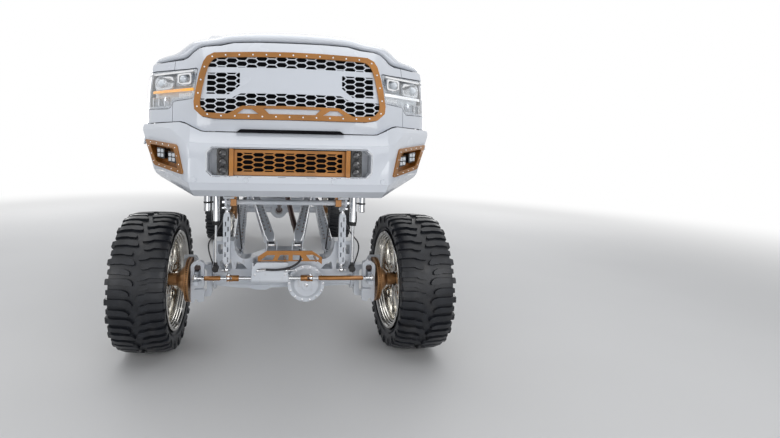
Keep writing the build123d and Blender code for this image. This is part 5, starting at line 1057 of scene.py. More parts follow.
class TRUCK_OT_front_bumper(bpy.types.Operator):
    """Builds the folded plate bumper with its mesh, lamps, copper blades and bezels"""

    bl_idname = "truck.front_bumper"
    bl_label = "Front bumper"

    def execute(self, context):
        half = bumper_rows()
        rows = [[spot(-x, y, z) for x, y, z in row] for row in half[:0:-1]]
        rows += [[spot(x, y, z) for x, y, z in row] for row in half]
        bm = bmesh.new()
        skin(bm, rows)
        bmesh.ops.recalc_face_normals(bm, faces=bm.faces)
        front = min(bm.faces, key=lambda f: (f.calc_center_median() - spot(0.1, -1.0, 1.6)).length)
        if front.normal.y > 0:
            bmesh.ops.reverse_faces(bm, faces=bm.faces)
        wall = shelled(bm, 0.008)
        cuts = slab(rounded(BUMPER_RECESS, 0.004, 2), -1.2, -0.70)
        for side in (1, -1):
            hole = self.bezel_outline(-0.010)
            plate(cuts, [self.out(p, side, 0.10) for p in hole], self.inwards(side, 0.22))
        wall = join_shapes(wall, cuts, "DIFFERENCE")
        piece("front_bumper_plate", wall, "pearl_white", "truck", ("front_bumper",), bevel=0.0025)
        self.recess()
        self.corner_lamps()
        self.valance()
        return {"FINISHED"}

    @staticmethod
    def out(place, side, lift):
        """A place on the wing's face, moved out from it."""
        x, z = place
        at = Vector((x, -1.5713 + WING_SLOPE * x - WING_LEAN * z, z))
        at += Vector((WING_SLOPE, -1, -WING_LEAN)).normalized() * (lift + 0.005)
        return spot(*on_side(at, side))

    @staticmethod
    def inwards(side, depth):
        normal = Vector((WING_SLOPE, -1, -WING_LEAN)).normalized() * -depth
        return on_side(normal, side)

    @staticmethod
    def bezel_outline(by=0.0):
        return rounded(grown([(0.640, 1.503), (0.868, 1.550), (0.943, 1.710), (0.685, 1.675)], by), 0.018, 4)

    def corner_lamps(self):
        bezel, dark, cubes, lens, rivets = bmesh.new(), bmesh.new(), bmesh.new(), bmesh.new(), bmesh.new()
        for side in (1, -1):
            hull, cut = bmesh.new(), bmesh.new()
            plate(hull, [self.out(p, side, 0.006) for p in self.bezel_outline(0.004)], self.inwards(side, 0.012))
            plate(cut, [self.out(p, side, 0.05) for p in self.bezel_outline(-0.022)], self.inwards(side, 0.10))
            take(bezel, join_shapes(hull, cut, "DIFFERENCE"))
            plate(dark, [self.out(p, side, -0.050) for p in self.bezel_outline(-0.010)], self.inwards(side, 0.006))
            hull, cut = bmesh.new(), bmesh.new()
            plate(hull, [self.out(p, side, -0.004) for p in self.bezel_outline(-0.008)], self.inwards(side, 0.060))
            plate(cut, [self.out(p, side, 0.05) for p in self.bezel_outline(-0.020)], self.inwards(side, 0.20))
            take(dark, join_shapes(hull, cut, "DIFFERENCE"))
            for x, z in ((0.732, 1.599), (0.826, 1.6245)):
                half = 0.033
                square = rounded([(x - half, z - half - 0.006), (x + half, z - half + 0.006), (x + half, z + half + 0.006),
                                  (x - half, z + half - 0.006)], 0.010, 3)
                plate(cubes, [self.out(p, side, -0.008) for p in square], self.inwards(side, 0.045))
                for dx, dz in ((-0.014, -0.014), (0.014, -0.012), (-0.014, 0.014), (0.014, 0.016)):
                    small = rounded([(x + dx - 0.011, z + dz - 0.011), (x + dx + 0.011, z + dz - 0.011),
                                     (x + dx + 0.011, z + dz + 0.011), (x + dx - 0.011, z + dz + 0.011)], 0.004, 2)
                    plate(lens, [self.out(p, side, -0.0055) for p in small], self.inwards(side, 0.004))
            ring = [Vector((x, 0, z)) for x, z in self.bezel_outline(-0.009)]
            ring.append(ring[0])
            for place in along_line(ring, 14):
                at = self.out((place.x, place.z), side, 0.006)
                way = -Vector(self.inwards(side, 1.0))
                rod(rivets, at - way * 0.001, at + way * 0.0025, 0.0042, 0.003, sides=10)
        piece("bumper_corner_bezels", bezel, "copper_paint", "truck", ("corner_bezels",), bevel=0.0015)
        piece("bumper_corner_pockets", dark, "copper_paint")
        piece("bumper_lamp_cubes", cubes, "gloss_black", "truck", ("bumper_lamps",), bevel=0.002)
        piece("bumper_lamp_lenses", lens, "lens_frost", bevel=0.001, segments=1)
        piece("bumper_bezel_rivets", rivets, "chrome")

    def recess(self):
        tray, copper, pods, lens, steel, heads = [bmesh.new() for _ in range(6)]
        hull = slab(rounded(grown(BUMPER_RECESS, -0.001), 0.004, 2), -0.990, -0.885)
        cut = slab(rounded(grown(BUMPER_RECESS, -0.007), 0.004, 2), -1.10, -0.893)
        hull = join_shapes(hull, cut, "DIFFERENCE")
        opening = slab([(-0.330, 1.512), (0.330, 1.512), (0.330, 1.645), (-0.330, 1.645)], -1.1, -0.8)
        take(tray, join_shapes(hull, opening, "DIFFERENCE"))
        piece("bumper_recess_tray", tray, "pearl_white", bevel=0.0015)
        frame_plate = slab([(-0.340, 1.498), (0.340, 1.498), (0.340, 1.655), (-0.340, 1.655)], -0.960, -0.950)
        field = slab([(-0.322, 1.522), (0.322, 1.522), (0.322, 1.636), (-0.322, 1.636)], -1.0, -0.9)
        holes = join_shapes(hex_prisms((0.0, 1.579), 10, 4, (0.0640, 0.0310), (0.0350, 0.0122), -0.98, -0.93), field, "INTERSECT")
        take(copper, join_shapes(frame_plate, holes, "DIFFERENCE"))
        for side in (1, -1):
            blade = rounded([(0.340 * side, 1.496), (0.366 * side, 1.496), (0.366 * side, 1.660), (0.340 * side, 1.660)], 0.003, 2)
            plate(copper, across(blade, -1.000), (0, 0.050, 0))
            pod = rounded([(0.372 * side, 1.494), (0.440 * side, 1.494), (0.440 * side, 1.662), (0.372 * side, 1.662)], 0.014, 3)
            plate(pods, across(pod, -0.985), (0, 0.075, 0))
            for z in (1.526, 1.578, 1.630):
                turned(pods, [(0, 0.018), (-0.006, 0.024), (-0.002, 0.026), (0.004, 0.026)], spot(0.406 * side, -0.986, z), (0, 1, 0), 24)
                turned(lens, [(-0.001, 0.001), (0.0, 0.012), (0.003, 0.020)], spot(0.406 * side, -0.988, z), (0, 1, 0), 24)
        piece("bumper_copper_mesh", copper, "copper_paint", "truck", ("bumper_mesh",), bevel=0.001, segments=1)
        piece("bumper_lamp_pods", pods, "gloss_black", bevel=0.0015)
        piece("bumper_pod_lenses", lens, "smoked_lens", angle=30)
        # Near-black sheet behind the copper mesh: painted shade of the recess behind it
        back = slab([(-0.345, 1.495), (0.345, 1.495), (0.345, 1.660), (-0.345, 1.660)], -0.925, -0.918)
        piece("bumper_mesh_shade_backing", back, "painted_shade_black")
        for x, z in ((0.570, 1.473), (-0.570, 1.473), (0.266, 1.470), (-0.266, 1.470)):
            turned(heads, [(0, 0.001), (0, 0.0095), (-0.002, 0.010), (-0.003, 0.0155), (0.002, 0.0165), (0.004, 0.0165)],
                   spot(x, -1.005, z), (0, 1, 0), 24)
        for side in (1, -1):
            low, high = sorted((0.385 * side, 0.475 * side))
            box(steel, spot(low, -0.940, 1.674), spot(high, -0.84, 1.735))
        piece("bumper_mounts", steel, "frame_black", bevel=0.001)
        piece("bumper_flush_bolts", heads, "pearl_white", angle=30)
        slot = slab([(-0.328, 1.7585), (-0.300, 1.7770), (0.300, 1.7770), (0.328, 1.7585)], -0.984, -0.930)
        piece("fascia_slot_shadow", slot, "painted_shade_black")

    @staticmethod
    def valance():
        bm = bmesh.new()
        rows = []
        for x in (-0.888, -0.75, -0.602, -0.30, 0.0, 0.30, 0.602, 0.75, 0.888):
            share = max(0.0, (abs(x) - 0.602) / 0.286)
            y = -1.002 + 0.312 * share
            foot = 0.085 - 0.02 * share
            top = 1.452 + 0.062 * min(1.0, share * 1.6)
            low = 1.364 + 0.100 * share
            rows.append([spot(x, y, top), spot(x * 0.985, y + 0.012, (top + low) / 2), spot(x * 0.97, y + foot, low),
                         spot(x * 0.97, y + 0.20, low), spot(x * 0.97, y + 0.20, low + 0.012), spot(x * 0.965, y + foot + 0.014, low + 0.014),
                         spot(x * 0.98, y + 0.026, (top + low) / 2), spot(x * 0.985, y + 0.014, top)])
        loft(bm, rows)
        piece("front_valance", bm, "pearl_white", bevel=0.0015)


# Wheels: each is drawn about its own centre, outboard along +X, then set at its corner

LUG_PAIRS = 24
CROWN = TYRE_RADIUS - 0.020
OUTER_END = TYRE_HALF - 0.001
LONG_OUTER_LUG = [
    (OUTER_END - 0.002, 0.027), (0.088, 0.027), (0.052, 0.024), (0.028, 0.015), (0.013, -0.002), (0.008, -0.020),
    (0.012, -0.030), (0.030, -0.031), (0.070, -0.027), (0.095, -0.021), (OUTER_END - 0.002, -0.021),
]
SHORT_OUTER_LUG = [
    (0.197, 0.022), (0.100, 0.022), (0.072, 0.019), (0.048, 0.008), (0.036, -0.008), (0.034, -0.024),
    (0.042, -0.031), (0.082, -0.027), (0.108, -0.020), (0.197, -0.020),
]
LONG_INNER_LUG = [
    (-0.204, 0.026), (-0.090, 0.026), (-0.062, 0.013), (-0.028, 0.009), (-0.014, -0.002), (-0.008, -0.022),
    (-0.010, -0.040), (-0.032, -0.041), (-0.064, -0.036), (-0.094, -0.023), (-0.204, -0.023),
]
SHORT_INNER_LUG = [
    (-0.198, 0.022), (-0.102, 0.022), (-0.076, 0.010), (-0.044, 0.006), (-0.034, -0.004), (-0.032, -0.034),
    (-0.050, -0.037), (-0.078, -0.033), (-0.106, -0.021), (-0.198, -0.021),
]
LUG_SHOULDERS = (0.185, 0.150, 0.100, 0.050, -0.050, -0.100, -0.150, -0.185)


def crown_drop(s):
    over = max(0.0, abs(s) - 0.150) / 0.065
    return 0.006 * (s / 0.15) ** 2 + 0.026 * over * over


def wrap_lug(bm, verts, turn):
    """Wraps points given as width, way round and height round the tyre's crown."""
    for vert in verts:
        s, t, h = vert.co
        radius = CROWN - crown_drop(s) + h
        angle = turn + t / TYRE_RADIUS
        vert.co = (s, -radius * cos(angle), radius * sin(angle))


def add_lug(bm, outline, turn, height=0.020, slits=()):
    """One tread lug with drafted sides, cut across so that it follows the crown."""
    lug = bmesh.new()
    verts = plate(lug, [(s, t, -0.006) for s, t in outline], (0, 0, height + 0.006))
    top = [v for v in verts if v.co.z > 0]
    centre_s = sum(v.co.x for v in top) / len(top)
    centre_t = sum(v.co.y for v in top) / len(top)
    for vert in top:
        vert.co.x -= 0.0022 if vert.co.x > centre_s else -0.0022
        vert.co.y -= 0.0022 if vert.co.y > centre_t else -0.0022
    for s in LUG_SHOULDERS:
        bmesh.ops.bisect_plane(lug, geom=lug.verts[:] + lug.edges[:] + lug.faces[:], dist=0.0001,
                               plane_co=(s, 0, 0), plane_no=(1, 0, 0))
    wrap_lug(lug, lug.verts, turn)
    mesh = bpy.data.meshes.new("lug")
    lug.to_mesh(mesh)
    lug.free()
    bm.from_mesh(mesh)
    bpy.data.meshes.remove(mesh)


def add_shoulder(bm, turn, side, reach, width, low):
    """Block that runs from the end of a lug down the sidewall."""
    edge = reach * side
    profile = [
        (edge * 0.86, -0.012), (edge * 0.97, -0.016), (edge, -0.030), (edge * 0.995, low * 0.7), (edge * 0.955, low),
        (edge * 0.86, low),
    ]
    block = bmesh.new()
    verts = plate(block, [(s, -width / 2, drop) for s, drop in profile], (0, width, 0))
    for vert in verts:
        s, t, drop = vert.co
        radius = TYRE_RADIUS - 0.006 + drop
        angle = turn + t / TYRE_RADIUS
        vert.co = (s, -radius * cos(angle), radius * sin(angle))
    mesh = bpy.data.meshes.new("block")
    block.to_mesh(mesh)
    block.free()
    bm.from_mesh(mesh)
    bpy.data.meshes.remove(mesh)


def set_corner(bm, side, y):
    """Moves a wheel part drawn about the origin to its corner of the truck."""
    fit = Matrix.Translation(spot(TRACK_X * side, y, TYRE_RADIUS))
    if side < 0:
        fit = fit @ Matrix.Diagonal((-1, 1, 1, 1))
    bm.transform(fit)
    return bm


def at_corners(name, drawn, material, node, **more):
    """Sets one drawn wheel part at all four corners, each on its own wheel."""
    source = bpy.data.meshes.new(name)
    drawn.to_mesh(source)
    drawn.free()
    for corner, side, y in CORNERS:
        bm = bmesh.new()
        bm.from_mesh(source)
        replaced = (f"{node}_{corner}",) if node else ()
        piece(f"{name}_{corner}", set_corner(bm, side, y), material, f"wheel_{corner}", replaced, **more)
    bpy.data.meshes.remove(source)


class TRUCK_OT_tyres(bpy.types.Operator):
    """Builds the four mud tyres with their hooked lugs and shoulder blocks"""

    bl_idname = "truck.tyres"
    bl_label = "Mud tyres"

    def execute(self, context):
        wall = bmesh.new()
        half = [
            (0.158, 0.408), (0.172, 0.414), (0.180, 0.428), (0.191, 0.452), (0.196, 0.470), (0.199, 0.490),
            (0.197, 0.512), (0.190, TYRE_RADIUS - 0.036), (0.172, CROWN - 0.012), (0.150, CROWN - 0.007),
            (0.10, CROWN - 0.0025), (0.05, CROWN - 0.0007),
        ]
        outline = half + [(0.0, CROWN)] + [(-s, r) for s, r in half[::-1]]
        outline += [(-0.150, 0.404), (0.150, 0.404)]
        lathe(wall, outline, (0, 0, 0), 96, closed=True)
        at_corners("tyre_carcass", wall, "tyre_rubber", None, angle=40)
        tread = bmesh.new()
        step = 2 * pi / LUG_PAIRS
        for pair in range(LUG_PAIRS):
            turn = pair * step
            add_lug(tread, LONG_OUTER_LUG, turn)
            add_lug(tread, SHORT_OUTER_LUG, turn + step * 0.5, 0.019)
            add_lug(tread, LONG_INNER_LUG, turn + step * 0.32)
            add_lug(tread, SHORT_INNER_LUG, turn + step * 0.82, 0.019)
            add_shoulder(tread, turn, 1, OUTER_END, 0.040, -0.085)
            add_shoulder(tread, turn + step * 0.5, 1, 0.2035, 0.034, -0.062)
            add_shoulder(tread, turn + step * 0.32, -1, OUTER_END - 0.004, 0.040, -0.080)
            add_shoulder(tread, turn + step * 0.82, -1, 0.2035, 0.034, -0.060)
        for side in (1, -1):
            for radius, half_width in ((0.438, 0.187), (0.447, 0.1905)):
                lathe(tread, [(half_width * side, radius - 0.002), ((half_width + 0.004) * side, radius),
                              (half_width * side, radius + 0.002), ((half_width - 0.004) * side, radius)],
                      (0, 0, 0), 72, closed=True)
        at_corners("tyre_tread", tread, "tyre_rubber", "tyre", bevel=0.0022, segments=1)
        return {"FINISHED"}


class TRUCK_OT_rims(bpy.types.Operator):
    """Builds the deep polished rims with their spoked faces and bolted lips"""

    bl_idname = "truck.rims"
    bl_label = "Polished rims"

    def execute(self, context):
        barrel = bmesh.new()
        outline = [
            (-0.172, 0.404), (-0.188, 0.409), (-0.192, 0.404), (-0.190, 0.390), (-0.182, 0.384), (-0.168, 0.381),
            (-0.164, 0.374), (-0.150, 0.371), (-0.146, 0.362), (-0.132, 0.359), (-0.128, 0.350), (-0.100, 0.347),
            (-0.060, 0.347), (-0.040, 0.352), (0.060, 0.358), (0.110, 0.364), (0.150, 0.372), (0.168, 0.378),
            (0.176, 0.384), (0.190, 0.388), (0.194, 0.400), (0.190, 0.409), (0.174, 0.404), (0.165, 0.392),
            (0.060, 0.370), (-0.060, 0.360), (-0.150, 0.384), (-0.165, 0.394),
        ]
        lathe(barrel, outline, (0, 0, 0), 96, closed=True)
        at_corners("rim_barrel", barrel, "polished_rim", "rim", angle=24)
        at_corners("rim_face", self.face(), "polished_rim", None, bevel=0.003)
        at_corners("rim_fasteners", self.fasteners(), "chrome", None, bevel=0.0008, segments=1)
        return {"FINISHED"}

    @staticmethod
    def face():
        """Dished disc with ten windows between twin spokes, and a raised hub."""
        middle_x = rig.box("rotor_fl")[1].x - TRACK_X
        disc = bmesh.new()
        lathe(disc, [(middle_x, 0.062), (middle_x, 0.350), (middle_x + 0.030, 0.350), (middle_x + 0.030, 0.062)],
              (0, 0, 0), 120, closed=True)
        windows = bmesh.new()
        for index in range(10):
            turn = Matrix.Rotation(2 * pi * index / 10, 4, "X")
            big = rounded([(0.150, -0.012), (0.325, -0.062), (0.338, -0.030), (0.338, 0.030), (0.325, 0.062), (0.150, 0.012)], 0.014, 3)
            small = rounded([(0.250, -0.008), (0.330, -0.014), (0.330, 0.014), (0.250, 0.008)], 0.006, 3)
            for outline, shift in ((big, 0.0), (small, pi / 10)):
                spin = Matrix.Rotation(2 * pi * index / 10 + shift, 4, "X")
                verts = plate(windows, [(middle_x - 0.02, y, z) for z, y in outline], (0.08, 0, 0))
                bmesh.ops.transform(windows, matrix=spin, verts=verts)
        made = join_shapes(disc, windows, "DIFFERENCE")
        for vert in made.verts:
            radius = sqrt(vert.co.y ** 2 + vert.co.z ** 2)
            vert.co.x += 0.045 * (radius / 0.35) ** 2 - 0.005
        lathe(made, [(middle_x - 0.004, 0.118), (middle_x + 0.034, 0.112), (middle_x + 0.046, 0.098),
                     (middle_x + 0.046, 0.050), (middle_x + 0.070, 0.046), (middle_x + 0.085, 0.030), (middle_x + 0.090, 0.001)],
              (0, 0, 0), 60)
        return made

    @staticmethod
    def fasteners():
        """Wheel nuts and the ring of bolts round the outer lip."""
        middle_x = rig.box("rotor_fl")[1].x - TRACK_X
        bm = bmesh.new()
        for index in range(8):
            a = 2 * pi * index / 8
            place = Vector((middle_x + 0.046, cos(a) * 0.076, sin(a) * 0.076))
            rod(bm, place, place + Vector((0.026, 0, 0)), 0.0125, 0.0105, sides=6)
        for index in range(40):
            a = 2 * pi * index / 40
            place = Vector((0.140, cos(a) * 0.3665, sin(a) * 0.3665))
            inward = Vector((0.1, -cos(a), -sin(a))).normalized()
            rod(bm, place, place + inward * 0.009, 0.0065, 0.0055, sides=6)
        return bm


class TRUCK_OT_rotors(bpy.types.Operator):
    """Builds the copper brake rotors with their vented edges and hub bells"""

    bl_idname = "truck.rotors"
    bl_label = "Brake rotors"

    def execute(self, context):
        low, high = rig.box("rotor_fl")
        at = low.x - TRACK_X
        far = high.x - TRACK_X
        big = (high.z - low.z) / 2
        disc = bmesh.new()
        outline = [
            (at, 0.095), (at, big - 0.004), (at + 0.003, big), (at + 0.010, big), (at + 0.012, big - 0.006),
            (at + 0.024, big - 0.006), (at + 0.026, big), (at + 0.033, big), (at + 0.036, big - 0.004),
            (at + 0.036, 0.114), (at + 0.044, 0.112), (at + 0.070, 0.102), (at + 0.094, 0.080), (at + 0.118, 0.054),
            (far, 0.050), (far, 0.030),
            (at, 0.030),
        ]
        lathe(disc, outline, (0, 0, 0), 84, closed=True)
        at_corners("rotor_disc", disc, "rotor_steel", "rotor", bevel=0.0006, segments=1)
        # Vent slots and drilled holes are near-black rods: painted shade standing in for the openings
        vents = bmesh.new()
        for index in range(64):
            a = 2 * pi * index / 64
            inner, outer = big - 0.020, big - 0.0052
            rod(vents, (at + 0.018, cos(a) * inner, sin(a) * inner), (at + 0.018, cos(a) * outer, sin(a) * outer),
                0.0045, sides=8)
        for ring, count, shift in ((0.160, 24, 0.0), (0.138, 24, 0.5)):
            for index in range(count):
                a = 2 * pi * (index + shift) / count
                rod(vents, (at - 0.0006, cos(a) * ring, sin(a) * ring), (at + 0.0366, cos(a) * ring, sin(a) * ring),
                    0.0048, sides=8)
        at_corners("rotor_vents", vents, "painted_shade_black", None, slot="dark_iron")
        return {"FINISHED"}


# Chassis

AXLE_Z = TYRE_RADIUS
DIFF_X = 0.180
STEER_Y, STEER_Z = -0.200, 0.632
RAM_X = -0.118


def turned(bm, profile, centre, direction, steps=40):
    """Profile of (distance, radius) pairs turned about a line through centre."""
    part = bmesh.new()
    lathe(part, profile, (0, 0, 0), steps)
    turn = Vector(direction).to_track_quat("X", "Z").to_matrix().to_4x4()
    part.transform(Matrix.Translation(Vector(centre)) @ turn)
    take(bm, part)


def take(bm, part):
    """Adds a finished part to a bmesh."""
    bmesh.ops.recalc_face_normals(part, faces=part.faces)
    mesh = bpy.data.meshes.new("part")
    part.to_mesh(mesh)
    part.free()
    bm.from_mesh(mesh)
    bpy.data.meshes.remove(mesh)


def slotted_beam(length, wide, tall, neck, pitch=0.105):
    """Hollow-looking box beam along X with slots in its top and triangles in its sides."""
    beam = bmesh.new()
    rows = []
    for x, share in ((0.035, neck), (0.16, 1.0), (length - 0.16, 1.0), (length - 0.035, neck)):
        w, h = wide * share / 2, tall * share / 2
        cut = 0.006
        rows.append([(x, -w + cut, -h), (x, w - cut, -h), (x, w, -h + cut), (x, w, h - cut), (x, w - cut, h),
                     (x, -w + cut, h), (x, -w, h - cut), (x, -w, -h + cut)])
    loft(beam, rows)
    cuts = bmesh.new()
    count = int((length - 0.36) / pitch)
    start = (length - count * pitch) / 2
    for index in range(count):
        x = start + (index + 0.5) * pitch
        for y, shift in ((-wide * 0.24, -0.25), (wide * 0.24, 0.25)):
            slot = rounded([(x - 0.030, y - wide * 0.085), (x + 0.030, y - wide * 0.085), (x + 0.030, y + wide * 0.085),
                            (x - 0.030, y + wide * 0.085)], wide * 0.08, 3)
            plate(cuts, [(px + shift * pitch, py, -tall) for px, py in slot], (0, 0, tall * 2))
        flip = 1 if index % 2 else -1
        corner = rounded([(x - 0.044, -0.026 * flip), (x + 0.044, -0.026 * flip), (x, 0.026 * flip)], 0.008, 2)
        plate(cuts, [(px, -wide, pz) for px, pz in corner], (0, wide * 2, 0))
    return join_shapes(beam, cuts, "DIFFERENCE")


def aim_beam(part, start, end):
    """Sets a beam drawn along X between two places, its top upwards."""
    start, end = Vector(start), Vector(end)
    ahead = (end - start).normalized()
    left = Vector((0, 0, 1)).cross(ahead).normalized()
    up = ahead.cross(left)
    turn = Matrix((ahead, left, up)).transposed().to_4x4()
    part.transform(Matrix.Translation(start) @ turn)
    return part


def bolt(bm, place, direction, radius=0.009, long=0.010):
    place, direction = Vector(place), Vector(direction).normalized()
    rod(bm, place - direction * 0.003, place + direction * long * 0.3, radius * 1.35, sides=14)
    rod(bm, place, place + direction * long, radius, radius * 0.92, sides=6)


TRUSS_TOP = [
    (0.0, 0.826), (0.095, 0.826), (0.150, 0.812), (0.205, 0.790), (0.270, 0.768), (0.320, 0.758), (0.355, 0.764),
    (0.385, 0.788), (0.405, 0.826), (0.413, 0.870), (0.416, 0.908), (0.585, 0.908), (0.585, 0.700), (0.560, 0.630),
    (0.470, 0.612), (0.0, 0.612),
]
TOWER_WINDOW = [(0.475, 0.800), (0.545, 0.800), (0.545, 0.880), (0.475, 0.880)]
LOW_WINDOW = [(0.300, 0.672), (0.405, 0.672), (0.392, 0.738), (0.345, 0.716)]
SMALL_WINDOW = [(0.430, 0.672), (0.530, 0.690), (0.530, 0.742), (0.440, 0.760)]


def truss(y, side_depth=0.085):
    """Hollow fabricated bridge over an axle, with windows in its front and rear plates."""
    outer = full_width(TRUSS_TOP)
    hull = bmesh.new()
    plate(hull, across(outer, y - side_depth), (0, side_depth * 2, 0))
    core = bmesh.new()
    plate(core, across(grown(outer, -0.009), y - side_depth + 0.008), (0, side_depth * 2 - 0.016, 0))
    made = join_shapes(hull, core, "DIFFERENCE")
    cuts = bmesh.new()
    for window in (TOWER_WINDOW, LOW_WINDOW, SMALL_WINDOW):
        for side in (1, -1):
            outline = rounded([(x * side, z) for x, z in window], 0.010, 3)
            plate(cuts, across(outline, y - 0.2), (0, 0.4, 0))
    return join_shapes(made, cuts, "DIFFERENCE")


class TRUCK_OT_axles(bpy.types.Operator):
    """Builds both axle housings with their covers, trusses, forks and the copper brace"""

    bl_idname = "truck.axles"
    bl_label = "Axles and trusses"

    def execute(self, context):
        self.front()
        self.rear()
        piece("front_truss", truss(0.0), "suspension_white", "truck", ("axle_truss",), bevel=0.002)
        brace = bmesh.new()
        plate(brace, across([(-0.216, 0.776), (-0.216, 0.812), (-0.144, 0.860), (0.216, 0.860), (0.297, 0.806),
                             (0.296, 0.752), (0.262, 0.776)], -0.228), (0, 0.012, 0))
        cuts = bmesh.new()
        for window in (
            [(-0.194, 0.784), (-0.144, 0.824), (-0.078, 0.827), (-0.098, 0.784)],
            [(-0.061, 0.784), (-0.039, 0.827), (0.0275, 0.827), (0.0275, 0.784)],
            [(0.061, 0.784), (0.061, 0.827), (0.122, 0.824), (0.146, 0.784)],
            [(0.166, 0.827), (0.232, 0.827), (0.274, 0.800), (0.271, 0.784), (0.199, 0.786)],
        ):
            plate(cuts, across(rounded(window, 0.006, 3), -0.25), (0, 0.06, 0))
        made = join_shapes(brace, cuts, "DIFFERENCE")
        for x in (-0.20, 0.0, 0.25):
            rod(made, spot(x, -0.218, 0.778), spot(x, -0.070, 0.778), 0.010, sides=14)
        piece("copper_axle_brace", made, "copper_paint", "truck", ("truss_brace",), bevel=0.0016)
        return {"FINISHED"}

    @staticmethod
    def front():
        bm = bmesh.new()
        rod(bm, spot(-0.61, 0, AXLE_Z), spot(0.61, 0, AXLE_Z), 0.052, sides=32)
        turned(bm, [(-0.170, 0.001), (-0.170, 0.040), (-0.163, 0.052), (-0.160, 0.096), (-0.142, 0.116), (-0.130, 0.124),
                    (-0.128, 0.154), (-0.114, 0.154), (-0.110, 0.146), (-0.03, 0.146), (0.05, 0.128), (0.10, 0.090),
                    (0.14, 0.066), (0.14, 0.001)], spot(DIFF_X, 0, AXLE_Z), (0, 1, 0), 56)
        rod(bm, spot(DIFF_X, 0.10, AXLE_Z + 0.02), spot(DIFF_X, 0.30, AXLE_Z + 0.07), 0.066, 0.052, sides=28)
        for index in range(12):
            a = 2 * pi * (index + 0.5) / 12
            inner = spot(DIFF_X + cos(a) * 0.050, -0.158, AXLE_Z + sin(a) * 0.050)
            outer = spot(DIFF_X + cos(a) * 0.120, -0.135, AXLE_Z + sin(a) * 0.120)
            rod(bm, inner, outer, 0.0055, sides=8)
        belly = [(-0.600, 0.565), (-0.560, 0.520), (-0.380, 0.500), (-0.300, 0.500), (-0.235, 0.482), (-0.150, 0.482),
                 (-0.110, 0.500), (0.060, 0.505), (0.060, 0.565)]
        plate(bm, across(belly, -0.034), (0, 0.068, 0))
        plate(bm, across([(0.300, 0.560), (0.320, 0.512), (0.540, 0.520), (0.590, 0.560)], -0.034), (0, 0.068, 0))
        for side in (1, -1):
            fork = [(0.600, 0.470), (0.606, 0.436), (0.640, 0.430), (0.700, 0.428), (0.728, 0.440), (0.728, 0.464),
                    (0.700, 0.466), (0.654, 0.468), (0.640, 0.486), (0.640, 0.644), (0.654, 0.662), (0.700, 0.664),
                    (0.728, 0.667), (0.728, 0.690), (0.700, 0.702), (0.640, 0.700), (0.606, 0.694), (0.600, 0.660)]
            plate(bm, across([(x * side, z) for x, z in fork], -0.042), (0, 0.084, 0))
            for z, far in ((0.700, 0.720), (0.430, 0.410)):
                rod(bm, spot(0.70 * side, 0, z - 0.004), spot(0.70 * side, 0, far), 0.030, 0.024, sides=20)
            turned(bm, [(0, 0.056), (0.0, 0.076), (0.016, 0.076), (0.016, 0.056)], spot(0.565 * side, 0, AXLE_Z),
                   (side, 0, 0), 36)
        piece("front_axle_housing", bm, "suspension_white", "truck", ("front_axle",), bevel=0.0025)
        bolts = bmesh.new()
        for index in range(14):
            a = 2 * pi * index / 14
            bolt(bolts, spot(DIFF_X + cos(a) * 0.140, -0.128, AXLE_Z + sin(a) * 0.140), (0, -1, 0), 0.007)
        for side in (1, -1):
            for index in range(6):
                a = 2 * pi * index / 6
                bolt(bolts, spot(0.581 * side, cos(a) * 0.066, AXLE_Z + sin(a) * 0.066), (side, 0, 0), 0.006)
            for x in (0.150, 0.085):
                bolt(bolts, spot(x * side, -0.086, 0.800 if x > 0.1 else 0.812), (0, -1, 0), 0.010, 0.014)
        bolt(bolts, spot(DIFF_X, -0.170, AXLE_Z), (0, -1, 0), 0.011, 0.012)
        piece("front_axle_bolts", bolts, "chrome", bevel=0.0006, segments=1)

    @staticmethod
    def rear():
        y = WHEELBASE
        bm = bmesh.new()
        rod(bm, spot(-0.772, y, AXLE_Z), spot(0.772, y, AXLE_Z), 0.056, sides=32)
        turned(bm, [(-0.330, 0.001), (-0.330, 0.052), (-0.20, 0.064), (-0.13, 0.085), (-0.10, 0.130), (-0.05, 0.156),
                    (0.05, 0.160), (0.108, 0.160), (0.112, 0.168), (0.126, 0.168), (0.128, 0.136), (0.145, 0.120),
                    (0.160, 0.090), (0.164, 0.040), (0.164, 0.001)], spot(0, y, AXLE_Z), (0, 1, 0), 56)
        for side in (1, -1):
            turned(bm, [(0, 0.054), (0.0, 0.085), (0.018, 0.085), (0.018, 0.054)], spot(0.745 * side, y, AXLE_Z),
                   (side, 0, 0), 36)
        piece("rear_axle_housing", bm, "suspension_white", "truck", ("rear_axle",), bevel=0.002)
        bolts = bmesh.new()
        for index in range(14):
            a = 2 * pi * index / 14
            bolt(bolts, spot(cos(a) * 0.152, y + 0.126, AXLE_Z + sin(a) * 0.152), (0, 1, 0), 0.007)
        piece("rear_axle_bolts", bolts, "chrome", bevel=0.0006, segments=1)
        piece("rear_truss", truss(WHEELBASE), "suspension_white", "truck", bevel=0.002)


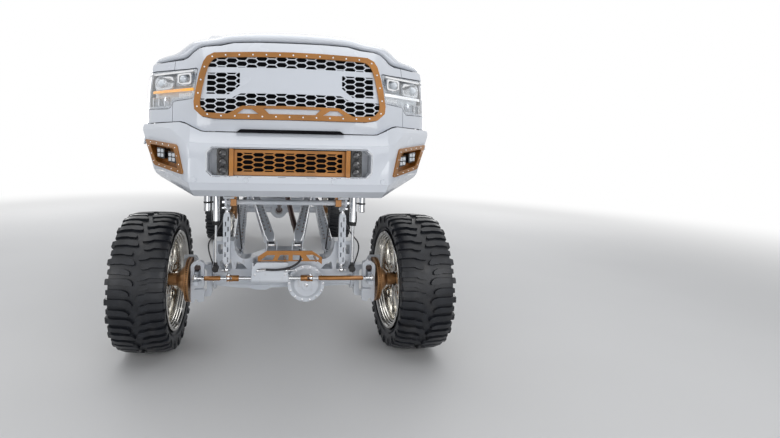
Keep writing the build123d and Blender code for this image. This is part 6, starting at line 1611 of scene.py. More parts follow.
class TRUCK_OT_knuckles(bpy.types.Operator):
    """Builds the steering knuckles with their arched brackets, calipers and arms"""

    bl_idname = "truck.knuckles"
    bl_label = "Knuckles and calipers"

    def execute(self, context):
        for name, side in (("l", 1), ("r", -1)):
            bm = bmesh.new()
            arch = rounded([(0.649, 0.530), (0.649, 0.735), (0.678, 0.757), (0.726, 0.752), (0.756, 0.722), (0.756, 0.505),
                            (0.725, 0.505), (0.725, 0.530)], 0.022, 4)
            window = rounded([(0.676, 0.585), (0.676, 0.712), (0.692, 0.726), (0.716, 0.722), (0.728, 0.705),
                              (0.728, 0.585)], 0.012, 3)
            hull, cut = bmesh.new(), bmesh.new()
            plate(hull, across([(x * side, z) for x, z in arch], -0.136), (0, 0.040, 0))
            plate(cut, across([(x * side, z) for x, z in window], -0.2), (0, 0.2, 0))
            take(bm, join_shapes(hull, cut, "DIFFERENCE"))
            foot = rounded([(0.649, 0.420), (0.649, 0.520), (0.756, 0.520), (0.756, 0.430), (0.748, 0.408), (0.732, 0.408),
                            (0.722, 0.440), (0.708, 0.440), (0.696, 0.412)], 0.010, 3)
            plate(bm, across([(x * side, z) for x, z in foot], -0.132), (0, 0.034, 0))
            low, high = sorted((0.680 * side, 0.734 * side))
            box(bm, spot(low, -0.048, 0.474), spot(high, 0.048, 0.656))
            box(bm, spot(low, -0.110, 0.475), spot(high, -0.040, 0.530))
            low, high = sorted((0.700 * side, 0.734 * side))
            box(bm, spot(low, -0.110, 0.612), spot(high, -0.040, 0.655))
            low, high = sorted((0.680 * side, 0.732 * side))
            box(bm, spot(low, -0.216, 0.582), spot(high, -0.034, 0.606))
            turned(bm, [(0, 0.001), (0, 0.064), (0.014, 0.074), (0.028, 0.074), (0.034, 0.056), (0.0365, 0.054), (0.0365, 0.001)],
                   spot(0.732 * side, 0, AXLE_Z), (side, 0, 0), 36)
            rod(bm, spot(0.712 * side, STEER_Y, 0.578), spot(0.712 * side, STEER_Y, 0.610), 0.024, sides=20)
            piece(f"knuckle_cast_{name}", bm, "suspension_white", f"knuckle_{name}", (f"knuckle_{name}",), bevel=0.003)
            pads = bmesh.new()
            low, high = sorted((0.676 * side, 0.750 * side))
            box(pads, spot(low, -0.126, 0.682), spot(high, -0.104, 0.712))
            low, high = sorted((0.694 * side, 0.742 * side))
            box(pads, spot(low, -0.090, 0.664), spot(high, 0.060, 0.676))
            piece(f"knuckle_red_pad_{name}", pads, "shaft_brown", f"knuckle_{name}", bevel=0.003)
            clamp = bmesh.new()
            rows = []
            for step in range(9):
                a = radians(18 + step * 6.5)
                ring = []
                for x, r in ((0.748, 0.120), (0.842, 0.120), (0.848, 0.128), (0.848, 0.196), (0.840, 0.204),
                             (0.750, 0.204), (0.742, 0.196), (0.742, 0.128)):
                    ring.append(spot(x * side, cos(a) * r, AXLE_Z + sin(a) * r))
                rows.append(ring)
            loft(clamp, rows)
            hull = bmesh.new()
            turned(hull, [(0, 0.10), (0, 0.186), (0.048, 0.186), (0.048, 0.10), (0.0, 0.10)], spot(0.766 * side, 0, AXLE_Z), (side, 0, 0), 48)
            clamp = join_shapes(clamp, hull, "DIFFERENCE")
            for step in (1.5, 4, 6.5):
                a = radians(18 + step * 6.5)
                turned(clamp, [(0, 0.001), (0, 0.022), (0.012, 0.022), (0.014, 0.018), (0.014, 0.001)],
                       spot(0.744 * side, cos(a) * 0.16, AXLE_Z + sin(a) * 0.16), (-side, 0, 0), 20)
            piece(f"brake_caliper_{name}", clamp, "suspension_white", f"knuckle_{name}", bevel=0.002)
        return {"FINISHED"}


class TRUCK_OT_steering(bpy.types.Operator):
    """Builds the steering ram, its rods and clevises, the tie rods and the hose"""

    bl_idname = "truck.steering"
    bl_label = "Steering ram and rods"

    def execute(self, context):
        y, z = STEER_Y, STEER_Z
        ram = bmesh.new()
        turned(ram, [(0, 0.001), (0, 0.030), (0.004, 0.036), (0.296, 0.036), (0.300, 0.030), (0.300, 0.001)],
               spot(-0.268, y, z), (1, 0, 0), 36)
        cheek = rounded([(-0.262, 0.640), (-0.262, 0.716), (-0.225, 0.768), (0.026, 0.768), (0.026, 0.640)], 0.012, 3)
        plate(ram, across(cheek, y - 0.038), (0, 0.010, 0))
        box(ram, spot(-0.262, y - 0.036, 0.690), spot(0.026, -0.088, 0.702))
        for x in (-0.258, 0.014):
            box(ram, spot(x, y - 0.034, 0.655), spot(x + 0.010, -0.088, 0.764))
        piece("steering_ram", ram, "suspension_white", "truck", ("steering_cylinder",), slot="polished", bevel=0.002)
        rods, joints, copper = bmesh.new(), bmesh.new(), bmesh.new()
        rod(rods, spot(-0.385, y, z), spot(0.150, y, z), 0.0135, sides=24)
        for side in (1, -1):
            inner = RAM_X + side * 0.262
            turned(copper, [(-0.004, 0.001), (-0.004, 0.021), (0.0, 0.024), (0.045, 0.024), (0.052, 0.021), (0.052, 0.001)],
                   spot(inner - side * 0.012, y, z), (side, 0, 0), 24)
            low, high = sorted((inner + side * 0.030, inner + side * 0.082))
            for dz in (-0.020, 0.013):
                box(copper, spot(low, y - 0.020, z + dz), spot(high, y + 0.020, z + dz + 0.007))
            eye = inner + side * 0.068
            rod(joints, spot(eye, y, z - 0.030), spot(eye, y, z + 0.028), 0.011, sides=16)
            ball(joints, spot(eye, y, z), 0.019)
            rod(joints, spot(eye, y, z), spot(eye + side * 0.070, y, z), 0.011, sides=16)
            bolt(joints, spot(eye, y, z + 0.026), (0, 0, 1), 0.013, 0.012)
            end = 0.640 * side
            turned(copper, [(0, 0.001), (0, 0.014), (0.012, 0.0185), (abs(end - eye) - 0.072, 0.0185),
                            (abs(end - eye) - 0.060, 0.014), (abs(end - eye) - 0.060, 0.001)],
                   spot(eye + side * 0.060, y, z), (side, 0, 0), 24)
            rod(joints, spot(end - side * 0.008, y, z), spot(0.700 * side, y, z), 0.011, sides=16)
            rod(joints, spot(end + side * 0.004, y, z), spot(end + side * 0.020, y, z), 0.017, sides=6)
            ball(joints, spot(0.710 * side, y, z), 0.023)
            rod(joints, spot(0.711 * side, y, z - 0.021), spot(0.711 * side, y, z + 0.030), 0.010, sides=16)
        piece("steering_ram_rod", rods, "chrome", "steering_rods")
        piece("steering_joints", joints, "chrome", "steering_rods", bevel=0.001)
        piece("steering_tie_rods", copper, "copper_paint", "steering_rods", ("steering_rods",), bevel=0.0015)
        line = bmesh.new()
        front = y - 0.050
        hose(line, [spot(*p) for p in ((-0.150, front, 0.715), (-0.115, front - 0.004, 0.713), (-0.060, front - 0.012, 0.716),
                                       (0.010, front - 0.012, 0.724), (0.070, front - 0.006, 0.745),
                                       (0.118, -0.236, 0.775), (0.128, -0.20, 0.800), (0.130, -0.12, 0.815),
                                       (0.125, -0.075, 0.830))], 0.009)
        for side in (1, -1):
            hose(line, [spot(*p) for p in ((0.560 * side, -0.06, 0.640), (0.610 * side, -0.10, 0.78), (0.640 * side, -0.02, 0.88),
                                           (0.600 * side, 0.10, 0.92), (0.520 * side, 0.13, 1.05), (0.480 * side, 0.10, 1.35),
                                           (0.470 * side, 0.10, 1.62))], 0.006)
            hose(line, [spot(*p) for p in ((0.33 * side, 0.02, 0.62), (0.37 * side, 0.12, 0.80), (0.40 * side, 0.16, 1.05),
                                           (0.41 * side, 0.14, 1.35), (0.42 * side, 0.12, 1.62))], 0.007)
        piece("hydraulic_hoses", line, "rubber_hose")
        fittings = bmesh.new()
        for x, turn in ((-0.205, 1), (0.020, 1)):
            rod(fittings, spot(x - 0.010, front + 0.012, 0.706), spot(x - 0.010, front - 0.002, 0.706), 0.012, sides=6)
            rod(fittings, spot(x - 0.008, front, 0.708), spot(x + 0.052, front - 0.003, 0.714), 0.0095, sides=6)
            rod(fittings, spot(x + 0.014, front, 0.709), spot(x + 0.030, front - 0.002, 0.712), 0.013, sides=6)
            ball(fittings, spot(x - 0.010, front + 0.002, 0.706), 0.013)
        for x in (-0.235, 0.0):
            bolt(fittings, spot(x, y - 0.038, 0.672), (0, -1, 0), 0.007)
        piece("hose_fittings", fittings, "chrome", bevel=0.0008, segments=1)
        return {"FINISHED"}


class TRUCK_OT_links(bpy.types.Operator):
    """Builds the slotted link arms, the sway bar and its perforated drop links"""

    bl_idname = "truck.links"
    bl_label = "Link arms and sway bar"

    def execute(self, context):
        arms, liners, joints, clevises = bmesh.new(), bmesh.new(), bmesh.new(), bmesh.new()
        hub_y = WHEELBASE / 2 - 0.1025
        for side in (1, -1):
            for axle_y, toward in ((0.0, 1), (WHEELBASE, -1)):
                runs = (
                    ((0.110 * side, axle_y, 0.857), (0.380 * side, hub_y - 0.080 * toward, 1.180), 0.092, 0.080),
                    ((0.400 * side, axle_y + 0.1153 * toward, 0.765), (LOWER_HUB_X * side, hub_y - 0.080 * toward, 1.000),
                     0.098, 0.080),
                )
                for start, end, wide, tall in runs:
                    start, end = spot(*start), spot(*end)
                    length = (end - start).length
                    take(arms, aim_beam(slotted_beam(length, wide, tall, 0.62), start, end))
                    core = bmesh.new()
                    box(core, (0.10, -wide * 0.36, -tall * 0.34), (length - 0.10, wide * 0.36, tall * 0.34))
                    take(liners, aim_beam(core, start, end))
                    for place in (start, end):
                        rod(joints, place - Vector((0.025, 0, 0)), place + Vector((0.025, 0, 0)), 0.029, sides=24)
                        rod(joints, place - Vector((0.034, 0, 0)), place + Vector((0.034, 0, 0)), 0.012, sides=6)
                    for place, way in ((start, (end - start).normalized()), (end, (start - end).normalized())):
                        rod(joints, place + way * 0.02, place + way * 0.05, 0.016, sides=16)
        piece("link_arm_boxes", arms, "suspension_white", "truck", ("link_arms",), bevel=0.0015, segments=1)
        piece("link_arm_liners", liners, "copper_paint", bevel=0.001, segments=1)
        piece("link_arm_joints", joints, "chrome", slot="polished", bevel=0.002)
        for axle_y, toward in ((0.0, 1), (WHEELBASE, -1)):
            for side in (1, -1):
                for x in (0.066, 0.150):
                    low, high = sorted(((x - 0.004) * side, (x + 0.004) * side))
                    outline = [(axle_y - 0.055, 0.815), (axle_y + 0.055, 0.815), (axle_y + 0.042, 0.875), (axle_y + 0.020, 0.892),
                               (axle_y - 0.020, 0.892), (axle_y - 0.042, 0.875)]
                    plate(clevises, along(outline, low), (high - low, 0, 0))
                for x in (0.362, 0.438):
                    low, high = sorted(((x - 0.004) * side, (x + 0.004) * side))
                    outline = [(axle_y + 0.08 * toward, 0.660), (axle_y + 0.08 * toward, 0.800), (axle_y + 0.130 * toward, 0.800),
                               (axle_y + 0.150 * toward, 0.765), (axle_y + 0.135 * toward, 0.730)]
                    plate(clevises, along(outline, low), (high - low, 0, 0))
        piece("link_clevises", clevises, "suspension_white", bevel=0.0015)
        self.sway_bar()
        return {"FINISHED"}

    @staticmethod
    def sway_bar():
        bar, clamps, chrome, brackets = bmesh.new(), bmesh.new(), bmesh.new(), bmesh.new()
        rod(bar, spot(-0.455, -0.35, 1.262), spot(0.455, -0.35, 1.262), 0.0195, sides=28)
        for side in (1, -1):
            low, high = sorted((0.372 * side, 0.418 * side))
            box(clamps, spot(low, -0.392, 1.236), spot(high, -0.308, 1.290))
            box(clamps, spot(low, -0.372, 1.288), spot(high, -0.328, 1.330))
            low, high = sorted((0.390 * side, 0.470 * side))
            plate(brackets, along([(-0.40, 1.296), (-0.28, 1.296), (-0.24, 1.600), (-0.42, 1.600)], low), (0.008, 0, 0))
            box(brackets, spot(low, -0.398, 1.292), spot(high, -0.300, 1.304))
            low, high = sorted((0.446 * side, 0.462 * side))
            lever = rounded([(-0.385, 1.240), (-0.385, 1.290), (-0.330, 1.296), (-0.095, 1.214), (-0.090, 1.170), (-0.130, 1.160)],
                            0.02, 3)
            plate(brackets, along(lever, low), (high - low, 0, 0))
            rod(chrome, spot(0.440 * side, -0.35, 1.262), spot(0.482 * side, -0.35, 1.262), 0.015, sides=6)
            for z, way in ((1.186, -1), (0.676, 1)):
                ball(chrome, spot(0.472 * side, -0.12, z), 0.023)
                rod(chrome, spot(0.472 * side, -0.12, z), spot(0.472 * side, -0.12, z + 0.055 * way), 0.012, sides=16)
                rod(chrome, spot(0.472 * side, -0.12, z + 0.034 * way), spot(0.472 * side, -0.12, z + 0.046 * way), 0.020, sides=6)
                rod(chrome, spot(0.440 * side, -0.12, z), spot(0.512 * side, -0.12, z), 0.010, sides=6)
            rod(chrome, spot(0.472 * side, -0.12, 0.676), spot(0.472 * side, -0.08, 0.676), 0.011, sides=12)
            strap = bmesh.new()
            rows = []
            for z, half in ((0.728, 0.016), (0.748, 0.026), (0.790, 0.0285), (1.100, 0.0285), (1.132, 0.024), (1.146, 0.016)):
                rows.append([spot(0.472 * side + sx * half, -0.12 + sy * 0.018, z) for sx, sy in ((-1, -1), (1, -1), (1, 1), (-1, 1))])
            loft(strap, rows)
            cuts = bmesh.new()
            for index in range(9):
                z = 0.765 + index * 0.0415
                dx = -0.0105 if index % 2 else 0.0105
                slot = rounded([(-0.0055 + dx, z - 0.020), (0.0055 + dx, z - 0.020), (0.0055 + dx, z + 0.020), (-0.0055 + dx, z + 0.020)],
                               0.005, 3)
                plate(cuts, across([(0.472 * side + x, pz) for x, pz in slot], -0.20), (0, 0.16, 0))
            take(brackets, join_shapes(strap, cuts, "DIFFERENCE"))
        piece("sway_bar_tube", bar, "suspension_white", "truck", ("sway_bar",), bevel=0.002)
        piece("sway_bar_clamps", clamps, "copper_paint", bevel=0.004)
        piece("sway_bar_joints", chrome, "chrome", bevel=0.001, segments=1)
        piece("sway_bar_links", brackets, "suspension_white", bevel=0.0018)


LOWER_HUB_X = 0.480


class TRUCK_OT_shocks(bpy.types.Operator):
    """Builds the four long travel shocks with their chrome bodies and reservoirs"""

    bl_idname = "truck.shocks"
    bl_label = "Shocks and reservoirs"

    def execute(self, context):
        bodies, black = bmesh.new(), bmesh.new()
        for side in (1, -1):
            for axle_y, toward in ((0.0, -1), (WHEELBASE, 1)):
                x, y = 0.560 * side, axle_y + 0.125 * toward
                turned(bodies, [(0.02, 0.011), (0.380, 0.011)], spot(x, y, 0.690), (0, 0, 1), 20)
                turned(bodies, [(1.076, 0.011), (1.076, 0.026), (1.082, 0.0315), (1.585, 0.0315), (1.592, 0.026),
                                (1.598, 0.001)], spot(x, y, 0), (0, 0, 1), 32)
                turned(black, [(1.046, 0.012), (1.048, 0.026), (1.078, 0.030), (1.080, 0.012)], spot(x, y, 0), (0, 0, 1), 28)
                turned(black, [(0.664, 0.001), (0.664, 0.020), (0.700, 0.022), (0.704, 0.017), (0.716, 0.020), (0.720, 0.015),
                               (0.742, 0.014), (0.744, 0.001)], spot(x, y, 0), (0, 0, 1), 24)
                rod(black, spot(x, y - 0.029, 0.690), spot(x, y + 0.029, 0.690), 0.0255, sides=24)
                rx = 0.628 * side
                turned(bodies, [(1.160, 0.001), (1.160, 0.020), (1.166, 0.026), (1.480, 0.026), (1.486, 0.020), (1.486, 0.001)],
                       spot(rx, y - 0.010, 0), (0, 0, 1), 28)
                for z in (1.225, 1.420):
                    turned(black, [(z, 0.0262), (z, 0.0285), (z + 0.014, 0.0285), (z + 0.014, 0.0262)], spot(rx, y - 0.010, 0),
                           (0, 0, 1), 28)
                    low, high = sorted((x, rx))
                    box(black, spot(low, y - 0.012, z + 0.002), spot(high, y + 0.002, z + 0.012))
                hose(black, [spot(rx, y - 0.01, 1.486), spot(rx, y - 0.01, 1.540), spot((x + rx) / 2, y - 0.01, 1.566),
                             spot(x, y, 1.560)], 0.008)
        piece("shock_bodies", bodies, "chrome", "truck", ("dampers",), angle=30)
        piece("shock_boots", black, "black_plastic", angle=30)
        return {"FINISHED"}


class TRUCK_OT_driveline(bpy.types.Operator):
    """Builds the long driveshafts with their joints"""

    bl_idname = "truck.driveline"
    bl_label = "Driveshafts"

    def execute(self, context):
        shafts, joints = bmesh.new(), bmesh.new()
        for start, end, radius in (
            ((-0.040, 1.200, 1.530), (DIFF_X, 0.300, 0.635), 0.0275),
            ((0.0, 1.500, 1.600), (0.0, WHEELBASE - 0.330, 0.585), 0.044),
        ):
            start, end = spot(*start), spot(*end)
            way = (end - start).normalized()
            length = (end - start).length
            profile = [(0.06, 0.001), (0.06, radius * 1.25), (0.16, radius * 1.25), (0.18, radius), (length - 0.42, radius),
                       (length - 0.40, radius * 0.82), (length - 0.10, radius * 0.82), (length - 0.09, radius * 1.2),
                       (length - 0.05, radius * 1.2), (length - 0.05, 0.001)]
            turned(shafts, profile, start, way, 32)
            side = way.cross(Vector((1, 0, 0))).normalized()
            for place in (start + way * 0.035, end - way * 0.030):
                rod(joints, place - Vector((radius * 1.15, 0, 0)), place + Vector((radius * 1.15, 0, 0)), radius * 0.42, sides=16)
                rod(joints, place - side * radius * 1.15, place + side * radius * 1.15, radius * 0.42, sides=16)
            rod(joints, start - way * 0.002, start + way * 0.018, radius * 1.5, sides=24)
            rod(joints, end - way * 0.016, end + way * 0.002, radius * 1.5, sides=24)
        piece("driveshaft_tubes", shafts, "shaft_brown", "truck", ("driveshafts",), angle=30)
        piece("driveshaft_joints", joints, "brushed_steel", slot="polished", bevel=0.0015)
        return {"FINISHED"}


class TRUCK_OT_chassis(bpy.types.Operator):
    """Builds the frame's bolts, the hung brackets, the transmission and the engine"""

    bl_idname = "truck.chassis"
    bl_label = "Frame and drivetrain"

    def execute(self, context):
        self.brackets()
        self.gearbox()
        self.engine()
        self.frame_details()
        return {"FINISHED"}

    @staticmethod
    def brackets():
        bm = bmesh.new()
        hub = WHEELBASE / 2 - 0.1025
        for side in (1, -1):
            low, high = sorted((0.418 * side, 0.442 * side))
            outer = [(hub - 0.42, 1.6), (hub + 0.42, 1.6), (hub + 0.14, 0.94), (hub - 0.14, 0.94)]
            hull, cuts = bmesh.new(), bmesh.new()
            plate(hull, along(outer, low), (high - low, 0, 0))
            for window in (
                [(hub - 0.27, 1.54), (hub - 0.02, 1.54), (hub - 0.02, 1.30), (hub - 0.16, 1.30)],
                [(hub + 0.02, 1.54), (hub + 0.27, 1.54), (hub + 0.16, 1.30), (hub + 0.02, 1.30)],
                [(hub - 0.05, 1.07), (hub + 0.05, 1.07), (hub + 0.05, 1.15), (hub - 0.05, 1.15)],
            ):
                plate(cuts, along(rounded(window, 0.03, 3), low - 0.02), (0.07, 0, 0))
            take(bm, join_shapes(hull, cuts, "DIFFERENCE"))
            for dy in (-0.080, 0.080):
                inner = (0.418 * side, 0.350 * side)
                rod(bm, spot(inner[0], hub + dy, 1.180), spot(inner[1], hub + dy, 1.180), 0.016, sides=20)
                rod(bm, spot(0.442 * side, hub + dy, 1.000), spot(0.516 * side, hub + dy, 1.000), 0.016, sides=20)
                low, high = sorted((0.350 * side, 0.346 * side))
                rod(bm, spot(0.418 * side, hub + dy, 1.0), spot(0.442 * side, hub + dy, 1.0), 0.035, sides=24)
            for y in (-0.125, WHEELBASE + 0.125):
                low, high = sorted((0.470 * side, 0.606 * side))
                box(bm, spot(low, y - 0.055, 1.600), spot(high, y + 0.055, 1.618))
                for dy in (-0.055, 0.045):
                    hoop = [(0.470 * side, 1.600), (0.470 * side, 1.50), (0.500 * side, 1.50), (0.606 * side, 1.588), (0.606 * side, 1.600)]
                    plate(bm, [spot(x, y + dy, z) for x, z in hoop], (0, 0.010, 0))
        rod(bm, spot(-0.420, hub, 1.0), spot(0.420, hub, 1.0), 0.040, sides=28)
        piece("drop_bracket_plates", bm, "suspension_white", "truck", ("drop_brackets",), bevel=0.002)

    @staticmethod
    def gearbox():
        bm = bmesh.new()
        rows = []
        for y, wide, low, high in ((0.400, 0.150, 1.560, 1.800), (0.520, 0.150, 1.560, 1.800), (0.580, 0.120, 1.590, 1.785),
                                   (1.150, 0.105, 1.610, 1.765), (1.200, 0.130, 1.570, 1.790)):
            middle = (low + high) / 2
            tall = (high - low) / 2
            rows.append([spot(cos(a) * wide * min(1.0, 1.25 - 0.25 * abs(cos(a))), y, middle + sin(a) * tall)
                         for a in [2 * pi * k / 20 for k in range(20)]])
        loft(bm, rows)
        box(bm, spot(-0.130, 1.205, 1.500), spot(0.170, 1.300, 1.780))
        turned(bm, [(1.300, 0.10), (1.330, 0.125), (1.44, 0.115), (1.500, 0.070), (1.500, 0.001)], spot(0, 0, 1.610), (0, 1, 0), 32)
        turned(bm, [(0, 0.001), (0, 0.060), (0.03, 0.064), (0.06, 0.064)], spot(0.020, 1.180, 1.530), (0, 1, 0), 24)
        for index in range(6):
            y = 0.62 + index * 0.09
            for side in (1, -1):
                low, high = sorted((0.095 * side, 0.118 * side))
                box(bm, spot(low, y, 1.620), spot(high, y + 0.012, 1.760))
        box(bm, spot(-0.085, 0.640, 1.575), spot(0.085, 1.060, 1.625))
        piece("gearbox_cast", bm, "cast_grey", "truck", ("gearbox",), bevel=0.005)

    @staticmethod
    def engine():
        bm = bmesh.new()
        box(bm, spot(-0.150, -0.360, 1.900), spot(0.150, 0.390, 2.150))
        box(bm, spot(-0.120, -0.350, 2.150), spot(0.120, 0.380, 2.240))
        box(bm, spot(-0.110, -0.330, 1.640), spot(0.110, 0.300, 1.900))
        for index in range(6):
            y = -0.300 + index * 0.120
            rod(bm, spot(0.0, y, 2.235), spot(0.0, y, 2.285), 0.032, sides=20)
            hose(bm, [spot(0.13, y, 2.10), spot(0.19, y, 2.12), spot(0.235, y, 2.06), spot(0.25, y + 0.01, 1.98)], 0.022)
        rod(bm, spot(0.25, -0.330, 1.980), spot(0.25, 0.360, 1.980), 0.042, sides=24)
        turned(bm, [(0, 0.001), (0, 0.075), (0.03, 0.090), (0.08, 0.090), (0.11, 0.060), (0.11, 0.001)], spot(0.205, 0.08, 1.86),
               (0, 1, 0), 32)
        for x, z, radius in ((0.0, 1.80, 0.085), (-0.13, 1.95, 0.055), (0.14, 2.04, 0.045), (0.0, 2.02, 0.065)):
            turned(bm, [(0, 0.001), (0, radius * 0.5), (0.006, radius), (0.026, radius), (0.03, radius * 0.6), (0.03, 0.001)],
                   spot(x, -0.380, z), (0, 1, 0), 32)
        for x in (-0.285, -0.165):
            rod(bm, spot(x, -0.10, 2.02), spot(x, 0.24, 2.02), 0.014, sides=12)
        box(bm, spot(-0.300, -0.120, 1.960), spot(-0.160, 0.260, 2.080))
        for side in (1, -1):
            low, high = sorted((0.110 * side, 0.300 * side))
            box(bm, spot(low, -0.040, 1.720), spot(high, 0.060, 1.780))
        piece("engine_block", bm, "engine_grey", "truck", ("engine",), bevel=0.008)

    @staticmethod
    def frame_details():
        bm = bmesh.new()
        for side in (1, -1):
            for y in (-0.70, -0.20, 0.10, 0.60, 1.10, 2.90, 3.40, 4.10, 4.60, 5.10):
                x = 0.471 * side
                for z in (1.650, 1.740):
                    bolt(bm, spot(x, y, z), (side, 0, 0), 0.009)
            for x, y, z in ((0.43, -0.861, 1.70),):
                bolt(bm, spot(x * side, y, z), (0, -1, 0), 0.012)
        piece("frame_bolts", bm, "chrome", bevel=0.0006, segments=1)
# Cab, doors and glass

FLOOR_Z = 1.830
BELT_Z = 2.500
ROOF_Z = 3.070
DOOR_TOP_Z = 2.920
BODY_SIDE = [
    (0.948, 1.672), (0.976, 1.700), (0.985, 1.740), (0.990, 1.800), (0.992, 1.960), (0.999, 2.010), (1.000, 2.060),
    (1.000, 2.330), (0.998, 2.352), (0.989, 2.372), (0.986, 2.420), (0.980, 2.470), (0.975, 2.500),
]
ROOF_SIDE = [
    (0.9305, 2.625), (0.886, 2.750), (0.850, 2.850), (0.817, 2.940), (0.800, 2.972), (0.770, 3.004), (0.730, 3.030),
    (0.680, 3.045), (0.560, 3.056), (0.380, 3.064), (0.190, 3.0685), (0.0, 3.070),
]
CAB_PROFILE = [
    (0.470, 1.672), (0.470, 2.410), (0.560, 2.470), (1.330, 2.935), (1.480, 2.982), (1.660, 3.025), (1.900, 3.050),
    (2.180, 3.068), (2.450, 3.058), (2.610, 3.030), (2.700, 2.995), (2.740, 2.930), (2.868, 2.500), (2.878, 2.300),
    (2.880, 1.810), (2.880, 1.672),
]
SCREEN_RISE = atan2(0.465, 0.770)
FRONT_DOOR = [
    (0.650, 1.730), (0.650, 2.410), (0.722, 2.470), (1.470, 2.920), (1.735, 2.920), (1.735, 1.730),
]
REAR_DOOR = [
    (1.747, 1.730), (1.747, 2.920), (2.420, 2.920), (2.600, 2.500), (2.640, 2.400), (2.640, 1.730),
]
FRONT_WINDOW = [(0.937, 2.534), (1.497, 2.872), (1.687, 2.872), (1.687, 2.534)]
REAR_WINDOW = [(1.795, 2.534), (1.795, 2.872), (2.355, 2.872), (2.515, 2.534)]
DOORS = (
    ("front", FRONT_DOOR, FRONT_WINDOW, 1.600, "f"),
    ("rear", REAR_DOOR, REAR_WINDOW, 2.520, "r"),
)


def cab_hull(low_inset=0.0, high_inset=0.0, end_inset=0.0, drop=0.0, floor=1.672):
    """Solid of the cab's outside, moved in by wall thicknesses."""
    side = [(x - low_inset, max(z, floor)) for x, z in BODY_SIDE]
    side = [p for index, p in enumerate(side) if index == 0 or p[1] > side[index - 1][1]]
    roof = [(x - (high_inset if x > 0.75 else high_inset * x / 0.75), z - drop * min(1, (z - 2.6) / 0.4))
            for x, z in ROOF_SIDE if x > 0 or True]
    half = [(0.0, floor)] + side + [(x, z) for x, z in roof]
    section = bmesh.new()
    plate(section, across(full_width(half), 0.40), (0, 2.52, 0))
    points = []
    middle = 1.7
    for y, z in CAB_PROFILE:
        shift = end_inset if y < middle else -end_inset
        share = 1.0 if z < 2.95 else 0.3
        points.append((y + shift * share, max(floor, z - (drop if z > 2.9 else 0.0) - (end_inset * 0.35 if 2.4 < z < 2.9 and y < middle else 0.0))))
    clean = [points[0]]
    for point in points[1:]:
        if (Vector(point) - Vector(clean[-1])).length > 0.002:
            clean.append(point)
    profile = bmesh.new()
    plate(profile, along(rounded(clean, 0.03, 3), -1.2), (2.4, 0, 0))
    return join_shapes(section, profile, "INTERSECT")


def cut_with(first, *others):
    for other in others:
        first = join_shapes(first, other, "DIFFERENCE")
    return first


def side_prism(points, low_x=0.30, high_x=1.20):
    """Prism along X on both sides of the cab from an outline in Y and Z."""
    bm = bmesh.new()
    for low, high in ((low_x, high_x), (-high_x, -low_x)):
        plate(bm, along(points, low), (high - low, 0, 0))
    return bm


def one_side(points, side, low_x=0.30, high_x=1.20):
    bm = bmesh.new()
    plate(bm, along(points, low_x * side), ((high_x - low_x) * side, 0, 0))
    return bm


def screen_place(across_x, up, lift):
    """A place on the windscreen: X, distance up it from its base and height off it."""
    return spot(across_x, 0.560 + cos(SCREEN_RISE) * up - sin(SCREEN_RISE) * lift,
                2.470 + sin(SCREEN_RISE) * up + cos(SCREEN_RISE) * lift)


def rear_place(across_x, up, lift):
    run = Vector((0.160, 0.490))
    length = run.length
    back, rise = run / length
    return spot(across_x, 2.870 - back * up + rise * lift, 2.500 + rise * up + back * lift)


SCREEN_OUTLINE = [(-0.850, 0.045), (0.850, 0.045), (0.720, 0.859), (-0.720, 0.859)]
REAR_OUTLINE = [(-0.700, 0.060), (0.700, 0.060), (0.620, 0.455), (-0.620, 0.455)]


def screen_prism(outline, place, low, high, by=0.0, radius=0.05):
    bm = bmesh.new()
    points = grown(rounded(outline, radius, 5), by)
    start = [place(x, up, low) for x, up in points]
    plate(bm, start, place(0, 0.4, high) - place(0, 0.4, low))
    bmesh.ops.recalc_face_normals(bm, faces=bm.faces)
    return bm


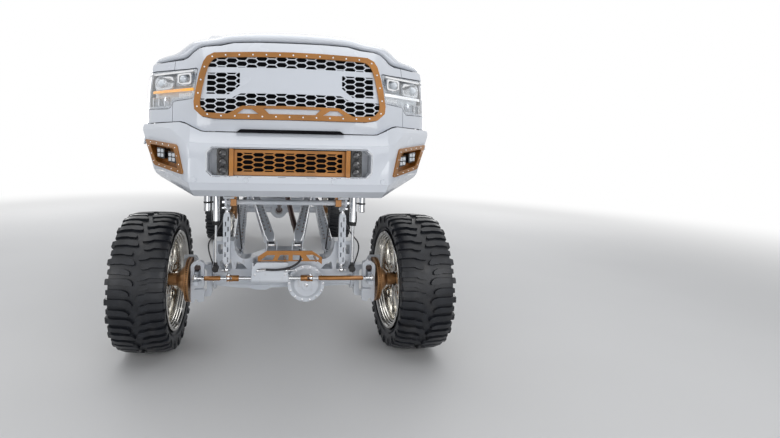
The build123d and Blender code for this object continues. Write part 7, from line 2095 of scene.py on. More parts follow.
class TRUCK_OT_cab(bpy.types.Operator):
    """Builds the cab shell with its roof, pillars, sills, screens, seals and wipers"""

    bl_idname = "truck.cab"
    bl_label = "Cab shell"

    def execute(self, context):
        shell = cab_hull()
        cavity = cab_hull(0.100, 0.062, 0.062, 0.045, 1.865)
        under = bmesh.new()
        box(under, spot(-0.800, 0.40, 1.60), spot(0.800, 2.95, FLOOR_Z))
        doorways = side_prism(rounded(grown(FRONT_DOOR, 0.006), 0.02, 3))
        more = side_prism(rounded(grown(REAR_DOOR, 0.006), 0.02, 3))
        wings = bmesh.new()
        for side in (1, -1):
            low, high = sorted((0.918 * side, 1.20 * side))
            box(wings, spot(low, 0.40, 1.60), spot(high, 0.642, 2.442))
        shell = cut_with(shell, cavity, under, doorways, more, wings)
        shell = cut_with(
            shell, screen_prism(SCREEN_OUTLINE, screen_place, -0.14, 0.10),
            screen_prism(REAR_OUTLINE, rear_place, -0.14, 0.10))
        piece("cab_body", shell, "pearl_white", "truck", ("cab_shell",), bevel=0.003)
        pillars = bmesh.new()
        for side in (1, -1):
            rows = []
            for z, x in ((1.870, 0.885), (2.480, 0.880), (2.700, 0.815), (2.960, 0.722)):
                rows.append([spot((x - 0.045) * side, 1.695, z), spot(x * side, 1.695, z), spot(x * side, 1.785, z),
                             spot((x - 0.045) * side, 1.785, z)])
            loft(pillars, rows)
        piece("cab_centre_pillars", pillars, "black_plastic", bevel=0.004)
        glass = screen_prism(SCREEN_OUTLINE, screen_place, -0.018, -0.012, -0.001)
        take(glass, screen_prism(REAR_OUTLINE, rear_place, -0.018, -0.012, -0.001))
        piece("cab_screens", glass, "window_glass", "truck", ("cab_glass",), angle=30)
        seals = bmesh.new()
        for outline, place in ((SCREEN_OUTLINE, screen_place), (REAR_OUTLINE, rear_place)):
            ring = join_shapes(screen_prism(outline, place, -0.022, -0.003, -0.0005),
                               screen_prism(outline, place, -0.030, 0.006, -0.018), "DIFFERENCE")
            take(seals, ring)
        piece("cab_screen_seals", seals, "black_plastic", bevel=0.001, segments=1)
        self.cowl()
        return {"FINISHED"}

    @staticmethod
    def cowl():
        """Vented cowl and the two wipers at the windscreen's base, and the roof's rear lamp."""
        panel = bmesh.new()
        rows = []
        for x in (-0.86, -0.60, -0.30, 0.0, 0.30, 0.60, 0.86):
            drop = 0.030 * (abs(x) / 0.86) ** 2
            rows.append([spot(x, 0.476, 2.440 - drop), spot(x, 0.480, 2.462 - drop), spot(x, 0.548, 2.484 - drop * 0.6),
                         spot(x, 0.575, 2.480 - drop * 0.6), spot(x, 0.575, 2.466 - drop), spot(x, 0.500, 2.440 - drop)])
        loft(panel, rows)
        cuts = bmesh.new()
        for index in range(34):
            x = -0.66 + index * 0.04
            box(cuts, spot(x - 0.012, 0.490, 2.40), spot(x + 0.012, 0.535, 2.52))
        piece("cowl_vents", join_shapes(panel, cuts, "DIFFERENCE"), "black_plastic", bevel=0.001, segments=1)
        arms = bmesh.new()
        for x in (-0.62, 0.05):
            base = screen_place(x, 0.020, 0.012)
            tip = screen_place(x + 0.30, 0.110, 0.010)
            rod(arms, screen_place(x, 0.020, -0.006), screen_place(x, 0.020, 0.020), 0.014, sides=18)
            rod(arms, base, tip, 0.007, 0.004, sides=10)
            blade = bmesh.new()
            start, end = screen_place(x + 0.03, 0.078, 0.003), screen_place(x + 0.55, 0.100, 0.003)
            rod(blade, start, end, 0.006, sides=8)
            take(arms, blade)
        piece("windscreen_wipers", arms, "black_plastic", angle=30)
        lamp = bmesh.new()
        box(lamp, spot(-0.145, 2.700, 3.000), spot(0.145, 2.722, 3.022))
        piece("roof_brake_lamp", lamp, "red_lens", bevel=0.004)


class TRUCK_OT_doors(bpy.types.Operator):
    """Builds the four doors with their frames, windows, seals, handles and inner panels"""

    bl_idname = "truck.doors"
    bl_label = "Doors and windows"

    def execute(self, context):
        outer, middle = cab_hull(), cab_hull(0.036, 0.036, 0.0, 0.0)
        skin_layer = join_shapes(outer, middle, "DIFFERENCE")
        layers = {}
        for name, (far, near) in {
            "skin": (0.0, 0.036), "glass": (0.012, 0.018), "seal": (0.007, 0.022), "card": (0.040, 0.088),
        }.items():
            if name == "skin":
                layers[name] = skin_layer
            else:
                layers[name] = join_shapes(cab_hull(far, far), cab_hull(near, near), "DIFFERENCE")
        for name, outline, window, handle_y, letter in DOORS:
            for side, mark in ((1, "l"), (-1, "r")):
                body = f"door_{letter}{mark}"
                pane = rounded(window, 0.024, 4)
                slab_part = one_side(rounded(outline, 0.016, 3), side)
                door = join_shapes(layers["skin"].copy(), slab_part, "INTERSECT")
                door = join_shapes(door, one_side(pane, side), "DIFFERENCE")
                for z in (2.040, 2.220):
                    hinge_y = 0.644 if name == "front" else 1.741
                    rod(door, spot(0.996 * side, hinge_y, z - 0.040), spot(0.996 * side, hinge_y, z + 0.040), 0.003, sides=12)
                piece(f"door_{name}_{mark}_skin", door, "pearl_white", body, (f"door_{name}_{mark}",), bevel=0.0035)
                glass = join_shapes(layers["glass"].copy(), one_side(grown(pane, -0.0005), side), "INTERSECT")
                piece(f"glass_{name}_{mark}_pane", glass, "window_glass", body, (f"glass_{name}_{mark}",), angle=30)
                ring = join_shapes(one_side(grown(pane, -0.0008), side), one_side(grown(pane, -0.011), side, 0.2, 1.3), "DIFFERENCE")
                seal = join_shapes(layers["seal"].copy(), ring, "INTERSECT")
                piece(f"door_{name}_{mark}_seal", seal, "black_plastic", body, bevel=0.0012, segments=1)
                inner = [(y, min(z, 2.490)) for y, z in grown(outline, -0.035)]
                inner = [p for index, p in enumerate(inner) if index == 0 or (Vector(p) - Vector(inner[index - 1])).length > 0.01]
                card = join_shapes(layers["card"].copy(), one_side(rounded(inner, 0.03, 3), side), "INTERSECT")
                self.armrest(card, side, handle_y - (0.42 if name == "front" else 0.40))
                piece(f"door_{name}_{mark}_card", card, "seat_leather", body, bevel=0.004)
                self.handle(side, handle_y, body, f"{name}_{mark}")
        for layer in layers.values():
            layer.free()
        return {"FINISHED"}

    @staticmethod
    def armrest(bm, side, y):
        low, high = sorted((0.845 * side, 0.915 * side))
        rows = []
        for at, tall in ((y, 0.020), (y + 0.05, 0.045), (y + 0.30, 0.045), (y + 0.36, 0.020)):
            rows.append([spot(low, at, 2.160), spot(high, at, 2.160), spot(high, at, 2.160 + tall), spot(low, at, 2.160 + tall)])
        loft(bm, rows)

    @staticmethod
    def handle(side, y, body, mark):
        bm = bmesh.new()
        rows = []
        for at, out, half in ((-0.115, 1.001, 0.010), (-0.108, 1.012, 0.016), (-0.080, 1.026, 0.018), (0.0, 1.030, 0.019),
                              (0.080, 1.026, 0.018), (0.108, 1.012, 0.016), (0.115, 1.001, 0.010)):
            rows.append([spot((out - 0.012) * side, y + at, 2.300 - half), spot(out * side, y + at, 2.300 - half * 0.7),
                         spot(out * side, y + at, 2.300 + half * 0.7), spot((out - 0.012) * side, y + at, 2.300 + half)])
        loft(bm, rows)
        piece(f"door_handle_{mark}", bm, "gloss_black", body, bevel=0.003)
        # Flat near-black plate round the handle: painted shade of the recessed cup
        cup = bmesh.new()
        low, high = sorted((0.9990 * side, 1.0015 * side))
        plate(cup, along(rounded([(y - 0.078, 2.262), (y + 0.078, 2.262), (y + 0.078, 2.338), (y - 0.078, 2.338)], 0.034, 5), low),
              (high - low, 0, 0))
        piece(f"door_handle_cup_{mark}", cup, "painted_shade_black", body)


# Interior


def cushion(bm, low, high, turn=0.0, about=None, crown=0.022, waist=0.012, cuts=9):
    """Crowned pad between two corners, its sides drawn in between the corners, turned about X."""
    low, high = Vector(low), Vector(high)
    centre, half = (low + high) / 2, (high - low) / 2
    pad = bmesh.new()
    bmesh.ops.create_cube(pad, size=2)
    bmesh.ops.subdivide_edges(pad, edges=pad.edges[:], cuts=cuts, use_grid_fill=True)
    for vert in pad.verts:
        u, v, w = vert.co
        swell = Vector((
            u * (1 - waist / half.x * (1 - v * v) * 0.7),
            v * (1 - waist / half.y * (1 - u * u) * 0.7),
            w * (1 + crown / half.z * (1 - u ** 4) * (1 - v ** 4) - 0.9 * crown / half.z * min(1, u ** 8 + v ** 8)),
        ))
        vert.co = Vector((swell.x * half.x, swell.y * half.y, swell.z * half.z))
    for _ in range(2):
        bmesh.ops.smooth_vert(pad, verts=pad.verts, factor=0.5, use_axis_x=True, use_axis_y=True, use_axis_z=True)
    about = Vector(about) if about else centre
    spin = Matrix.Translation(about) @ Matrix.Rotation(turn, 4, "X") @ Matrix.Translation(centre - about)
    pad.transform(spin)
    take(bm, pad)


def plump(thing, swell=0.022):
    """Blows a pad up a little as cloth under pressure, and keeps the result in its mesh."""
    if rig.quick():
        return
    mesh = thing.data
    step = thing.modifiers.new("voxels", "REMESH")
    step.mode = "VOXEL"
    step.voxel_size = 0.008
    fine = bpy.data.meshes.new_from_object(thing.evaluated_get(bpy.context.evaluated_depsgraph_get()))
    thing.modifiers.clear()
    finish_used = mesh.materials[0]
    thing.data = fine
    fine.materials.clear()
    fine.materials.append(finish_used)
    rest = [vert.co.copy() for vert in fine.vertices]
    cloth = thing.modifiers.new("pad", "CLOTH")
    cloth.settings.use_pressure = True
    cloth.settings.uniform_pressure_force = 4.0
    cloth.settings.effector_weights.gravity = 0.0
    cloth.point_cache.frame_start = 1
    cloth.point_cache.frame_end = 20
    scene = bpy.context.scene
    for frame_number in range(1, 21):
        scene.frame_set(frame_number)
    seen = thing.evaluated_get(bpy.context.evaluated_depsgraph_get())
    moved = [vert.co.copy() for vert in seen.to_mesh().vertices]
    seen.to_mesh_clear()
    thing.modifiers.clear()
    scene.frame_set(1)
    for vert, old, new in zip(fine.vertices, rest, moved):
        shift = new - old
        if shift.length > swell:
            shift = shift.normalized() * swell
        vert.co = old + shift
    fine.shade_smooth()


class TRUCK_OT_interior(bpy.types.Operator):
    """Builds the seats, dashboard, steering wheel, console, carpet and headlining"""

    bl_idname = "truck.interior"
    bl_label = "Interior"

    def execute(self, context):
        for side, mark in ((1, "l"), (-1, "r")):
            self.front_seat(0.400 * side, mark)
        self.bench()
        self.dash()
        self.wheel()
        floor = bmesh.new()
        box(floor, spot(-0.870, 0.56, 1.866), spot(0.870, 2.80, 1.874))
        bmesh.ops.subdivide_edges(floor, edges=floor.edges[:], cuts=6, use_grid_fill=True)
        piece("cab_carpet", floor, "carpet", bevel=0.002)
        lining = bmesh.new()
        rows = []
        for y, z in ((1.430, 2.900), (1.680, 2.965), (2.180, 3.010), (2.440, 3.000), (2.600, 2.960)):
            rows.append([spot(x, y, z + dz) for x, dz in ((-0.690, -0.030), (-0.600, 0.0), (0.0, 0.006), (0.600, 0.0), (0.690, -0.030),
                                                          (0.690, -0.036), (0.600, -0.006), (0.0, 0.0), (-0.600, -0.006), (-0.690, -0.036))])
        loft(lining, rows)
        piece("cab_headlining", lining, "cast_grey", slot="seat_fabric", bevel=0.002)
        return {"FINISHED"}

    @staticmethod
    def front_seat(x, mark):
        base = bmesh.new()
        box(base, spot(x - 0.195, 1.370, 1.880), spot(x + 0.195, 1.770, 2.060))
        for dx in (-0.17, 0.17):
            box(base, spot(x + dx - 0.020, 1.330, 1.866), spot(x + dx + 0.020, 1.820, 1.886))
        piece(f"seat_base_{mark}", base, "black_plastic", bevel=0.006)
        parts = (
            ("cushion", spot(x - 0.185, 1.335, 2.080), spot(x + 0.185, 1.780, 2.205), 0.0, None),
            ("back", spot(x - 0.175, 1.775, 2.215), spot(x + 0.175, 1.885, 2.640), -0.195, spot(x, 1.82, 2.215)),
        )
        pads = []
        for name, low, high, turn, about in parts:
            bm = bmesh.new()
            if name == "cushion":
                cushion(bm, low, high, turn, about)
                for dx in (-0.215, 0.215):
                    cushion(bm, spot(x + dx - 0.040, 1.335, 2.078), spot(x + dx + 0.040, 1.790, 2.222), 0.0, None, 0.010, 0.004, 6)
            else:
                cushion(bm, low, high, turn, about, 0.016)
                for dx in (-0.205, 0.205):
                    cushion(bm, spot(x + dx - 0.040, 1.755, 2.225), spot(x + dx + 0.040, 1.890, 2.610), turn, about, 0.010, 0.004, 6)
            pads.append((name, bm))
        head = bmesh.new()
        cushion(head, spot(x - 0.130, 1.780, 2.668), spot(x + 0.130, 1.868, 2.800), -0.195, spot(x, 1.82, 2.215), 0.014, 0.010, 7)
        pads.append(("headrest", head))
        for name, bm in pads:
            pad = piece(f"seat_{name}_{mark}", bm, "seat_leather", "truck", ("seats",) if name == "cushion" else ())
            plump(pad, 0.010)
            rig.padded(pad, fill=0.7)
        stays = bmesh.new()
        for dx in (-0.05, 0.05):
            rod(stays, spot(x + dx, 1.902, 2.600), spot(x + dx, 1.921, 2.700), 0.007, sides=12)
        piece(f"seat_headrest_stays_{mark}", stays, "chrome")

    @staticmethod
    def bench():
        frame_part = bmesh.new()
        box(frame_part, spot(-0.700, 2.170, 1.880), spot(0.700, 2.590, 2.060))
        piece("bench_base", frame_part, "black_plastic", bevel=0.006)
        lean_back = -0.062
        for name, low_x, high_x in (("left", 0.235, 0.700), ("middle", -0.230, 0.230), ("right", -0.700, -0.235)):
            bm = bmesh.new()
            cushion(bm, spot(low_x, 2.160, 2.075), spot(high_x, 2.570, 2.195), 0.0, None, 0.018)
            pad = piece(f"bench_cushion_{name}", bm, "seat_leather")
            plump(pad, 0.010)
            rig.padded(pad, fill=0.7)
            bm = bmesh.new()
            cushion(bm, spot(low_x, 2.575, 2.215), spot(high_x, 2.672, 2.590), lean_back, spot(0, 2.62, 2.215), 0.014)
            pad = piece(f"bench_back_{name}", bm, "seat_leather")
            plump(pad, 0.010)
            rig.padded(pad, fill=0.7)
            bm = bmesh.new()
            middle = (low_x + high_x) / 2
            cushion(bm, spot(middle - 0.110, 2.580, 2.612), spot(middle + 0.110, 2.660, 2.715), lean_back, spot(0, 2.62, 2.215),
                    0.012, 0.008, 7)
            pad = piece(f"bench_headrest_{name}", bm, "seat_leather")
            plump(pad, 0.006)
            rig.padded(pad, fill=0.7)

    @staticmethod
    def dash():
        bm = bmesh.new()
        rows = []
        for x in (-0.895, -0.70, -0.30, 0.10, 0.16, 0.60, 0.66, 0.895):
            hood = 0.030 if 0.12 < x < 0.64 else 0.0
            rows.append([spot(x, y, z) for y, z in (
                (0.545, 2.085), (0.985, 2.125), (1.022, 2.200), (1.018, 2.300), (1.000, 2.372), (0.940, 2.418 + hood),
                (0.890, 2.446 + hood), (0.780, 2.468), (0.665, 2.446), (0.560, 2.300))])
        loft(bm, rows)
        piece("dashboard_moulding", bm, "black_plastic", "truck", ("dashboard",), bevel=0.010, segments=3)
        trim, vents, screen = bmesh.new(), bmesh.new(), bmesh.new()
        for x in (-0.78, -0.30, -0.12, 0.76):
            # Near-black boxes behind the slats: painted shade of the vent openings
            box(vents, spot(x - 0.055, 1.004, 2.318), spot(x + 0.055, 1.016, 2.372))
            for index in range(5):
                z = 2.326 + index * 0.0095
                box(trim, spot(x - 0.050, 1.014, z), spot(x + 0.050, 1.020, z + 0.002))
        box(screen, spot(-0.125, 1.014, 2.205), spot(0.085, 1.024, 2.310))
        box(screen, spot(0.215, 0.938, 2.400), spot(0.545, 0.960, 2.440))
        box(trim, spot(-0.72, 1.019, 2.286), spot(-0.20, 1.0235, 2.300))
        piece("dashboard_vents", vents, "painted_shade_black", bevel=0.003)
        piece("dashboard_trim", trim, "brushed_steel", slot="polished", bevel=0.0008, segments=1)
        piece("dashboard_screens", screen, "gloss_black", bevel=0.003)
        console = bmesh.new()
        rows = []
        for y, top in ((1.000, 2.200), (1.080, 2.140), (1.300, 2.110), (1.340, 2.160), (1.800, 2.170), (1.840, 2.120)):
            rows.append([spot(-0.120, y, 1.874), spot(0.120, y, 1.874), spot(0.112, y, top - 0.02), spot(0.095, y, top),
                         spot(-0.095, y, top), spot(-0.112, y, top - 0.02)])
        loft(console, rows)
        piece("centre_console", console, "black_plastic", bevel=0.006)

    @staticmethod
    def wheel():
        middle = Vector(spot(0.380, 1.180, 2.410))
        normal = Vector((0, 0.9, 0.42)).normalized()
        turn = normal.to_track_quat("Z", "Y").to_matrix().to_4x4()
        fit = Matrix.Translation(middle) @ turn
        ring = bmesh.new()
        loops = []
        for step in range(49):
            a = 2 * pi * step / 48
            loops.append([fit @ Vector(((0.185 + 0.0145 * cos(b)) * cos(a), (0.185 + 0.0145 * cos(b)) * sin(a), 0.0145 * sin(b)))
                          for b in [2 * pi * k / 12 for k in range(12)]])
        loft(ring, loops, cap=False)
        bmesh.ops.remove_doubles(ring, verts=ring.verts, dist=0.0001)
        piece("steering_wheel_rim", ring, "seat_leather", "truck", ("steering_wheel",), angle=40)
        hub = bmesh.new()
        rows = []
        for z, r in ((-0.020, 0.040), (-0.016, 0.052), (0.010, 0.056), (0.020, 0.044)):
            rows.append([fit @ Vector((r * cos(a) * 1.15, r * sin(a), z)) for a in [2 * pi * k / 24 for k in range(24)]])
        loft(hub, rows)
        for a in (0.12, pi - 0.12, -pi / 2):
            way = Vector((cos(a), sin(a), 0))
            wide = Vector((-sin(a), cos(a), 0)) * 0.016
            rows = []
            for r, thick in ((0.045, 0.010), (0.110, 0.006), (0.178, 0.007)):
                rows.append([fit @ (way * r + wide + Vector((0, 0, -thick))), fit @ (way * r - wide + Vector((0, 0, -thick))),
                             fit @ (way * r - wide + Vector((0, 0, thick))), fit @ (way * r + wide + Vector((0, 0, thick)))])
            loft(hub, rows)
        rod(hub, spot(0.380, 1.165, 2.403), spot(0.380, 1.010, 2.325), 0.030, sides=24)
        for side in (1, -1):
            rod(hub, spot(0.380 + 0.030 * side, 1.120, 2.380), spot(0.380 + 0.165 * side, 1.112, 2.392), 0.006, 0.004, sides=10)
        piece("steering_wheel_hub", hub, "black_plastic", bevel=0.002)


# Bed, tailgate and the rear of the truck

BED_SIDE = [(x, z) for x, z in BODY_SIDE if z < 2.48] + [(0.977, 2.488), (0.970, 2.530), (0.958, 2.546)]
ARCH_Z = 1.530
LAMP_BACK = [(5.370, 2.080), (5.400, 2.450), (5.466, 2.450), (5.466, 2.080)]


def bed_hull(low_y=2.930, high_y=5.460):
    half = [(0.0, 1.672)] + list(BED_SIDE) + [(0.0, 2.548)]
    bm = bmesh.new()
    plate(bm, across(full_width(half), low_y), (0, high_y - low_y, 0))
    return bm


class TRUCK_OT_bed(bpy.types.Operator):
    """Builds the load bed with its ribbed liner, rails, wheel arches and the tailgate"""

    bl_idname = "truck.bed"
    bl_label = "Load bed and tailgate"

    def execute(self, context):
        shell = bed_hull()
        cuts = bmesh.new()
        box(cuts, spot(-0.860, 2.90, 1.60), spot(0.860, 5.50, 1.910))
        shell = join_shapes(shell, cuts, "DIFFERENCE")
        cuts = bmesh.new()
        box(cuts, spot(-0.840, 2.980, 1.960), spot(0.840, 5.60, 2.70))
        shell = join_shapes(shell, cuts, "DIFFERENCE")
        cuts = bmesh.new()
        box(cuts, spot(-0.841, 5.385, 1.930), spot(0.841, 5.60, 2.60))
        shell = join_shapes(shell, cuts, "DIFFERENCE")
        cuts = bmesh.new()
        rod(cuts, spot(-1.20, WHEELBASE, ARCH_Z), spot(-0.680, WHEELBASE, ARCH_Z), 0.520, sides=96)
        rod(cuts, spot(0.680, WHEELBASE, ARCH_Z), spot(1.20, WHEELBASE, ARCH_Z), 0.520, sides=96)
        for side in (1, -1):
            plate(cuts, along(LAMP_BACK, 0.850 * side), (0.40 * side, 0, 0))
        shell = join_shapes(shell, cuts, "DIFFERENCE")
        for side in (1, -1):
            self.arch(shell, side)
        piece("bed_body", shell, "pearl_white", "truck", ("bed",), bevel=0.003)
        self.liner()
        self.gate()
        return {"FINISHED"}

    @staticmethod
    def arch(bm, side):
        """Rolled lip round the wheel opening."""
        rows = []
        for step in range(41):
            a = radians(16 + step * 148 / 40)
            ring = []
            for radius, x in ((0.520, 0.955), (0.520, 1.003), (0.532, 1.004), (0.540, 0.998), (0.540, 0.955)):
                ring.append(spot(x * side, WHEELBASE + cos(a) * radius, ARCH_Z + sin(a) * radius))
            rows.append(ring)
        loft(bm, rows)

    @staticmethod
    def liner():
        bm = bmesh.new()
        rows = []
        count = 29
        for index in range(count * 4 + 1):
            x = -0.838 + index * (1.676 / (count * 4))
            top = 1.9725 if index % 4 in (1, 2) else 1.9665
            rows.append([spot(x, 2.984, 1.9605), spot(x, 5.378, 1.9605), spot(x, 5.378, top), spot(x, 2.984, top)])
        loft(bm, rows)
        for side in (1, -1):
            for index in range(16):
                y = 3.02 + index * 0.15
                if abs(y + 0.05 - WHEELBASE) < 0.62:
                    continue
                low, high = sorted((0.832 * side, 0.839 * side))
                box(bm, spot(low, y, 2.00), spot(high, y + 0.09, 2.46))
        for index in range(9):
            x = -0.72 + index * 0.18
            box(bm, spot(x - 0.06, 2.9805, 2.00), spot(x + 0.06, 2.988, 2.46))
        for side in (1, -1):
            rows = []
            for x in (0.655, 0.662, 0.838):
                ring = []
                radius = 0.576 if x < 0.66 else 0.583
                for step in range(33):
                    a = radians(47 + step * 86 / 32)
                    ring.append(spot(x * side, WHEELBASE + cos(a) * radius, ARCH_Z + sin(a) * radius))
                ring.append(spot(x * side, WHEELBASE - 0.393, 1.962))
                ring.append(spot(x * side, WHEELBASE + 0.393, 1.962))
                rows.append(ring)
            loft(bm, rows)
        piece("bed_liner_panels", bm, "bed_liner", "truck", bevel=0.0018, segments=1)
        rails = bmesh.new()
        for side in (1, -1):
            rows = []
            for y in (2.940, 5.450):
                rows.append([spot(x * side, y, z) for x, z in ((0.836, 2.520), (0.836, 2.552), (0.846, 2.560), (0.945, 2.560),
                                                               (0.960, 2.548), (0.966, 2.520), (0.958, 2.520), (0.952, 2.544),
                                                               (0.845, 2.546), (0.842, 2.520))])
            loft(rails, rows)
        box(rails, spot(-0.836, 2.934, 2.546), spot(0.836, 2.986, 2.558))
        piece("bed_rail_caps", rails, "black_plastic", bevel=0.002)
        hooks = bmesh.new()
        for side in (1, -1):
            for y, z in ((3.10, 2.05), (3.10, 2.42), (5.20, 2.05), (5.20, 2.42)):
                centre = spot(0.826 * side, y, z)
                turned(hooks, [(0, 0.001), (0.0, 0.030), (0.006, 0.030), (0.008, 0.001)], centre + Vector((0.006 * side, 0, 0)), (-side, 0, 0), 20)
                hose(hooks, [centre + Vector((0, -0.024, 0)), centre + Vector((-0.026 * side, -0.022, 0)),
                             centre + Vector((-0.026 * side, 0.022, 0)), centre + Vector((0, 0.024, 0))], 0.005, 8)
        piece("bed_tie_downs", hooks, "brushed_steel")
        flap = bmesh.new()
        plate(flap, along(rounded([(3.40, 2.190), (3.57, 2.190), (3.57, 2.345), (3.40, 2.345)], 0.035, 5), 0.9995), (0.002, 0, 0))
        piece("fuel_filler_flap", flap, "pearl_white", bevel=0.0008)

    @staticmethod
    def gate():
        bm = bmesh.new()
        half = [(0.0, 1.974), (0.832, 1.974), (0.832, 2.500), (0.824, 2.530), (0.0, 2.540)]
        plate(bm, across(full_width(half), 5.392), (0, 0.066, 0))
        cuts = bmesh.new()
        panel = rounded([(-0.720, 2.060), (0.720, 2.060), (0.720, 2.330), (-0.720, 2.330)], 0.03, 4)
        plate(cuts, across(panel, 5.452), (0, 0.05, 0))
        grip = rounded([(-0.110, 2.395), (0.110, 2.395), (0.110, 2.475), (-0.110, 2.475)], 0.02, 4)
        plate(cuts, across(grip, 5.436), (0, 0.05, 0))
        bm = join_shapes(bm, cuts, "DIFFERENCE")
        for side in (1, -1):
            low, high = sorted((0.832 * side, 0.8395 * side))
            rod(bm, spot(low, 5.425, 1.972), spot(high, 5.425, 1.972), 0.008, sides=20)
        piece("tailgate_panel", bm, "pearl_white", "tailgate", ("tailgate",), bevel=0.004)
        trim = bmesh.new()
        box(trim, spot(-0.830, 5.395, 2.528), spot(0.830, 5.458, 2.5395))
        lever = rounded([(-0.085, 2.405), (0.085, 2.405), (0.085, 2.452), (-0.085, 2.452)], 0.016, 4)
        plate(trim, across(lever, 5.437), (0, 0.017, 0))
        piece("tailgate_trim", trim, "black_plastic", "tailgate", bevel=0.002)
        inside = bmesh.new()
        for index in range(9):
            x = -0.70 + index * 0.175
            box(inside, spot(x - 0.055, 5.3905, 2.02), spot(x + 0.055, 5.3935, 2.46))
        piece("tailgate_liner", inside, "bed_liner", "tailgate", bevel=0.001, segments=1)


class TRUCK_OT_rear(bpy.types.Operator):
    """Builds the tail lamps, rear bumper with its steps, hitch receiver and wheel arch liners"""

    bl_idname = "truck.rear"
    bl_label = "Tail lamps and rear bumper"

    def execute(self, context):
        self.tail_lamps()
        self.bumper()
        self.liners()
        self.cooling()
        return {"FINISHED"}

    @staticmethod
    def tail_lamps():
        for side, mark in ((1, "l"), (-1, "r")):
            lens, house, white = bmesh.new(), bmesh.new(), bmesh.new()
            low_x = 0.853
            rows = []
            for z, wide, front in ((2.083, 0.996, 5.374), (2.200, 0.998, 5.383), (2.330, 0.998, 5.392), (2.400, 0.986, 5.398),
                                   (2.447, 0.980, 5.402)):
                rows.append([spot(low_x * side, 5.452, z), spot(low_x * side, 5.464, z), spot((wide - 0.045) * side, 5.465, z),
                             spot((wide - 0.012) * side, 5.456, z), spot(wide * side, 5.440, z), spot(wide * side, front, z),
                             spot((wide - 0.010) * side, front, z), spot((wide - 0.022) * side, 5.438, z)])
            loft(lens, rows)
            cut = bmesh.new()
            low, high = sorted((0.860 * side, 0.950 * side))
            box(cut, spot(low, 5.40, 2.130), spot(high, 5.50, 2.190))
            lens = join_shapes(lens, cut, "DIFFERENCE")
            box(white, spot(low, 5.455, 2.132), spot(high, 5.4625, 2.188))
            inner = sorted((0.856 * side, 0.968 * side))
            box(house, spot(inner[0], 5.400, 2.086), spot(inner[1], 5.446, 2.444))
            for z in (2.235, 2.275, 2.315, 2.355, 2.395):
                box(house, spot(inner[0], 5.445, z), spot(inner[1], 5.4515, z + 0.006))
            piece(f"tail_lens_{mark}", lens, "red_lens", "truck", ("tail_lamps",), bevel=0.0025)
            piece(f"tail_reverse_{mark}", white, "lens_frost", bevel=0.002)
            piece(f"tail_housing_{mark}", house, "gloss_black", bevel=0.002)

    @staticmethod
    def bumper():
        bm = bmesh.new()
        rows = []
        for x, out in ((-0.980, 5.500), (-0.945, 5.575), (-0.880, 5.600), (-0.500, 5.619), (0.0, 5.620), (0.500, 5.619),
                       (0.880, 5.600), (0.945, 5.575), (0.980, 5.500)):
            rows.append([spot(x, 5.473, 1.742), spot(x, 5.473, 1.903), spot(x, out - 0.030, 1.903), spot(x, out - 0.004, 1.890),
                         spot(x, out, 1.850), spot(x, out - 0.006, 1.780), spot(x, out - 0.040, 1.742)])
        loft(bm, rows)
        cuts = bmesh.new()
        plate_hole = rounded([(-0.165, 1.765), (0.165, 1.765), (0.165, 1.880), (-0.165, 1.880)], 0.02, 4)
        plate(cuts, across(plate_hole, 5.590), (0, 0.10, 0))
        bm = join_shapes(bm, cuts, "DIFFERENCE")
        for side in (1, -1):
            low, high = sorted((0.390 * side, 0.470 * side))
            box(bm, spot(low, 5.400, 1.690), spot(high, 5.480, 1.778))
        piece("rear_bumper_bar", bm, "pearl_white", "truck", ("rear_bumper",), bevel=0.004)
        pads = bmesh.new()
        for side in (1, -1):
            low, high = sorted((0.300 * side, 0.930 * side))
            box(pads, spot(low, 5.480, 1.9025), spot(high, 5.570, 1.9045))
            for index in range(21):
                x = (0.315 + index * 0.030) * side
                box(pads, spot(x - 0.004, 5.485, 1.9035), spot(x + 0.004, 5.565, 1.9050))
        piece("rear_bumper_steps", pads, "black_plastic", bevel=0.0006, segments=1)
        tag = bmesh.new()
        plate(tag, across(rounded([(-0.152, 1.772), (0.152, 1.772), (0.152, 1.872), (-0.152, 1.872)], 0.008, 3), 5.592), (0, 0.003, 0))
        piece("rear_blank_plate", tag, "lens_frost", slot="pearl_white", bevel=0.0008)
        low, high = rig.box("hitch_receiver")
        tube = bmesh.new()
        box(tube, low, high)
        hole = bmesh.new()
        box(hole, (low.x + 0.006, low.y + 0.02, low.z + 0.006), (high.x - 0.006, high.y + 0.05, high.z - 0.006))
        tube = join_shapes(tube, hole, "DIFFERENCE")
        collar = bmesh.new()
        box(collar, (low.x - 0.006, high.y - 0.022, low.z - 0.006), (high.x + 0.006, high.y - 0.001, high.z + 0.006))
        hole = bmesh.new()
        box(hole, (low.x + 0.005, high.y - 0.05, low.z + 0.005), (high.x - 0.005, high.y + 0.05, high.z - 0.005))
        take(tube, join_shapes(collar, hole, "DIFFERENCE"))
        pin = bmesh.new()
        rod(pin, (low.x - 0.03, high.y - 0.060, (low.z + high.z) / 2), (high.x + 0.03, high.y - 0.060, (low.z + high.z) / 2), 0.0082, sides=24)
        tube = join_shapes(tube, pin, "DIFFERENCE")
        piece("hitch_receiver_tube", tube, "frame_black", "truck", ("hitch_receiver",), bevel=0.0015)

    @staticmethod
    def liners():
        """Black inner liners over the four wheels."""
        bm = bmesh.new()
        for middle, low_x, high_x, first, last in ((0.0, 0.715, 0.955, 22, 158), (WHEELBASE, 0.690, 0.955, 24, 156)):
            for side in (1, -1):
                rows = []
                for step in range(37):
                    a = radians(first + (last - first) * step / 36)
                    rows.append([spot(x * side, middle + cos(a) * r, ARCH_Z + sin(a) * r)
                                 for x, r in ((low_x, 0.516), (high_x, 0.516), (high_x, 0.519), (low_x, 0.519))])
                loft(bm, rows)
        piece("wheel_arch_liners", bm, "black_plastic", bevel=0.0008, segments=1)

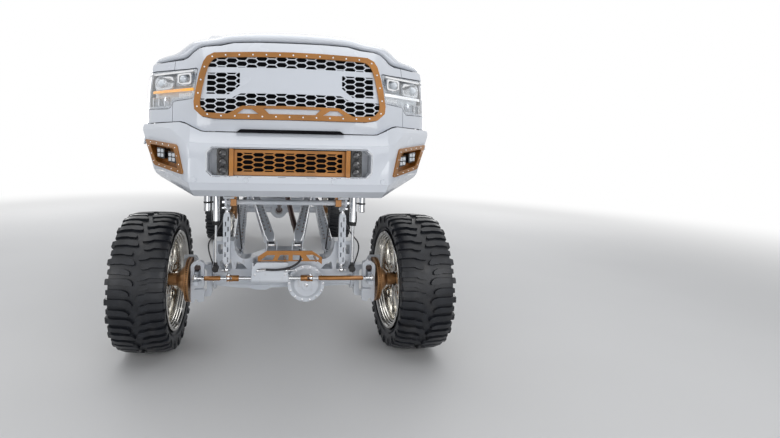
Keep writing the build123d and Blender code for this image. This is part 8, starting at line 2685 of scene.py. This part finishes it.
    @staticmethod
    def cooling():
        low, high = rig.box("radiator")
        core = bmesh.new()
        box(core, (low.x + 0.045, low.y + 0.008, low.z), (high.x - 0.045, high.y - 0.008, high.z))
        for index in range(44):
            z = low.z + 0.02 + index * (high.z - low.z - 0.04) / 43
            box(core, (low.x + 0.045, low.y + 0.003, z - 0.0022), (high.x - 0.045, high.y - 0.003, z + 0.0022))
        piece("radiator_core", core, "dark_iron", "truck", ("radiator",), bevel=0.0008, segments=1)
        tanks = bmesh.new()
        box(tanks, low, (low.x + 0.045, high.y, high.z))
        box(tanks, (high.x - 0.045, low.y, low.z), high)
        piece("radiator_tanks", tanks, "black_plastic", bevel=0.006)




# Finishes of the CAD nodes that stay in view

NODE_FINISHES = {
    "axle_truss": "suspension_white", "bed": "pearl_white", "bumper_lamps": "gloss_black",
    "bumper_mesh": "copper_paint", "corner_bezels": "copper_paint", "sway_bar": "suspension_white", "cab_glass": "window_glass", "cab_shell": "pearl_white",
    "dampers": "chrome", "dashboard": "black_plastic", "door_front_l": "pearl_white", "door_front_r": "pearl_white",
    "door_rear_l": "pearl_white", "door_rear_r": "pearl_white", "driveshafts": "shaft_brown",
    "drop_brackets": "suspension_white", "engine": "engine_grey", "fenders": "pearl_white", "frame": "frame_black",
    "front_axle": "dark_iron", "front_bumper": "pearl_white", "gearbox": "cast_grey", "glass_front_l": "window_glass",
    "glass_front_r": "window_glass", "glass_rear_l": "window_glass", "glass_rear_r": "window_glass",
    "grille_mesh": "pearl_white", "grille_shell": "pearl_white", "grille_surround": "copper_paint",
    "head_lamps": "lens_frost", "hitch_receiver": "frame_black", "hood": "pearl_white", "knuckle_l": "suspension_white",
    "knuckle_r": "suspension_white", "link_arms": "suspension_white", "radiator": "dark_iron",
    "rear_axle": "dark_iron", "rear_bumper": "pearl_white", "rim_fl": "polished_rim", "rim_fr": "polished_rim",
    "rim_rl": "polished_rim", "rim_rr": "polished_rim", "rotor_fl": "rotor_steel", "rotor_fr": "rotor_steel",
    "rotor_rl": "rotor_steel", "rotor_rr": "rotor_steel", "seats": "seat_leather", "steering_cylinder": "chrome",
    "steering_rods": "copper_paint", "steering_wheel": "black_plastic", "tail_lamps": "red_lens",
    "tailgate": "pearl_white", "truss_brace": "copper_paint", "tyre_fl": "tyre_rubber", "tyre_fr": "tyre_rubber",
    "tyre_rl": "tyre_rubber", "tyre_rr": "tyre_rubber",
}


class TRUCK_OT_finishes(bpy.types.Operator):
    """Makes the paints, metals, rubbers and glass, and puts them on the CAD nodes"""

    bl_idname = "truck.finishes"
    bl_label = "Paints and finishes"

    def execute(self, context):
        make_finishes()
        for name, thing in frame["nodes"].items():
            if name not in NODE_FINISHES:
                raise RuntimeError(f"no finish is named for {name}")
            thing.data.materials.clear()
            thing.data.materials.append(FINISHES[NODE_FINISHES[name]])
        return {"FINISHED"}


# Floor, light and camera

EYE = (-0.0957, -3.5158, 1.6457)
YAW = 0.07662
DIP = 0.05222
ROLL = 0.01955
LENS_SHARE = 417.64 / 780
MIDDLE_SHIFT = ((390 - 306.29) / 780, (174.18 - 219) / 780)


class TRUCK_OT_studio(bpy.types.Operator):
    """Builds the plain floor, the soft studio light and the white surroundings"""

    bl_idname = "truck.studio"
    bl_label = "Floor and light"

    def execute(self, context):
        studio = context.scene.truck_studio
        bm = bmesh.new()
        bmesh.ops.create_grid(bm, x_segments=1, y_segments=1, size=60)
        mesh = bpy.data.meshes.new("studio_floor")
        bm.to_mesh(mesh)
        bm.free()
        floor = bpy.data.objects.new("studio_floor", mesh)
        context.scene.collection.objects.link(floor)
        mesh.materials.append(self.floor_finish())
        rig.stage(floor)
        lamps = (
            ("overhead", (0, AXLE_Y + 0.5, 7.0), (0, AXLE_Y + 1.2, 1.5), (8.0, 9.0), studio.overhead),
            ("front_left", (5.0, AXLE_Y - 6.5, 3.4), (0, AXLE_Y, 1.3), (5.0, 3.5), studio.front),
            ("front_right", (-6.0, AXLE_Y - 5.5, 3.0), (0, AXLE_Y, 1.3), (4.5, 3.0), studio.front * 0.75),
            ("low_front", (0.5, AXLE_Y - 5.5, 0.7), (0, AXLE_Y, 0.9), (5.0, 1.2), studio.low),
            ("rear_left", (6.5, AXLE_Y + 8.5, 4.0), (0, AXLE_Y + 3.5, 1.3), (5.0, 4.0), studio.rear),
            ("rear_right", (-6.5, AXLE_Y + 8.5, 4.0), (0, AXLE_Y + 3.5, 1.3), (5.0, 4.0), studio.rear),
        )
        for name, place, aim, size, power in lamps:
            light = bpy.data.lights.new(name, "AREA")
            light.shape = "RECTANGLE"
            light.size, light.size_y = size
            light.energy = power
            thing = bpy.data.objects.new(name, light)
            context.scene.collection.objects.link(thing)
            thing.location = place
            thing.rotation_euler = (Vector(aim) - Vector(place)).to_track_quat("-Z", "Y").to_euler()
        world = bpy.data.worlds.new("surroundings")
        context.scene.world = world
        world.use_nodes = True
        tree = world.node_tree
        ground = tree.nodes["Background"]
        ground.inputs["Color"].default_value = (0.92, 0.95, 1.0, 1)
        ground.inputs["Strength"].default_value = studio.surroundings
        white = tree.nodes.new("ShaderNodeBackground")
        white.inputs["Color"].default_value = (1, 1, 1, 1)
        white.inputs["Strength"].default_value = 1.0
        self.by_ray(tree, ground.outputs[0], white.outputs[0], tree.nodes["World Output"].inputs["Surface"])
        context.scene.view_settings.view_transform = "Standard"
        return {"FINISHED"}

    @staticmethod
    def by_ray(tree, plain, seen, target):
        """Shows one shader to the camera and to mirrors, and lights the object with the other."""
        path = tree.nodes.new("ShaderNodeLightPath")
        most = path.outputs["Is Camera Ray"]
        for name in ("Is Glossy Ray", "Is Transmission Ray"):
            bigger = tree.nodes.new("ShaderNodeMath")
            bigger.operation = "MAXIMUM"
            tree.links.new(most, bigger.inputs[0])
            tree.links.new(path.outputs[name], bigger.inputs[1])
            most = bigger.outputs[0]
        mix = tree.nodes.new("ShaderNodeMixShader")
        tree.links.new(most, mix.inputs["Fac"])
        tree.links.new(plain, mix.inputs[1])
        tree.links.new(seen, mix.inputs[2])
        tree.links.new(mix.outputs[0], target)

    @staticmethod
    def floor_finish():
        material = bpy.data.materials.new("floor_paint")
        material.use_nodes = True
        tree = material.node_tree
        shader = tree.nodes["Principled BSDF"]
        where = tree.nodes.new("ShaderNodeTexCoord")
        cloud = tree.nodes.new("ShaderNodeTexNoise")
        cloud.inputs["Scale"].default_value = 0.6
        ramp = tree.nodes.new("ShaderNodeValToRGB")
        ramp.color_ramp.elements[0].color = (0.66, 0.66, 0.66, 1)
        ramp.color_ramp.elements[1].color = (0.71, 0.71, 0.71, 1)
        tree.links.new(where.outputs["Object"], cloud.inputs["Vector"])
        tree.links.new(cloud.outputs["Fac"], ramp.inputs["Fac"])
        tree.links.new(ramp.outputs["Color"], shader.inputs["Base Color"])
        shader.inputs["Roughness"].default_value = 0.75
        reach = tree.nodes.new("ShaderNodeVectorMath")
        reach.operation = "LENGTH"
        tree.links.new(where.outputs["Object"], reach.inputs[0])
        fade = tree.nodes.new("ShaderNodeMapRange")
        fade.interpolation_type = "SMOOTHSTEP"
        fade.inputs["From Min"].default_value = 5.0
        fade.inputs["From Max"].default_value = 13.0
        tree.links.new(reach.outputs["Value"], fade.inputs["Value"])
        path = tree.nodes.new("ShaderNodeLightPath")
        share = tree.nodes.new("ShaderNodeMath")
        share.operation = "MULTIPLY"
        tree.links.new(fade.outputs["Result"], share.inputs[0])
        tree.links.new(path.outputs["Is Camera Ray"], share.inputs[1])
        white = tree.nodes.new("ShaderNodeEmission")
        white.inputs["Strength"].default_value = 1.0
        mix = tree.nodes.new("ShaderNodeMixShader")
        tree.links.new(share.outputs["Value"], mix.inputs["Fac"])
        tree.links.new(shader.outputs["BSDF"], mix.inputs[1])
        tree.links.new(white.outputs["Emission"], mix.inputs[2])
        tree.links.new(mix.outputs["Shader"], tree.nodes["Material Output"].inputs["Surface"])
        return material


class TRUCK_OT_view(bpy.types.Operator):
    """Sets the camera low in front of the truck, at the photograph's angle"""

    bl_idname = "truck.view"
    bl_label = "Camera"

    def execute(self, context):
        ahead = Vector((sin(YAW) * cos(DIP), cos(YAW) * cos(DIP), -sin(DIP)))
        right = Vector((cos(YAW), -sin(YAW), 0))
        up = right.cross(ahead)
        side = right * cos(ROLL) + up * sin(ROLL)
        top = up * cos(ROLL) - right * sin(ROLL)
        turn = Matrix((side, top, -ahead)).transposed()
        lens = bpy.data.cameras.new("photo_view")
        lens.sensor_width = 36
        lens.lens = LENS_SHARE * 36
        lens.shift_x, lens.shift_y = MIDDLE_SHIFT
        lens.clip_end = 200
        thing = bpy.data.objects.new("photo_view", lens)
        context.scene.collection.objects.link(thing)
        thing.matrix_world = Matrix.Translation(spot(*EYE)) @ turn.to_4x4()
        context.scene.camera = thing
        return {"FINISHED"}


class TRUCK_paint(bpy.types.PropertyGroup):
    """Colours of the truck"""

    body_white: bpy.props.FloatVectorProperty(
        name="Body paint", description="Pearl white of the body panels", subtype="COLOR", size=3,
        min=0, max=1, default=(0.64, 0.675, 0.735))
    copper: bpy.props.FloatVectorProperty(
        name="Copper paint", description="Copper of the grille surround and axle parts", subtype="COLOR", size=3,
        min=0, max=1, default=(0.40, 0.165, 0.030))
    suspension_white: bpy.props.FloatVectorProperty(
        name="Suspension paint", description="White of the truss and the arms", subtype="COLOR", size=3,
        min=0, max=1, default=(0.70, 0.73, 0.78))


class TRUCK_studio(bpy.types.PropertyGroup):
    """Strength of the studio lamps"""

    overhead: bpy.props.FloatProperty(
        name="Overhead", description="Power of the large lamp above", subtype="POWER", unit="POWER", default=250)
    front: bpy.props.FloatProperty(
        name="Front", description="Power of the lamps at the front corners", subtype="POWER", unit="POWER", default=150)
    low: bpy.props.FloatProperty(
        name="Low front", description="Power of the lamp near the floor", subtype="POWER", unit="POWER", default=30)
    rear: bpy.props.FloatProperty(
        name="Rear", description="Power of the lamps behind", subtype="POWER", unit="POWER", default=170)
    surroundings: bpy.props.FloatProperty(
        name="Surroundings", description="Strength of the even light from all sides", min=0, default=0.34)


OPERATORS = [
    thing for thing in list(globals().values())
    if isinstance(thing, type) and issubclass(thing, bpy.types.Operator) and thing is not bpy.types.Operator
]
GROUPS = (TRUCK_paint, TRUCK_studio)


class TRUCK_PT_panel(bpy.types.Panel):
    """Lists the truck's operators and colours"""

    bl_idname = "TRUCK_PT_panel"
    bl_label = "Truck"
    bl_space_type = "VIEW_3D"
    bl_region_type = "UI"
    bl_category = "Truck"

    def draw(self, context):
        for group in (context.scene.truck_paint, context.scene.truck_studio):
            for name in group.bl_rna.properties.keys():
                if name not in ("rna_type", "name"):
                    self.layout.prop(group, name)
        for operator in ORDER:
            self.layout.operator(operator.bl_idname)


ORDER = sorted(OPERATORS, key=lambda operator: operator is not TRUCK_OT_finishes)
CLASSES = GROUPS + tuple(OPERATORS) + (TRUCK_PT_panel,)


def register():
    for made in CLASSES:
        bpy.utils.register_class(made)
    bpy.types.Scene.truck_paint = bpy.props.PointerProperty(type=TRUCK_paint)
    bpy.types.Scene.truck_studio = bpy.props.PointerProperty(type=TRUCK_studio)


def unregister():
    del bpy.types.Scene.truck_studio
    del bpy.types.Scene.truck_paint
    for made in reversed(CLASSES):
        bpy.utils.unregister_class(made)


def main():
    register()
    for operator in ORDER:
        group, name = operator.bl_idname.split(".")
        getattr(getattr(bpy.ops, group), name)()
    with open("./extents.json", "w") as out:
        json.dump({"cad": CAD_BOX, "visual": [list(corner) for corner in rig.bounds()]}, out)


if __name__ == "__main__":
    main()
